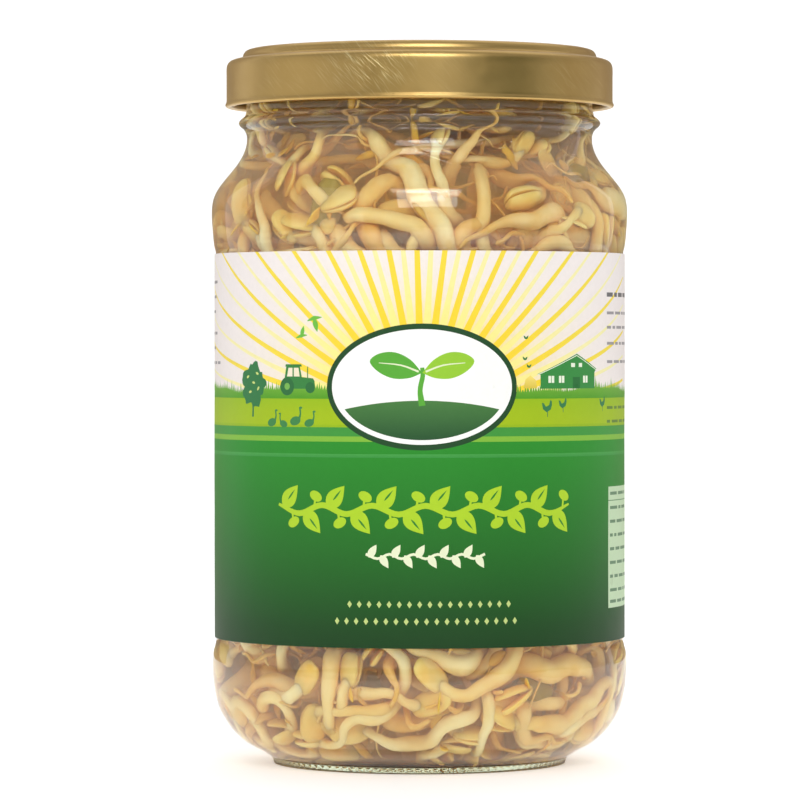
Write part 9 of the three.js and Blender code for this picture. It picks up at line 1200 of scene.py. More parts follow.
[0,115,108,145,163,1158,134,173,1128,129,173,1099,120,158,1077,111,133,1067,110,105,1058,116,87,1037,110,77,1010,103,78,983,91,85,958,74,98,940,63,112,918,55,126,895,45,147,878,35,163,857,25,172,833,15,186,813,6,202,793,-1,218,772,-16,231,754],
[0,114,90,204,125,923,184,112,908,159,98,903,146,79,896,142,55,892,136,32,895,131,8,898,130,-15,890,125,-39,887,128,-63,881,137,-81,867,155,-98,864,171,-116,867,183,-136,864,202,-152,864,215,-160,867,226,-167,877,241,-174,879,256,-178,875,271,-182,872],
[0,121,109,-142,-190,63,-114,-209,66,-86,-209,74,-76,-201,84,-71,-188,92,-64,-177,100,-58,-167,111,-51,-156,119,-42,-144,124,-40,-129,129,-35,-115,135,-29,-103,142,-22,-90,148,-16,-79,158,-6,-72,168,10,-56,179,25,-41,190,42,-26,201,56,-6,206,60,15,218],
[0,77,104,-70,-148,150,-82,-118,147,-84,-94,129,-78,-69,129,-67,-47,139,-66,-25,155,-72,-1,164,-67,24,173,-61,46,187,-61,58,212,-66,65,238,-55,70,262,-42,78,284,-30,95,301,-27,107,325,-23,113,343,-24,121,360,-17,127,378,-12,134,395,-8,139,413],
[0,88,85,70,-255,68,45,-260,70,20,-256,56,3,-230,61,2,-201,56,9,-172,51,30,-148,53,29,-120,68,6,-104,83,-14,-80,87,-20,-56,105,-29,-32,122,-42,-12,141,-50,-2,169,-64,-6,197,-61,-5,212,-58,-6,226,-64,-8,240,-75,-7,251,-84,-11,261],
[0,121,110,-141,-43,540,-130,-55,511,-117,-63,486,-98,-69,476,-78,-65,469,-60,-54,460,-46,-39,452,-32,-26,441,-19,-11,431,-2,-2,419,19,4,413,40,5,406,57,9,392,75,9,379,93,7,366,106,10,354,119,7,344,131,4,332,143,6,320,156,7,309],
[0,121,107,59,-122,321,84,-109,304,100,-87,292,104,-71,287,101,-54,283,99,-36,281,102,-19,280,103,-1,280,109,16,279,107,32,269,108,48,260,108,66,259,101,82,262,99,100,263,103,117,259,105,132,254,101,148,254,97,163,253,93,177,253,88,192,253],
[0,106,106,35,-29,826,60,-11,834,86,2,840,102,13,835,118,16,824,133,19,811,148,16,799,165,15,788,177,20,772,183,19,753,192,25,736,193,25,716,193,13,700,195,8,680,198,14,661,202,14,644,202,7,629,207,5,614,210,2,598,210,-2,582],
[0,80,108,84,99,814,61,75,814,43,55,804,33,48,792,19,39,789,5,31,793,-6,24,803,-21,17,808,-34,7,812,-43,-4,822,-55,-14,826,-69,-22,832,-81,-33,836,-94,-43,837,-107,-52,840,-124,-63,846,-139,-76,850,-157,-86,855,-171,-99,861,-184,-113,869],
[0,109,96,22,68,454,0,69,473,-22,72,492,-37,80,508,-43,88,529,-49,97,550,-61,102,569,-74,99,588,-90,91,602,-109,79,608,-127,65,607,-144,49,607,-161,33,608,-177,17,608,-194,1,607,-211,-16,607,-225,-35,605,-242,-51,600,-256,-69,593,-269,-87,584],
[0,109,97,174,-196,1097,163,-207,1071,152,-217,1047,137,-221,1037,119,-226,1035,102,-231,1040,84,-231,1040,68,-224,1036,50,-221,1038,32,-222,1043,16,-217,1050,3,-213,1062,-11,-213,1074,-24,-210,1085,-38,-208,1097,-49,-204,1106,-59,-201,1117,-67,-197,1129,-73,-192,1141,-78,-188,1155],
[0,117,89,-308,-74,729,-308,-68,756,-297,-65,783,-276,-72,804,-251,-87,811,-230,-107,804,-203,-118,801,-180,-137,797,-163,-161,798,-148,-185,789,-129,-208,784,-109,-225,769,-100,-242,746,-96,-255,719,-94,-270,694,-84,-280,683,-79,-294,675,-77,-305,661,-82,-316,649,-91,-317,635],
[0,114,87,-67,-2,803,-66,-18,781,-62,-19,752,-72,-22,724,-86,-38,703,-104,-48,682,-127,-50,663,-152,-60,651,-175,-65,633,-193,-74,611,-212,-83,591,-234,-93,573,-255,-104,556,-272,-111,532,-278,-111,502,-279,-118,482,-288,-125,465,-298,-130,447,-301,-133,426,-301,-135,405],
[0,110,98,138,-20,734,145,-3,757,148,26,763,156,43,767,156,62,769,152,81,772,144,99,771,139,118,769,133,136,775,127,154,775,115,168,767,104,184,766,98,202,771,92,220,772,88,239,769,82,255,769,72,269,768,61,282,765,55,298,763,54,316,766],
[0,111,106,-43,-209,999,-69,-194,986,-87,-175,973,-95,-157,965,-103,-140,955,-113,-121,950,-118,-103,939,-126,-84,933,-138,-66,929,-147,-49,921,-158,-33,910,-170,-17,901,-185,-10,887,-202,0,878,-221,10,873,-243,17,866,-267,21,861,-292,24,859,-310,24,843,-330,22,828],
[0,87,96,303,-83,922,306,-73,895,320,-61,872,320,-56,849,319,-53,827,318,-51,803,311,-54,781,301,-49,759,306,-38,738,299,-35,714,290,-47,696,276,-64,685,261,-77,672,239,-76,662,220,-76,648,210,-80,638,199,-84,630,188,-88,622,177,-92,614,166,-97,606],
[0,106,103,13,190,965,29,167,950,42,142,945,43,121,953,45,113,973,46,107,994,52,117,1012,59,127,1029,56,147,1040,62,168,1038,72,183,1026,90,182,1013,95,175,993,89,174,971,80,155,961,83,137,964,83,119,967,92,105,976,100,99,992,99,99,1011],
[0,106,112,113,291,400,144,275,401,172,268,396,186,253,393,192,232,393,184,213,391,171,197,389,166,177,386,158,158,383,145,143,381,132,128,378,119,112,379,108,96,371,99,78,371,84,64,368,63,47,362,43,29,356,19,18,352,-5,5,346,-30,-4,342],
[0,106,99,-259,-180,237,-266,-165,262,-261,-151,287,-262,-147,301,-260,-148,316,-254,-146,330,-245,-140,341,-241,-136,355,-240,-128,369,-237,-116,377,-233,-102,381,-230,-90,391,-221,-85,403,-209,-79,410,-199,-73,419,-193,-63,429,-186,-55,440,-182,-44,450,-179,-36,462,-173,-26,472],
[0,87,86,274,-172,961,258,-191,971,251,-217,961,234,-234,943,207,-241,937,182,-240,920,154,-230,921,133,-220,902,109,-216,885,91,-222,863,76,-228,839,60,-225,814,52,-216,788,34,-210,766,13,-206,746,-1,-195,736,-13,-181,727,-25,-169,715,-26,-153,701,-17,-139,688],
[0,79,90,-317,25,892,-315,14,867,-312,-2,843,-296,-10,832,-277,-19,831,-258,-26,835,-239,-36,836,-221,-46,834,-204,-56,833,-185,-66,830,-170,-78,822,-157,-91,811,-147,-103,798,-134,-115,788,-121,-128,777,-114,-137,765,-108,-147,753,-104,-157,740,-102,-166,726,-99,-176,714],
[0,82,86,292,-124,782,273,-108,773,252,-98,755,233,-97,738,217,-102,719,209,-115,699,194,-133,688,185,-156,683,183,-181,683,186,-205,692,191,-227,704,198,-242,723,204,-250,746,207,-248,771,215,-242,795,217,-235,809,217,-226,823,215,-214,834,210,-201,842,205,-187,849],
[0,118,88,207,-137,498,224,-160,497,224,-187,488,224,-215,491,214,-238,503,190,-252,507,162,-249,509,144,-230,518,126,-209,518,122,-185,502,139,-168,488,151,-164,463,170,-170,444,194,-179,434,208,-204,431,210,-220,437,204,-233,443,195,-245,451,183,-255,454,169,-262,456],
[0,101,105,-141,-256,1021,-118,-246,997,-115,-262,971,-116,-288,961,-104,-310,965,-78,-317,963,-55,-321,959,-31,-323,952,-7,-325,945,8,-319,924,14,-296,914,14,-270,914,9,-248,903,15,-226,889,30,-210,877,40,-197,869,51,-187,858,60,-174,849,67,-160,840,74,-145,832],
[0,103,105,-12,-213,689,-26,-230,664,-31,-258,654,-37,-268,637,-48,-273,619,-64,-280,608,-83,-286,601,-104,-287,597,-125,-289,599,-145,-283,604,-161,-272,610,-178,-263,620,-191,-253,633,-206,-239,641,-221,-227,648,-234,-218,655,-245,-209,663,-257,-199,672,-268,-189,680,-278,-178,689],
[0,96,104,303,83,555,303,74,524,293,64,499,274,49,485,253,31,486,229,20,491,203,14,498,181,14,514,165,10,536,158,1,562,152,4,588,150,16,614,152,23,640,148,43,660,140,48,687,143,47,702,149,50,715,152,55,728,153,62,741,154,71,753],
[0,93,92,133,287,323,120,288,298,107,280,273,92,278,251,71,286,237,52,301,224,32,300,207,18,287,188,20,271,166,15,251,150,21,230,134,33,221,111,55,214,97,71,196,85,79,175,71,89,160,59,104,148,48,121,135,43,134,117,42,150,103,42],
[0,115,100,20,-293,686,-2,-313,695,-21,-322,714,-45,-319,725,-60,-314,744,-73,-303,764,-80,-280,775,-81,-254,778,-72,-230,779,-56,-213,767,-45,-190,761,-27,-171,757,-11,-152,750,9,-137,742,20,-115,733,35,-102,729,54,-97,728,68,-84,721,74,-66,716,81,-48,715],
[0,116,107,-42,-232,220,-55,-201,218,-54,-172,225,-67,-145,227,-78,-120,215,-91,-109,188,-114,-94,177,-140,-80,173,-163,-62,167,-173,-35,156,-184,-12,141,-206,10,139,-226,30,144,-248,49,153,-270,67,142,-287,74,129,-296,92,120,-304,113,118,-297,134,120,-290,153,125],
[0,80,98,-108,-52,917,-108,-26,903,-96,-1,893,-101,22,878,-116,36,861,-131,49,843,-146,58,822,-165,66,806,-179,80,786,-183,97,765,-191,115,748,-203,131,729,-208,150,710,-217,172,698,-222,195,685,-230,211,679,-229,226,668,-223,238,655,-216,251,644,-205,260,632],
[0,106,111,29,88,131,60,74,128,87,66,136,104,45,139,110,19,139,111,-9,140,103,-35,139,84,-56,139,84,-84,138,87,-111,137,81,-137,134,85,-164,131,84,-191,136,81,-217,126,64,-237,116,53,-261,120,62,-286,126,61,-314,121,37,-326,127,10,-329,129],
[0,85,107,-274,-86,362,-271,-99,392,-264,-100,420,-255,-98,432,-245,-91,441,-234,-84,449,-225,-81,460,-215,-77,472,-205,-74,482,-194,-67,491,-183,-63,500,-175,-65,514,-174,-66,529,-171,-63,544,-169,-61,559,-161,-63,582,-159,-66,606,-148,-70,628,-134,-73,647,-131,-75,671],
[0,79,92,59,203,800,85,203,812,110,195,823,126,182,832,137,165,841,143,145,848,141,124,855,144,103,859,147,81,861,140,60,862,128,41,865,112,27,863,95,12,860,83,-6,864,74,-26,861,63,-49,854,51,-73,857,47,-99,857,45,-125,859,49,-149,869],
[0,78,93,-283,-141,508,-276,-150,481,-264,-164,459,-246,-169,441,-223,-169,429,-198,-171,420,-175,-174,408,-153,-166,396,-130,-160,386,-105,-157,377,-81,-152,366,-59,-141,358,-37,-134,343,-14,-143,332,11,-149,328,31,-148,320,47,-142,307,64,-136,298,84,-134,291,103,-132,282],
[0,100,102,-27,-253,557,-11,-275,541,9,-292,530,32,-301,527,56,-302,530,80,-296,535,99,-286,545,120,-280,559,144,-284,566,165,-273,572,182,-262,587,197,-251,603,210,-236,618,211,-215,632,220,-198,647,232,-184,657,239,-169,668,244,-154,680,250,-140,693,258,-126,705],
[0,123,101,-226,-223,955,-208,-241,935,-179,-247,928,-158,-255,924,-147,-268,911,-131,-266,894,-115,-256,885,-101,-249,871,-84,-246,860,-63,-246,856,-44,-246,847,-26,-247,837,-10,-253,825,7,-258,815,25,-254,805,46,-253,790,62,-261,772,73,-272,753,83,-286,735,94,-289,713],
[0,112,97,-87,139,176,-66,123,162,-43,123,143,-21,139,140,-12,165,146,-13,184,166,-28,198,184,-44,215,196,-57,227,217,-61,239,242,-82,248,257,-101,245,278,-125,241,289,-147,228,301,-169,213,308,-181,208,314,-194,207,323,-205,201,332,-215,196,342,-226,194,352],
[0,119,94,-76,167,56,-49,158,59,-27,139,63,-9,138,78,6,149,91,19,159,106,27,172,123,38,187,138,56,196,149,69,210,161,86,220,173,99,223,193,115,221,208,134,216,221,147,207,237,158,198,251,172,188,260,186,176,267,201,170,277,214,157,285],
[0,95,101,61,66,64,70,88,84,62,116,92,47,127,95,30,130,97,13,122,101,-4,124,107,-21,126,104,-38,119,104,-51,108,97,-57,90,96,-62,74,101,-60,56,102,-52,40,99,-44,25,92,-20,14,87,5,10,94,25,12,110,42,25,125,48,45,141],
[0,118,101,-103,-49,556,-99,-78,542,-83,-96,526,-69,-105,523,-56,-114,523,-46,-128,521,-32,-137,523,-21,-145,532,-11,-156,538,1,-166,543,11,-179,545,19,-193,543,29,-206,539,37,-220,536,48,-231,532,63,-246,527,76,-262,521,88,-279,513,100,-295,504,110,-311,492],
[0,85,112,-101,-24,761,-100,-4,734,-99,14,711,-110,25,697,-126,28,686,-143,26,675,-160,27,664,-176,30,652,-192,32,640,-206,35,625,-220,38,611,-233,48,599,-246,51,583,-259,58,570,-270,66,554,-276,73,543,-280,80,532,-283,88,520,-286,96,509,-291,101,496],
[0,97,94,-221,-205,1012,-214,-186,1034,-199,-184,1059,-182,-168,1074,-169,-144,1079,-161,-117,1074,-143,-95,1073,-130,-72,1064,-125,-44,1060,-123,-17,1054,-126,10,1045,-127,35,1031,-113,58,1019,-99,74,1001,-88,90,979,-89,105,971,-96,120,968,-101,136,966,-103,150,958,-101,159,944],
[0,109,94,264,129,937,294,126,933,312,105,944,318,85,948,319,72,964,320,53,974,321,33,972,322,13,974,320,-6,981,320,-26,980,318,-46,980,313,-65,985,309,-84,986,303,-104,988,297,-123,988,290,-138,995,276,-146,1000,263,-157,1003,248,-164,1006,232,-167,1009],
[0,90,93,-153,-144,899,-129,-130,894,-108,-112,883,-102,-94,865,-108,-80,843,-122,-72,820,-133,-57,800,-141,-38,783,-153,-22,764,-163,-11,742,-175,-1,720,-186,14,700,-199,24,678,-213,34,657,-227,44,636,-235,50,625,-239,60,613,-240,68,600,-241,75,587,-248,84,577],
[0,108,94,54,-87,671,80,-74,673,107,-65,665,126,-58,650,140,-56,628,151,-61,605,157,-64,581,156,-71,555,167,-88,538,171,-106,519,160,-119,499,156,-129,475,160,-134,450,157,-148,428,156,-168,411,154,-183,403,149,-198,397,139,-210,390,131,-224,383,123,-237,376],
[0,104,100,-291,120,826,-276,147,836,-272,162,861,-253,158,888,-233,137,896,-208,118,889,-197,91,898,-198,67,917,-193,43,932,-192,16,946,-196,-13,950,-197,-41,960,-206,-66,975,-219,-92,982,-236,-115,990,-251,-124,992,-261,-139,994,-268,-154,987,-280,-166,981,-287,-175,968],
[0,80,86,168,-269,687,183,-255,670,193,-230,659,204,-204,660,208,-180,672,216,-157,683,225,-131,683,236,-108,671,245,-95,650,238,-77,629,231,-71,604,225,-72,577,228,-78,550,226,-85,523,240,-84,499,239,-76,477,230,-72,457,223,-73,436,217,-69,415,215,-59,395],
[0,89,100,3,38,622,16,50,597,35,68,584,51,89,583,53,114,583,49,138,591,39,156,606,34,170,627,27,170,651,16,169,673,-1,157,690,-7,137,704,-4,116,720,1,91,714,15,72,705,35,61,694,60,57,695,80,67,686,94,81,670,98,104,662],
[0,100,86,-253,-24,807,-273,-6,805,-298,8,798,-314,20,781,-320,33,759,-317,45,736,-316,47,710,-310,39,686,-293,29,669,-272,15,663,-252,-1,668,-237,-21,677,-221,-39,686,-199,-50,696,-180,-66,705,-167,-79,711,-152,-89,717,-136,-98,723,-121,-108,729,-108,-123,733],
[0,115,103,65,-268,724,41,-290,726,12,-294,728,-3,-289,718,-12,-279,708,-26,-271,700,-38,-264,690,-52,-254,687,-60,-238,686,-61,-221,681,-55,-204,678,-43,-193,671,-29,-188,662,-11,-188,663,2,-185,675,17,-185,679,32,-188,677,44,-196,673,55,-206,670,63,-218,668],
[0,113,100,51,311,466,19,312,466,0,289,472,-11,273,483,-13,263,502,-14,258,524,-21,263,544,-32,266,561,-43,270,579,-46,276,600,-46,273,621,-54,269,641,-54,271,662,-59,270,684,-63,281,702,-67,286,728,-58,299,749,-53,312,771,-53,320,796,-47,327,821],
[0,85,97,255,185,810,251,188,781,238,193,755,218,183,738,210,165,719,199,141,710,176,125,714,162,101,715,148,79,725,131,58,720,111,39,716,101,14,723,93,-7,740,84,-25,759,81,-35,784,74,-54,804,77,-71,826,82,-84,851,74,-91,877,72,-105,901],
[0,123,88,198,-246,826,169,-243,824,146,-248,842,135,-251,853,133,-255,869,134,-261,884,126,-255,896,116,-248,906,116,-240,920,121,-232,932,129,-223,942,140,-211,943,153,-206,937,165,-204,927,174,-208,914,193,-212,910,211,-208,917,229,-197,914,235,-184,899,225,-178,881],
[0,120,87,262,-133,753,236,-135,744,210,-127,735,196,-123,724,185,-114,713,176,-108,698,171,-98,683,172,-86,670,177,-74,657,184,-59,648,194,-44,644,205,-30,647,210,-13,653,224,0,653,241,2,661,251,5,673,256,12,687,260,17,701,267,17,716,273,12,731],
[0,89,109,160,243,516,168,214,528,174,186,535,172,167,538,165,150,539,155,133,539,151,114,541,143,97,542,134,80,544,127,62,541,122,44,544,120,26,552,116,8,556,117,-12,558,115,-29,565,107,-47,576,104,-68,584,96,-88,590,92,-109,595,93,-131,598],
[0,124,105,82,96,1162,55,113,1155,31,125,1143,15,129,1131,0,132,1116,-15,128,1101,-30,118,1089,-40,115,1070,-51,114,1053,-67,113,1039,-86,113,1029,-103,120,1017,-115,130,1004,-127,135,987,-143,135,973,-159,133,951,-177,143,933,-203,146,923,-227,146,910,-251,154,902],
[0,123,102,132,-106,424,149,-104,398,167,-101,375,192,-102,361,214,-116,348,240,-129,352,263,-139,365,278,-149,388,279,-147,417,268,-149,443,245,-156,460,217,-165,461,201,-189,469,188,-212,457,170,-220,435,157,-216,418,153,-216,396,156,-221,374,164,-223,354,177,-221,337],
[0,100,98,213,-134,217,194,-131,193,188,-136,164,198,-140,146,210,-135,132,216,-123,116,228,-109,110,241,-93,115,245,-82,132,252,-81,150,266,-82,163,275,-91,178,277,-103,194,271,-120,204,263,-138,204,254,-152,195,247,-160,181,241,-166,165,239,-165,147,242,-166,130],
[0,94,99,23,-183,773,19,-175,744,26,-167,716,26,-168,699,32,-167,683,39,-167,668,47,-167,653,56,-162,638,66,-160,624,79,-167,614,94,-173,610,108,-177,599,113,-179,583,115,-176,565,126,-178,552,152,-183,544,172,-188,527,193,-188,510,219,-191,504,244,-188,497],
[0,79,91,188,203,490,160,199,489,132,206,492,115,212,496,98,217,493,81,222,492,64,225,485,51,225,472,39,225,458,25,224,447,8,222,440,-5,225,428,-18,226,416,-30,230,403,-41,237,390,-55,238,373,-70,237,356,-80,240,335,-94,237,318,-113,233,306],
[0,110,101,72,286,387,57,307,370,34,321,358,17,318,335,9,294,319,26,272,307,49,258,320,57,252,348,42,246,373,32,268,390,7,283,389,-10,298,371,-17,300,342,-17,281,320,-4,256,312,6,239,318,9,222,330,18,215,348,20,218,368,13,223,387],
[0,95,110,89,-216,668,100,-217,700,105,-207,727,120,-186,742,137,-162,743,134,-132,743,121,-109,729,115,-97,703,120,-90,675,112,-87,647,98,-79,624,81,-83,600,60,-92,582,41,-90,560,28,-85,535,18,-82,511,2,-76,492,-9,-73,468,-15,-67,444,-25,-60,421],
[0,116,102,-149,21,908,-179,24,902,-208,26,899,-224,33,889,-236,41,876,-241,47,858,-241,54,839,-235,62,822,-222,62,807,-204,58,800,-191,50,787,-173,42,783,-158,29,785,-144,17,792,-135,2,801,-132,-16,816,-141,-28,833,-156,-37,847,-175,-44,858,-197,-42,864],
[0,112,87,-163,44,380,-180,64,371,-188,76,345,-185,84,328,-175,92,312,-166,105,302,-160,122,294,-154,138,284,-145,147,269,-134,158,256,-124,174,249,-114,187,237,-107,191,219,-105,198,200,-95,203,184,-93,217,164,-103,232,150,-109,250,136,-106,273,130,-102,285,111],
[0,76,112,43,39,314,18,16,319,-10,7,316,-25,3,309,-39,2,299,-52,1,288,-64,3,276,-77,5,265,-91,3,255,-102,-4,243,-109,-3,228,-120,0,214,-134,0,204,-150,1,197,-164,-8,190,-180,-23,181,-195,-39,171,-218,-45,163,-239,-37,153,-254,-37,134],
[0,102,95,201,250,973,178,263,959,163,255,935,171,246,916,170,232,900,158,214,891,170,194,889,191,191,899,209,205,901,225,206,917,234,224,925,220,239,932,205,253,935,189,265,925,178,271,906,170,254,890,169,233,875,183,212,872,207,202,865,228,202,882],
[0,82,104,52,-308,426,39,-283,443,19,-262,446,6,-246,444,2,-227,435,5,-212,422,7,-197,408,15,-188,391,27,-188,375,40,-195,360,48,-208,347,53,-225,337,53,-243,328,52,-264,326,46,-282,332,37,-293,342,25,-299,351,13,-304,360,0,-305,370,-13,-304,380],
[0,104,104,271,158,648,272,152,617,287,141,594,294,114,581,288,85,583,281,56,583,263,33,595,259,3,598,264,-27,594,262,-55,607,261,-84,611,252,-114,610,246,-141,620,237,-169,627,239,-199,631,236,-218,636,225,-232,642,215,-248,647,201,-261,650,187,-272,656],
[0,113,91,22,-316,647,14,-289,649,2,-265,660,-7,-253,686,-12,-242,712,-17,-244,741,-7,-252,768,5,-274,784,22,-298,784,46,-312,772,68,-310,753,79,-307,726,88,-304,698,92,-280,680,80,-254,671,68,-241,677,63,-224,685,63,-208,695,59,-198,711,56,-193,729],
[0,86,106,-182,-256,250,-187,-228,268,-186,-207,288,-184,-198,308,-181,-191,329,-184,-180,349,-183,-171,370,-185,-160,390,-183,-148,408,-179,-131,424,-186,-117,440,-194,-107,459,-197,-101,481,-194,-91,502,-198,-76,519,-210,-53,527,-226,-33,535,-237,-15,552,-246,5,566,-258,25,579],
[0,113,106,-23,313,669,-44,308,644,-67,299,629,-75,287,621,-79,275,612,-77,261,603,-72,252,590,-67,239,582,-58,226,579,-50,214,570,-50,202,560,-56,192,549,-60,180,539,-64,170,526,-75,164,516,-87,157,507,-95,147,495,-101,138,482,-102,125,471,-106,113,460],
]


# ------------------------------------------------------------------ sprouts
ALONG = np.array([1.9, 2.1, 0.95, 1.0, 1.2, 1.35, 1.45, 1.5, 1.52, 1.5, 1.5, 1.46, 1.4, 1.32, 1.18, 0.95, 0.66, 0.48, 0.38, 0.32])
CREAM, PALE, ROOT = np.array(lin(248, 220, 164)[:3]), np.array(lin(255, 247, 224)[:3]), np.array(lin(232, 186, 112)[:3])
BEAN_A, BEAN_B = np.array(lin(249, 216, 138)[:3]), np.array(lin(251, 230, 172)[:3])
WARM = np.array([1.0, 0.915, 0.69])
# colour of the painted shade on flesh deep in the pile
DEPTH_SHADE = np.array(lin(242, 196, 124)[:3])
LEAF, AMBER = np.array(lin(246, 206, 84)[:3]), np.array(lin(236, 176, 70)[:3])


def spline(P, us):
    """Catmull-Rom through P (n,3) at parameters us; returns points and unit tangents."""
    Q = np.vstack([2 * P[0] - P[1], P, 2 * P[-1] - P[-2]])
    i = np.clip(us.astype(int), 0, len(P) - 2)
    t = (us - i)[:, None]
    a, b, c, d = Q[i], Q[i + 1], Q[i + 2], Q[i + 3]
    pt = 0.5 * (2 * b + (c - a) * t + (2 * a - 5 * b + 4 * c - d) * t ** 2 + (3 * b - 3 * c + d - a) * t ** 3)
    tg = 0.5 * ((c - a) + 2 * (2 * a - 5 * b + 4 * c - d) * t + 3 * (3 * b - 3 * c + d - a) * t ** 2)
    return pt, tg / (np.linalg.norm(tg, axis=1)[:, None] + 1e-12)


def frames(tg, n0):
    """Turn-free normals along the tangents."""
    n = n0 - tg[0] * np.dot(n0, tg[0])
    n /= np.linalg.norm(n)
    out = [n]
    for k in range(1, len(tg)):
        n = out[-1] - tg[k] * np.dot(out[-1], tg[k])
        n /= np.linalg.norm(n) + 1e-12
        out.append(n)
    out = np.array(out)
    return out, np.cross(tg, out)


def with_depth_shade(c, p):
    """All flesh gets a warmer tone; flesh deeper in the jar, further from the glass, is made darker and warmer still:
    painted shade for the gloom among the packed sprouts.
    """
    z = p[:, 2]
    wall = np.where(z < 16, 33.5 - 9 * np.clip((16 - z) / 12, 0, 1) ** 2, np.where(z > 97, 33.5 - 5.5 * np.clip((z - 97) / 9, 0, 1), 33.5))
    # depth behind the glass: the mask of the painted shade
    d = np.clip((wall - np.hypot(p[:, 0], p[:, 1]) - 3.0) / 11.0, 0, 1)[:, None]
    d = d * d * (3 - 2 * d)
    c = c * WARM
    return c * (1 - 0.8 * d) + c * DEPTH_SHADE * 0.8 * d


class Soup:
    """Closed bodies gathered into one mesh."""

    def __init__(self):
        self.v, self.q, self.t, self.c, self.n = [], [], [], [], 0

    def add(self, rings, start, end, col_rings, col_start, col_end):
        """rings (R, S, 3) with a pole at each end."""
        R, S, _ = rings.shape
        o = self.n
        self.v += [start[None], rings.reshape(-1, 3), end[None]]
        # every colour gets the painted depth shade
        self.c += [with_depth_shade(col_start[None], start[None]), with_depth_shade(np.broadcast_to(col_rings, (R, S, 3)).reshape(-1, 3), rings.reshape(-1, 3)), with_depth_shade(col_end[None], end[None])]
        g = o + 1 + np.arange(R * S).reshape(R, S)
        g2 = np.roll(g, -1, axis=1)
        self.q.append(np.stack([g[:-1], g2[:-1], g2[1:], g[1:]], -1).reshape(-1, 4))
        self.t.append(np.stack([np.full(S, o), g2[0], g[0]], -1))
        self.t.append(np.stack([np.full(S, o + 1 + R * S), g[-1], g2[-1]], -1))
        self.n += R * S + 2

    def build(self, name):
        v = np.concatenate(self.v) * MM
        c = np.concatenate(self.c)
        q = np.concatenate(self.q)
        t = np.concatenate(self.t)
        me = bpy.data.meshes.new(name)
        me.vertices.add(len(v))
        me.vertices.foreach_set("co", v.astype(np.float32).ravel())
        me.loops.add(q.size + t.size)
        me.loops.foreach_set("vertex_index", np.concatenate([q.ravel(), t.ravel()]).astype(np.int32))
        me.polygons.add(len(q) + len(t))
        starts = np.concatenate([np.arange(len(q)) * 4, q.size + np.arange(len(t)) * 3]).astype(np.int32)
        me.polygons.foreach_set("loop_start", starts)
        me.polygons.foreach_set("use_smooth", np.ones(len(q) + len(t), bool))
        me.update(calc_edges=True)
        a = me.color_attributes.new("tint", "FLOAT_COLOR", "POINT")
        a.data.foreach_set("color", np.hstack([c, np.ones((len(c), 1))]).astype(np.float32).ravel())
        me.validate()
        ob = bpy.data.objects.new(name, me)
        scene.collection.objects.link(ob)
        ob.data.materials.append(SPROUT_MAT)
        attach(ob, "root")
        return ob


def mixc(a, b, t):
    return a * (1 - t) + b * t


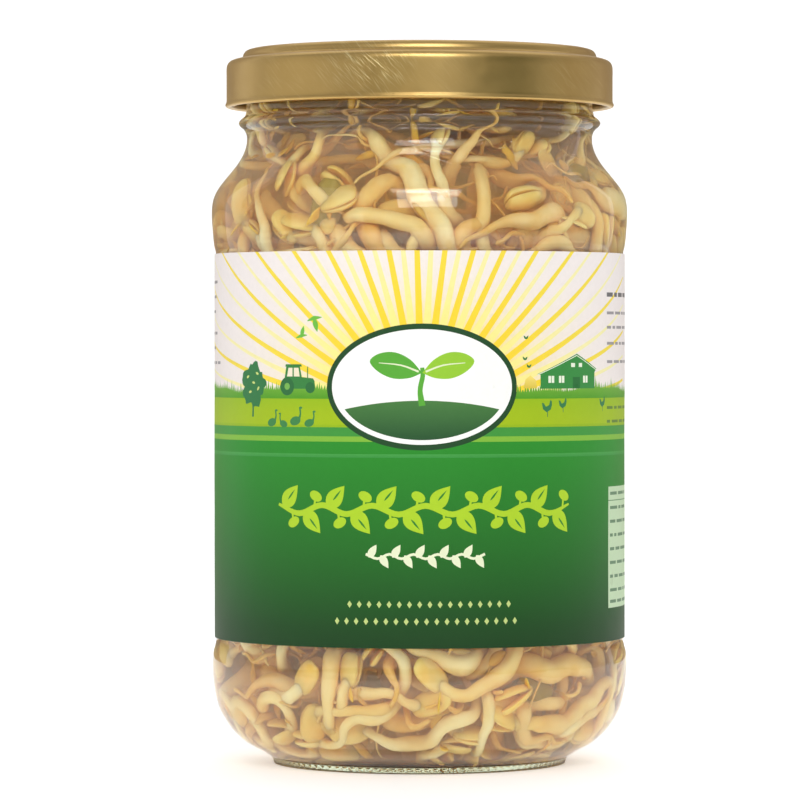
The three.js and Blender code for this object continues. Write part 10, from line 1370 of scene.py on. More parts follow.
def add_sprout(soup, stem, bean, P, level, seed):
    """level 2: close to the glass; 1: behind; 0: deep inside."""
    r = np.random.default_rng(seed)
    sides = (8, 10, 14)[level]
    nA, nB = ((14, 8), (24, 12), (36, 18))[level]
    us = np.concatenate([np.linspace(1.0, 2.2, 5 + 2 * level), np.linspace(2.2, 13.5, nA)[1:], np.linspace(13.5, 19, nB)[1:]])
    pt, tg = spline(P, us)
    nr, sd = frames(tg, r.normal(size=3))
    base = np.interp(us, np.arange(20), ALONG) * stem
    neck = np.clip((us - 1.0) / 1.0, 0, 1)
    base = np.where(us < 2.0, (1.25 * (1 - neck) + ALONG[2] * stem * neck), base)
    arc = np.concatenate([[0], np.cumsum(np.linalg.norm(np.diff(pt, axis=0), axis=1))])
    ph = r.uniform(0, 6.28, 4)
    base = base * (1 + 0.045 * np.sin(arc * 0.55 + ph[0]) + 0.03 * np.sin(arc * 1.3 + ph[1]))
    # the root end is kinked and wiry
    k = np.clip((us - 14.5) / 3, 0, 1)
    wob = (0.45 * np.sin(arc * 1.1 + ph[2]) * k)[:, None] * nr + (0.4 * np.sin(arc * 0.83 + ph[3]) * k)[:, None] * sd
    pt = pt + wob
    ang = np.linspace(0, 2 * np.pi, sides, endpoint=False)
    flat = r.uniform(0.86, 0.98)
    lobes = 1 + 0.035 * np.cos(3 * ang + r.uniform(0, 6.28))
    rings = pt[:, None] + base[:, None, None] * lobes[None, :, None] * (np.cos(ang)[None, :, None] * nr[:, None] + flat * np.sin(ang)[None, :, None] * sd[:, None])
    w = np.clip((us - 12) / 5, 0, 1)[:, None]
    tone = r.uniform(0, 1)
    body = mixc(CREAM, PALE, tone)
    col = mixc(body, ROOT, w * 0.85)
    amber = np.exp(-((us - r.uniform(2, 5)) / 1.6) ** 2)[:, None] * r.uniform(0.0, 0.7)
    col = mixc(col, BEAN_A, amber)
    if r.random() < 0.35:
        col = mixc(col, AMBER, 0.45 * np.exp(-((us - r.uniform(5, 14)) / 2.5) ** 2)[:, None])
    soup.add(rings, pt[0] - tg[0] * 0.5, pt[-1] + tg[-1] * 0.5, col[:, None, :], col[0], col[-1])
    # two seed leaves
    axis = P[1] - P[0]
    ln = np.linalg.norm(axis)
    axis /= ln
    c0 = (P[0] + P[1]) / 2
    n1 = r.normal(size=3)
    n1 -= axis * np.dot(n1, axis)
    n1 /= np.linalg.norm(n1)
    w1 = np.cross(axis, n1)
    L, W, T = ln / 2 + 1.75 * bean, 2.1 * bean, 1.12 * bean
    nu, nv = ((7, 8), (9, 10), (14, 16))[level]
    u = np.linspace(0, 1, nu + 2)[1:-1]
    v = np.linspace(0, 2 * np.pi, nv, endpoint=False)
    f = np.sin(np.pi * u) ** 0.62
    x = -L * np.cos(np.pi * u)
    open_ = math.radians(abs(r.normal(0, 9)) + 2)
    bcol = mixc(BEAN_A, BEAN_B, r.uniform(0, 1))
    for s in (1, -1):
        cv, sv = np.cos(v), np.sin(v)
        tt = np.where(sv > 0, sv, sv * 0.16) * T
        wv = np.sign(cv) * np.abs(cv) ** 0.9 * W
        X = np.broadcast_to(x[:, None], (nu, nv)).copy()
        Yw = f[:, None] * wv[None]
        Zt = f[:, None] * tt[None] + 0.10 - 0.22 * (2 * u[:, None] - 1) ** 2
        # opened at the far end, hinged at the neck
        a = open_ * (0.6 if s > 0 else 1.0)
        Xr = (X - L) * math.cos(a) - Zt * -math.sin(a) * -1 + L
        Zr = -(X - L) * math.sin(a) + Zt * math.cos(a)
        p = c0 + axis * Xr[..., None] + s * n1 * Zr[..., None] + w1 * Yw[..., None]
        e0 = c0 + axis * (L - (2 * L) * math.cos(a)) + s * n1 * (2 * L * math.sin(a) + 0.05)
        e1 = c0 + axis * L
        cc = mixc(bcol, AMBER, (0.25 * r.random()) * (u[:, None, None] ** 2))
        order = slice(None) if s > 0 else slice(None, None, -1)
        soup.add(p[:, order], e0, e1, np.broadcast_to(cc, (nu, nv, 3)), bcol, bcol)
    # first leaves, yellow, folded between the seed leaves or drawn out of them
    if r.random() < 0.55 and level > 0:
        for s in (1, -1):
            ll = r.uniform(3.0, 6.0)
            dirn = axis * r.uniform(-0.2, 0.9) + n1 * s * r.uniform(0.1, 0.7) + w1 * r.uniform(-0.9, 0.9)
            dirn /= np.linalg.norm(dirn)
            n = 9
            t = np.linspace(0, 1, n + 2)[1:-1]
            bend = np.cross(dirn, r.normal(size=3))
            bend /= np.linalg.norm(bend)
            nn = np.cross(dirn, bend)
            cen = c0 + axis * L * 0.75 + dirn * (ll * t)[:, None] + bend * (0.9 * t ** 2)[:, None]
            wd = 0.85 * np.sin(np.pi * t ** 0.8) ** 0.8
            va = np.linspace(0, 2 * np.pi, 8, endpoint=False)
            rr = cen[:, None] + wd[:, None, None] * (np.cos(va)[None, :, None] * nn + 0.26 * np.sin(va)[None, :, None] * bend) + (0.22 * wd[:, None] * np.cos(va)[None] ** 2)[..., None] * bend
            lc = mixc(LEAF, AMBER, r.uniform(0, 0.6))
            soup.add(rr, c0 + axis * L * 0.75, cen[-1] + dirn * 0.4, lc, lc, lc)


def wall_at(z):
    if z < 16:
        return 33.5 - 9 * min(1.0, (16 - z) / 12) ** 2
    if z > 97:
        return 33.5 - 5.5 * min(1.0, (z - 97) / 9)
    return 33.5


def loose_bits(soup):
    """First leaves, root threads and half beans that have come off and float between the sprouts, and a few beans still
    in their green coats.
    """
    r = np.random.default_rng(77)

    def place(z, az, depth):
        R = wall_at(z) - depth
        return np.array([R * math.sin(az), -R * math.cos(az), z])

    def bound(P, margin):
        q = P.copy()
        for row in q:
            lim = wall_at(row[2]) - margin
            h = math.hypot(row[0], row[1])
            if h > lim:
                row[:2] *= lim / h
            row[2] = min(max(row[2], 5.4), 117.4)
        return q
    for i in range(460):
        z = r.uniform(84, 117) if r.random() < 0.62 else r.uniform(5.5, 27)
        az = r.uniform(0, 2 * math.pi)
        depth = 0.9 + 6.5 * r.random() ** 1.3
        c = place(z, az, depth)
        out_ = np.array([math.sin(az), -math.cos(az), 0.0])
        side = np.array([math.cos(az), math.sin(az), 0.0])
        th = r.uniform(0, 2 * math.pi)
        d = side * math.cos(th) + np.array([0, 0, 1.0]) * math.sin(th) + out_ * r.uniform(-0.35, 0.35)
        d /= np.linalg.norm(d)
        w = np.cross(d, out_)
        w /= np.linalg.norm(w)
        nn = np.cross(d, w)
        kind = r.random()
        if kind < 0.50:  # leaf
            n, ll = 10, r.uniform(3.5, 8.0)
            t = np.linspace(0, 1, n + 2)[1:-1]
            cen = c + d * (ll * (t - 0.5))[:, None] + w * (r.uniform(-1.6, 1.6) * t ** 2)[:, None] + nn * (r.uniform(-1, 1) * np.sin(np.pi * t))[:, None]
            cen = bound(cen, 1.0)
            wd = r.uniform(0.5, 1.15) * np.sin(np.pi * t ** r.uniform(0.7, 1.3)) ** 0.75
            va = np.linspace(0, 2 * np.pi, 8, endpoint=False)
            rr = cen[:, None] + wd[:, None, None] * (np.cos(va)[None, :, None] * w + 0.2 * np.sin(va)[None, :, None] * nn) + (0.35 * wd[:, None] * np.cos(va)[None] ** 2)[..., None] * nn
            lc = mixc(LEAF, AMBER, r.uniform(0, 1)) if r.random() < 0.7 else mixc(CREAM, LEAF, r.uniform(0.2, 0.7))
            soup.add(rr, cen[0] - d * 0.3, cen[-1] + d * 0.3, lc, lc, lc)
        elif kind < 0.86:  # root thread
            n = 7
            P = [c]
            h = d.copy()
            for _ in range(n):
                h = h + w * r.normal(0, 0.45) + nn * r.normal(0, 0.2)
                h /= np.linalg.norm(h)
                P.append(P[-1] + h * r.uniform(1.4, 2.6))
            P = bound(np.array(P), 0.8)
            us = np.linspace(0, n, 28)
            pt, tg = spline(P, us)
            nr, sd = frames(tg, nn)
            rad = r.uniform(0.24, 0.42) * (1 - 0.6 * us / n)
            ang = np.linspace(0, 2 * np.pi, 6, endpoint=False)
            rr = pt[:, None] + rad[:, None, None] * (np.cos(ang)[None, :, None] * nr[:, None] + np.sin(ang)[None, :, None] * sd[:, None])
            lc = mixc(ROOT, CREAM, r.uniform(0, 0.8))
            soup.add(rr, pt[0] - tg[0] * 0.1, pt[-1] + tg[-1] * 0.1, lc, lc, lc)
        elif kind < 0.965:  # half bean
            n, L, W, T = 12, r.uniform(2.8, 3.8), r.uniform(1.6, 2.1), r.uniform(0.9, 1.3)
            u = np.linspace(0, np.pi, n + 2)[1:-1]
            va = np.linspace(0, 2 * np.pi, 14, endpoint=False)
            th_ = np.where(np.sin(va) > 0, np.sin(va), 0.2 * np.sin(va)) * T
            cc = bound(np.array([c]), 2.6)[0]
            f = np.sin(u) ** 0.65
            rr = cc + (-L * np.cos(u))[:, None, None] * d + (f[:, None] * np.cos(va)[None] * W)[..., None] * w + (f[:, None] * th_[None])[..., None] * nn * (1 if r.random() < 0.5 else -1)
            lc = mixc(BEAN_A, BEAN_B, r.random())
            soup.add(rr, cc - d * L, cc + d * L, lc, lc, lc)
    # beans that still wear their green coat
    for az, z, depth, tilt, k in ((-30, 97.6, 2.9, 1.35, 1.15), (64, 101.0, 3.4, 0.4, 1.0), (150, 92.5, 3.0, 0.9, 1.0), (-118, 13.0, 4.2, 0.2, 0.95), (205, 104.5, 3.2, 1.2, 0.95), (38, 15.0, 3.4, -0.3, 0.9)):
        az = math.radians(az)
        c = place(z, az, depth)
        side, out_ = np.array([math.cos(az), math.sin(az), 0.0]), np.array([math.sin(az), -math.cos(az), 0.0])
        d = side * math.cos(tilt) + np.array([0, 0, 1.0]) * math.sin(tilt)
        w = np.cross(d, out_)
        u = np.linspace(0, np.pi, 18)[1:-1]
        va = np.linspace(0, 2 * np.pi, 18, endpoint=False)
        dent = 1 - 0.10 * np.exp(-((va - np.pi / 2) / 0.5) ** 2)
        rr = c + k * ((-4.0 * np.cos(u))[:, None, None] * d + (np.sin(u)[:, None] * (np.cos(va) * 2.35)[None])[..., None] * w + (np.sin(u)[:, None] * (np.sin(va) * 2.1 * dent)[None])[..., None] * out_)
        lc = mixc(np.array(lin(176, 160, 70)[:3]), np.array(lin(150, 128, 52)[:3]), r.random())
        soup.add(rr, c - d * 4.0 * k, c + d * 4.0 * k, lc, lc, lc)


def sprout_material():
    m, nt, out = new_material("sprout_flesh")
    tex = nt.nodes.new("ShaderNodeTexCoord")
    at = nt.nodes.new("ShaderNodeVertexColor")
    at.layer_name = "tint"
    n1 = node(nt, "ShaderNodeTexNoise", Scale=190.0, Detail=3.0)
    nt.links.new(tex.outputs["Object"], n1.inputs["Vector"])
    n2 = node(nt, "ShaderNodeTexNoise", Scale=900.0, Detail=2.0)
    nt.links.new(tex.outputs["Object"], n2.inputs["Vector"])
    ramp = nt.nodes.new("ShaderNodeValToRGB")
    ramp.color_ramp.elements[0].position, ramp.color_ramp.elements[0].color = 0.32, (0.93, 0.83, 0.62, 1)
    ramp.color_ramp.elements[1].position, ramp.color_ramp.elements[1].color = 0.60, (1, 1, 1, 1)
    nt.links.new(n1.outputs[0], ramp.inputs[0])
    mul = nt.nodes.new("ShaderNodeMix")
    mul.data_type = "RGBA"
    mul.blend_type = "MULTIPLY"
    mul.inputs[0].default_value = 1.0
    nt.links.new(at.outputs["Color"], mul.inputs[6])
    nt.links.new(ramp.outputs[0], mul.inputs[7])
    b = node(nt, "ShaderNodeBsdfPrincipled", Roughness=0.42)
    nt.links.new(mul.outputs[2], b.inputs["Base Color"])
    b.inputs["Specular IOR Level"].default_value = 0.22
    b.inputs["Subsurface Weight"].default_value = 0.5
    b.inputs["Subsurface Radius"].default_value = (1.0, 0.94, 0.86)
    b.inputs["Subsurface Scale"].default_value = 0.0020
    bump = node(nt, "ShaderNodeBump", Strength=0.25, Distance=0.00015)
    nt.links.new(n2.outputs[0], bump.inputs["Height"])
    nt.links.new(bump.outputs[0], b.inputs["Normal"])
    nt.links.new(b.outputs[0], out.inputs[0])
    return m


SPROUT_MAT = sprout_material()


def make_sprouts():
    n_node = 0
    soup, count, part = Soup(), 0, 1
    for k, row in enumerate(SPROUTS):
        cad, stem, bean = row[0], row[1] / 100.0, row[2] / 100.0
        P = np.array(row[3:], float).reshape(-1, 3) / 10.0
        rr, zz = np.hypot(P[:, 0], P[:, 1]), P[:, 2]
        inside = 33.5 - rr
        bands = (zz < 27) | (zz > 86)
        level = 2 if cad else (0 if not (bands & (inside < 13)).any() else (2 if (bands & (inside < 6)).any() else 1))
        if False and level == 0:
            continue
        if cad:
            own = Soup()
            add_sprout(own, stem, bean, P, 2, 1000 + k)
            ob = own.build("sprout_piece_%02d" % cad)
            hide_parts("sprout_%02d" % cad)
            continue
        add_sprout(soup, stem, bean, P, level, 1000 + k)
        if soup.n > 85000:
            soup.build("sprout_pile_%d" % part)
            part += 1
            soup = Soup()
    if soup.n:
        soup.build("sprout_pile_%d" % part)
    soup = Soup()
    loose_bits(soup)
    soup.build("sprout_loose_bits")


make_sprouts()


# ------------------------------------------------------------------ label: one sheet, its print cut into the mesh
# Flat coordinates in mm: s runs round the jar from the middle of the front towards +X, z is the height.
R_OUT, R_IN = 36.42, 36.27
S_END, Z_LO, Z_HI = 113.85, 22.4, 90.2
BX, BZ, BA, BB = 0.3, 66.96, 16.8, 10.8
lrng = np.random.default_rng(7)


def col(*rgb):
    return np.array(lin(*rgb)[:3])


def sky(s, z):
    e = np.hypot((s - BX) / BA, (z - BZ) / BB)
    glow = np.exp(-np.clip(e - 1.0, 0, None) / 0.42)[:, None]
    base = col(243, 235, 233) * np.ones((len(s), 1))
    return base * (1 - 0.85 * glow) + col(252, 228, 118) * 0.85 * glow


def flat(*rgb):
    c = col(*rgb)
    return lambda s, z: np.ones((len(s), 1)) * c


def updown(top, zt, bottom, zb):
    a, b = col(*top), col(*bottom)
    return lambda s, z: b + (a - b) * np.clip((z - zb) / (zt - zb), 0, 1)[:, None]


LAYERS = []  # (polygon, colour function), later ones lie on top


def put(poly, fn):
    LAYERS.append((np.array(poly, float), fn))


def rect(s0, z0, s1, z1, fn):
    put([(s0, z0), (s1, z0), (s1, z1), (s0, z1)], fn)


def oval(cx, cz, a, b, fn, n=72, rot=0.0):
    t = np.linspace(0, 2 * np.pi, n, endpoint=False)
    x, y = a * np.cos(t), b * np.sin(t)
    put(np.stack([cx + x * math.cos(rot) - y * math.sin(rot), cz + x * math.sin(rot) + y * math.cos(rot)], 1), fn)


def ribbon(pts, widths, fn, per=6):
    """A stroke of changing width along a smooth line."""
    P = np.array(pts, float)
    us = np.linspace(0, len(P) - 1, per * (len(P) - 1) + 1)
    P3 = np.hstack([P, np.zeros((len(P), 1))])
    pt, tg = spline(P3, us)
    w = np.interp(us, np.linspace(0, len(P) - 1, len(widths)), widths) / 2
    nrm = np.stack([-tg[:, 1], tg[:, 0]], 1)
    a, b = pt[:, :2] + nrm * w[:, None], pt[:, :2] - nrm * w[:, None]
    put(np.vstack([a, b[::-1]]), fn)


def leaf(x, z, ang, length, width, fn):
    t = np.linspace(0, 1, 12)
    h = width / 2 * np.sin(np.pi * t ** 0.75)
    up = np.stack([t * length, h], 1)
    dn = np.stack([t * length, -h], 1)[::-1][1:-1]
    p = np.vstack([up, dn])
    c, s_ = math.cos(ang), math.sin(ang)
    put(np.stack([x + p[:, 0] * c - p[:, 1] * s_, z + p[:, 0] * s_ + p[:, 1] * c], 1), fn)


def words(s0, s1, z, h, fn, seed, ragged=True):
    """A grey line of print: blocks as long as words, with no letters."""
    r = np.random.default_rng(seed)
    s = s0
    end = s1 - (r.uniform(0, 0.25) * (s1 - s0) if ragged else 0)
    while s < end:
        w = min(r.uniform(1.2, 4.6), s1 - s)
        if w > 0.5:
            rect(s, z - h / 2, s + w, z + h / 2, fn)
        s += w + 0.75


def print_label():
    rect(-S_END, 58, S_END, Z_HI, sky)
    # sun rays
    cz = 61.0
    for k in range(-22, 23):
        a = math.radians(-1.7 + 4.65 * k)
        strong = k % 2 == 0
        if abs(a) > math.radians(86):
            continue
        ca, sa = math.cos(a), math.sin(a)
        far = min((Z_HI + 3 - cz) / max(ca, 1e-3), (62 if k < 0 else 50) / max(abs(sa), 1e-3))
        ds = np.linspace(4, far, 5)
        w = np.interp(ds, [8, 30, 62], [1.35, 0.92, 0.22] if strong else [1.45, 0.78, 0.12]) / 2
        L = [(BX + d * sa - wi * ca, cz + d * ca + wi * sa) for d, wi in zip(ds, w)]
        Rr = [(BX + d * sa + wi * ca, cz + d * ca - wi * sa) for d, wi in zip(ds, w)]
        near, away = (col(253, 214, 50), col(247, 222, 74)) if strong else (col(253, 238, 130), col(248, 240, 176))

        def ray(s, z, near=near, away=away):
            d = np.clip((np.hypot(s - BX, z - cz) - 12) / 22, 0, 1)[:, None]
            return near * (1 - d) + away * d
        put(L + Rr[::-1], ray)
    # meadow with a fringe of blades
    edge, s = [], -S_END
    while s < S_END:
        fine = abs(s) < 62
        z0 = 66.5 + 0.35 * math.sin(s * 0.21) + 0.2 * math.sin(s * 0.57 + 1)
        edge.append((s, z0 - 0.1))
        step = lrng.uniform(0.35, 0.6) if fine else lrng.uniform(1.2, 2.2)
        edge.append((s + step * 0.5 + lrng.uniform(-0.15, 0.15), z0 + lrng.uniform(0.35, 1.35) * (1 if lrng.random() < 0.8 else 1.5)))
        s += step
    edge.append((S_END, 66.4))
    put(edge + [(S_END, 64.2), (-S_END, 64.2)], updown((128, 184, 66), 68.0, (86, 158, 38), 65.2))
    rect(-S_END, 60.5, S_END, 64.9, updown((152, 188, 24), 64.9, (164, 192, 24), 62.5))
    rect(-S_END, 60.0, S_END, 60.5, flat(152, 186, 24))
    rect(-S_END, 58.5, S_END, 60.05, flat(66, 152, 62))
    rect(-S_END, 57.6, S_END, 58.5, flat(132, 188, 62))
    rect(-S_END, Z_LO, S_END, 57.6, updown((44, 144, 44), 57.4, (26, 66, 28), 24.0))
    rect(-S_END, 54.9, S_END, 55.5, updown((70, 160, 72), 55.5, (60, 148, 66), 54.9))
    dark = flat(52, 122, 70)
    # tree
    t = np.linspace(0, 2 * np.pi, 46, endpoint=False)
    rr = 1 + 0.10 * np.sin(5 * t + 1) + 0.07 * np.sin(11 * t) + lrng.uniform(-0.06, 0.06, 46)
    put(np.stack([-33.4 + 3.3 * rr * np.cos(t), 67.2 + 3.7 * rr * np.sin(t) * (1 - 0.12 * np.cos(t) ** 2)], 1), dark)
    ribbon([(-33.4, 65), (-33.35, 63.2), (-33.4, 61.7)], [0.7, 0.45, 0.5], dark, 2)
    for x, z, a in ((-34.9, 68.6, 0.5), (-32.2, 69.2, -0.4), (-34.2, 66.0, 0.2), (-31.9, 66.6, 0.9), (-33.2, 67.6, -0.2)):
        oval(x, z, 0.42, 0.22, flat(210, 224, 130), 8, a)
    # tractor: two wheels, a bonnet and a cab frame
    tr = flat(58, 132, 66)
    put([(-24.9, 67.0), (-25.3, 68.2), (-24.9, 70.4), (-25.1, 70.4), (-25.0, 70.8), (-21.6, 70.8), (-21.5, 70.4), (-21.9, 70.4), (-21.5, 68.6),
         (-19.2, 68.4), (-18.9, 67.9), (-18.9, 66.6), (-24.9, 66.6)], tr)
    put([(-24.7, 68.7), (-24.4, 70.2), (-23.5, 70.2), (-23.5, 68.7)], sky)
    put([(-23.2, 68.7), (-23.2, 70.2), (-22.2, 70.2), (-21.95, 68.7)], sky)
    ribbon([(-20.3, 68.3), (-20.3, 70.4)], [0.2, 0.2], tr, 1)
    oval(-24.7, 67.0, 1.55, 1.55, flat(48, 112, 62), 28)
    oval(-24.7, 67.0, 0.6, 0.6, flat(120, 180, 84), 14)
    oval(-19.8, 66.8, 0.95, 0.95, flat(48, 112, 62), 20)
    # water birds in the field
    bird = flat(64, 134, 74)
    for x, z, k, d in ((-28.3, 59.9, 1.0, 1), (-25.5, 59.8, 0.85, -1), (-22.9, 60.1, 1.1, 1), (-20.0, 59.9, 0.95, 1)):
        oval(x, z + 0.9 * k, 1.05 * k, 0.7 * k, bird, 16, 0.25 * d)
        ribbon([(x + 0.7 * d * k, z + 1.1 * k), (x + 1.0 * d * k, z + 2.0 * k), (x + 0.9 * d * k, z + 2.9 * k)], [0.5 * k, 0.3 * k, 0.34 * k], bird, 3)
        oval(x + 1.05 * d * k, z + 2.95 * k, 0.34 * k, 0.2 * k, bird, 8)
    # barn
    barn = flat(56, 140, 66)
    pale = flat(236, 244, 222)
    put([(21.2, 69.1), (30.5, 72.6), (36.3, 70.0), (35.7, 69.4), (35.7, 66.6), (21.9, 66.6), (21.9, 69.0)], barn)
    ribbon([(21.3, 69.0), (30.45, 72.3), (36.2, 69.8)], [0.14, 0.14, 0.14], pale, 1)
    for x in (23.6, 26.0, 32.2):
        rect(x, 67.6, x + 1.3, 68.8, pale)
        rect(x + 0.58, 67.6, x + 0.72, 68.8, barn)
    rect(29.0, 70.3, 30.0, 71.0, pale)
    rect(31.0, 70.3, 31.9, 71.0, pale)
    rect(29.4, 66.6, 31.3, 68.6, flat(42, 112, 56))
    put([(18.4, 66.7), (18.8, 68.2), (19.8, 68.9), (20.9, 68.1), (21.2, 66.7)], updown((250, 226, 120), 68.9, (222, 196, 76), 66.7))
    hen = flat(56, 126, 76)
    for x, z, k in ((23.4, 62.2, 1.0), (27.0, 62.9, 0.85), (38.5, 63.0, 0.9)):
        put([(x - 1.25 * k, z + 2.0 * k), (x - 1.0 * k, z + 0.9 * k), (x - 0.2 * k, z + 0.35 * k), (x + 0.7 * k, z + 0.8 * k), (x + 1.0 * k, z + 1.6 * k),
             (x + 0.95 * k, z + 2.3 * k), (x + 0.6 * k, z + 2.45 * k), (x + 0.35 * k, z + 1.6 * k), (x - 0.35 * k, z + 1.3 * k), (x - 0.8 * k, z + 1.9 * k)], hen)
        ribbon([(x, z + 0.5 * k), (x, z - 0.45 * k)], [0.16, 0.14], hen, 1)
    # birds in the air
    fly = flat(112, 190, 70)
    for x, z, k, up in ((-19.0, 78.6, 1.25, 1), (-21.6, 75.6, 1.0, -1)):
        ribbon([(x - 1.1 * k, z - 0.3 * k), (x, z + 0.1), (x + 1.2 * k, z + 0.2 * k)], [0.15, 0.65 * k, 0.12], fly, 3)
        leaf(x, z, -1.3 * up, 1.9 * k, 0.8 * k, fly)
    for x, z in ((18.9, 75.1), (18.7, 71.5), (19.5, 70.2)):
        leaf(x, z, 0.9, 0.8, 0.35, dark)
        leaf(x, z, 2.2, 0.8, 0.35, dark)
    # plain oval plate with a seedling
    oval(BX, BZ, BA, BB, flat(36, 76, 42), 128)
    oval(BX, BZ, BA - 0.95, BB - 0.95, flat(252, 252, 248), 120)
    ia, ib = BA - 1.9, BB - 1.75
    t = np.linspace(math.radians(205), math.radians(335), 40)
    arc = np.stack([BX + ia * np.cos(t), BZ + ib * np.sin(t)], 1)
    hump = [(BX + x, BZ + ib * math.sin(t[0]) + 1.5 * (1 - (x / (ia * 0.907)) ** 2)) for x in np.linspace(ia * math.cos(t[-1]), ia * math.cos(t[0]), 22)[1:-1]]
    put(np.vstack([arc, hump]), updown((74, 126, 66), BZ - 2.5, (40, 84, 48), BZ - 9))
    g1, g2 = flat(92, 172, 60), flat(152, 204, 56)
    ribbon([(BX, BZ - 3.2), (BX - 0.35, BZ - 0.6), (BX + 0.1, BZ + 1.9), (BX, BZ + 3.3)], [1.15, 0.85, 0.8, 0.7], g1, 5)
    for d in (1, -1):
        p = [(0, 0), (2.0, 1.9), (4.6, 2.95), (7.3, 2.8), (9.0, 1.7), (7.6, 0.2), (5.0, -0.8), (2.2, -0.75)]
        q = np.array(p) * (1.0, 1.18)
        P3 = np.hstack([np.vstack([q, q[:1]]), np.zeros((len(q) + 1, 1))])
        pt, _ = spline(P3, np.linspace(0, len(q), 5 * len(q) + 1)[:-1])
        put(np.stack([BX + d * pt[:, 0], BZ + 2.4 + pt[:, 1]], 1), g2 if d > 0 else g1)
        ribbon([(BX + d * 0.6, BZ + 2.6), (BX + d * 3.6, BZ + 3.7), (BX + d * 7.4, BZ + 4.1)], [0.34, 0.26, 0.12], flat(232, 240, 200), 3)
    # a bold leaf garland in place of a headline
    lime, deep = flat(176, 212, 44), flat(46, 132, 50)
    wave_ = [(-26.6 + 4.58 * k, 46.0 + 0.75 * (-1) ** k) for k in range(13)]
    ribbon(wave_, [0.5] + [1.0] * 11 + [0.35], lime, 6)
    for k in range(12):
        up = 1 if k % 2 == 0 else -1
        x0, z0 = wave_[k][0] + 1.0, 46.0 + 0.25 * up
        leaf(x0, z0, math.radians(50 * up), 5.0, 3.0, lime)
        leaf(x0 + 1.7 * 0.64, z0 + 1.7 * 0.77 * up, math.radians(50 * up), 2.4, 0.34, deep)
        oval(x0 + 2.35, 46.0 - 2.25 * up, 1.25, 0.85, lime, 24, 0.5 * up)
        ribbon([(x0 + 2.0, 46.0), (x0 + 2.2, 46.0 - 1.6 * up)], [0.4, 0.4], lime, 2)
    # a wavy twig in place of the smaller line
    c = flat(236, 242, 206)
    ribbon([(-9.4 + 2.06 * k, 38.1 + 0.38 * (-1) ** k) for k in range(11)], [0.45] * 11, c, 4)
    for k in range(10):
        leaf(-8.9 + 2.06 * k, 38.1 + 0.2 * (-1) ** (k + 1), math.radians(58 if k % 2 == 0 else -58), 2.6, 1.35, c)
    # two rows of small lozenges
    c = flat(196, 214, 132)
    for z, s0, s1 in ((29.9, -12.3, 15.6), (27.0, -14.6, 17.9)):
        for s in np.arange(s0, s1, 1.74):
            put([(s - 0.42, z), (s, z - 0.62), (s + 0.42, z), (s, z + 0.62)], c)
    # right panel
    grey = flat(156, 152, 154)
    for i, z in enumerate((82.9, 79.7, 77.2, 74.4, 71.2)):
        words(40.3, 66, z, 0.75 if i == 0 else 0.5, flat(110, 108, 110) if i == 0 else grey, 20 + i)
    for i, z in enumerate((63.2, 60.8)):
        words(40.3, 64, z, 0.5, flat(98, 134, 54), 30 + i)
    rect(41.0, 28.2, 66.0, 49.4, flat(196, 220, 182))
    rect(41.0, 46.9, 66.0, 47.05, flat(92, 140, 96))
    for i, z in enumerate((48.2, 45.7, 43.3, 40.9, 38.5, 36.1, 33.7, 31.3, 29.3)):
        words(41.8, 55.5, z, 0.55, flat(104, 138, 106), 40 + i)
        words(58.5, 64.6, z, 0.55, flat(104, 138, 106), 60 + i, False)
    # left panel and back
    for i, z in enumerate((85.2, 82.6, 80.0, 76.2, 73.6, 71.0)):
        words(-72, -47.0, z, 0.5, flat(156, 152, 154), 80 + i)
    rect(-96, 28.5, -60, 54, flat(226, 236, 214))
    for i in range(9):
        words(-94.5, -61.5, 51.8 - 2.6 * i, 0.6, flat(120, 148, 118), 100 + i)
    rect(76, 30, 104, 53, flat(246, 246, 242))
    for i in range(7):
        words(78, 102.5, 50.4 - 3.0 * i, 0.7, flat(140, 142, 140), 120 + i)


def inside(poly, pts):
    x, y = pts[:, 0], pts[:, 1]
    x0, y0 = poly[:, 0], poly[:, 1]
    x1, y1 = np.roll(x0, -1), np.roll(y0, -1)
    res = np.zeros(len(pts), bool)
    box = (x >= x0.min()) & (x <= x0.max()) & (y >= y0.min()) & (y <= y0.max())
    idx = np.nonzero(box)[0]
    if not len(idx):
        return res
    px, py = x[idx], y[idx]
    acc = np.zeros(len(idx), bool)
    for a, b, c, d in zip(x0, y0, x1, y1):
        cond = (b > py) != (d > py)
        if cond.any():
            acc ^= cond & (px < (c - a) * (py - b) / ((d - b) if d != b else 1e-12) + a)
    res[idx] = acc
    return res


def trimmed(poly):
    """The part of a polygon that lies on the label."""
    P = [tuple(p) for p in poly]
    for axis, lim, keep in ((0, -S_END, 1), (0, S_END, -1), (1, Z_LO, 1), (1, Z_HI, -1)):
        out = []
        for i, b in enumerate(P):
            a = P[i - 1]
            ina, inb = keep * (a[axis] - lim) >= 0, keep * (b[axis] - lim) >= 0
            if ina != inb:
                t = (lim - a[axis]) / (b[axis] - a[axis])
                q = [a[0] + t * (b[0] - a[0]), a[1] + t * (b[1] - a[1])]
                q[axis] = lim
                out.append(tuple(q))
            if inb:
                out.append(b)
        P = out
    return np.array(P)


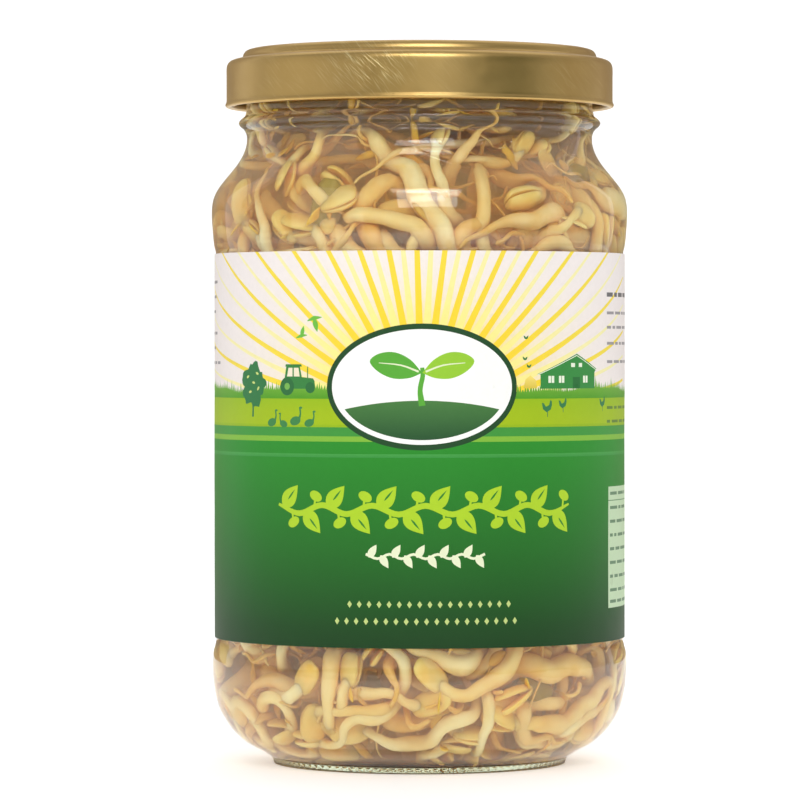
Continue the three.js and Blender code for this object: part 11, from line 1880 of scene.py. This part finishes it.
def make_label():
    print_label()
    LAYERS[:] = [(trimmed(poly), fn) for poly, fn in LAYERS]
    vs, es = [], []

    def loop(poly, closed=True):
        o = len(vs)
        vs.extend(Vector((float(a), float(b))) for a, b in poly)
        n = len(poly)
        es.extend((o + i, o + (i + 1) % n) for i in range(n if closed else n - 1))
    loop([(-S_END, Z_LO), (S_END, Z_LO), (S_END, Z_HI), (-S_END, Z_HI)])
    for poly, _ in LAYERS:
        loop(poly)
    for i in range(1, 100):
        s = -S_END + 2 * S_END * i / 100
        loop([(s, Z_LO), (s, Z_HI)], False)
    for z in (26, 30.5, 35, 40, 45, 50, 55, 70, 74, 78, 82, 86):
        loop([(-S_END, z), (S_END, z)], False)
    v2, _, tris, _, _, _ = delaunay_2d_cdt(vs, es, [], 0, 1e-4)
    V = np.array([(v.x, v.y) for v in v2])
    T = np.array(tris)
    e1, e2 = V[T[:, 1]] - V[T[:, 0]], V[T[:, 2]] - V[T[:, 0]]
    ar = e1[:, 0] * e2[:, 1] - e1[:, 1] * e2[:, 0]
    T[ar < 0] = T[ar < 0][:, ::-1]
    cen = V[T].mean(1)
    which = np.zeros(len(T), int)
    for k, (poly, _) in enumerate(LAYERS):
        which[inside(poly, cen)] = k
    corner = V[T].reshape(-1, 2)
    own = np.repeat(which, 3)
    colour = np.zeros((len(corner), 3))
    for k in np.unique(own):
        m = own == k
        colour[m] = LAYERS[k][1](corner[m, 0], corner[m, 1])
    # wrap front and back sheets and close the edges
    az = V[:, 0] / 36.4
    warp = 0.018 * np.sin(V[:, 0] * 0.31 + V[:, 1] * 0.12) + 0.012 * np.sin(V[:, 0] * 0.83 - V[:, 1] * 0.27)

    def wrap(r):
        return np.stack([r * np.sin(az), -r * np.cos(az), V[:, 1]], 1)
    A, B = wrap(R_OUT + warp), wrap(np.full(len(V), R_IN))
    n = len(V)
    edges = {}
    for a, b, c in T:
        for e in ((a, b), (b, c), (c, a)):
            edges[e] = 1
    rim = [(a, b) for (a, b) in edges if (b, a) not in edges]
    tri = np.vstack([T, T[:, ::-1] + n])
    quads = np.array([(b, a, a + n, b + n) for a, b in rim])
    paper = col(243, 240, 236)
    me = bpy.data.meshes.new("label_sheet")
    co = np.vstack([A, B]) * MM
    me.vertices.add(len(co))
    me.vertices.foreach_set("co", co.astype(np.float32).ravel())
    me.loops.add(tri.size + quads.size)
    me.loops.foreach_set("vertex_index", np.concatenate([tri.ravel(), quads.ravel()]).astype(np.int32))
    me.polygons.add(len(tri) + len(quads))
    me.polygons.foreach_set("loop_start", np.concatenate([np.arange(len(tri)) * 3, tri.size + np.arange(len(quads)) * 4]).astype(np.int32))
    me.polygons.foreach_set("use_smooth", np.concatenate([np.ones(len(tri), bool), np.zeros(len(quads), bool)]))
    me.update(calc_edges=True)
    a = me.color_attributes.new("print", "FLOAT_COLOR", "CORNER")
    cc = np.vstack([colour, np.ones((tri.size - len(colour) + quads.size, 3)) * paper])
    a.data.foreach_set("color", np.hstack([cc, np.ones((len(cc), 1))]).astype(np.float32).ravel())
    rim_pts = set()
    for x, y in rim:
        rim_pts.update((x, y))
    sharp = np.zeros(len(me.edges), bool)
    ev = np.zeros(len(me.edges) * 2, np.int32)
    me.edges.foreach_get("vertices", ev)
    ev = ev.reshape(-1, 2)
    rs = set(tuple(sorted((int(x) + o, int(y) + o))) for x, y in rim for o in (0, n))
    for i, (x, y) in enumerate(ev):
        if (min(x, y), max(x, y)) in rs:
            sharp[i] = True
    me.attributes.new("sharp_edge", "BOOLEAN", "EDGE").data.foreach_set("value", sharp)
    ob = bpy.data.objects.new("label_sheet", me)
    scene.collection.objects.link(ob)
    m, nt, out = new_material("label_print")
    tex = nt.nodes.new("ShaderNodeTexCoord")
    at = nt.nodes.new("ShaderNodeVertexColor")
    at.layer_name = "print"
    n1 = node(nt, "ShaderNodeTexNoise", Scale=1100.0, Detail=3.0)
    nt.links.new(tex.outputs["Object"], n1.inputs["Vector"])
    ramp = nt.nodes.new("ShaderNodeValToRGB")
    ramp.color_ramp.elements[0].position, ramp.color_ramp.elements[0].color = 0.3, (0.975, 0.975, 0.975, 1)
    ramp.color_ramp.elements[1].position, ramp.color_ramp.elements[1].color = 0.65, (1, 1, 1, 1)
    nt.links.new(n1.outputs[0], ramp.inputs[0])
    mul = nt.nodes.new("ShaderNodeMix")
    mul.data_type, mul.blend_type = "RGBA", "MULTIPLY"
    mul.inputs[0].default_value = 1.0
    nt.links.new(at.outputs["Color"], mul.inputs[6])
    nt.links.new(ramp.outputs[0], mul.inputs[7])
    b = node(nt, "ShaderNodeBsdfPrincipled", Roughness=0.46)
    b.inputs["Specular IOR Level"].default_value = 0.22
    nt.links.new(mul.outputs[2], b.inputs["Base Color"])
    n2 = node(nt, "ShaderNodeTexNoise", Scale=260.0, Detail=4.0)
    nt.links.new(tex.outputs["Object"], n2.inputs["Vector"])
    bump = node(nt, "ShaderNodeBump", Strength=0.12, Distance=0.00008)
    nt.links.new(n2.outputs[0], bump.inputs["Height"])
    nt.links.new(bump.outputs[0], b.inputs["Normal"])
    nt.links.new(b.outputs[0], out.inputs[0])
    ob.data.materials.append(m)
    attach(ob, "root")
    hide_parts("paper_label")
    print("label", len(tri), "triangles")
    return ob


LABEL = make_label()
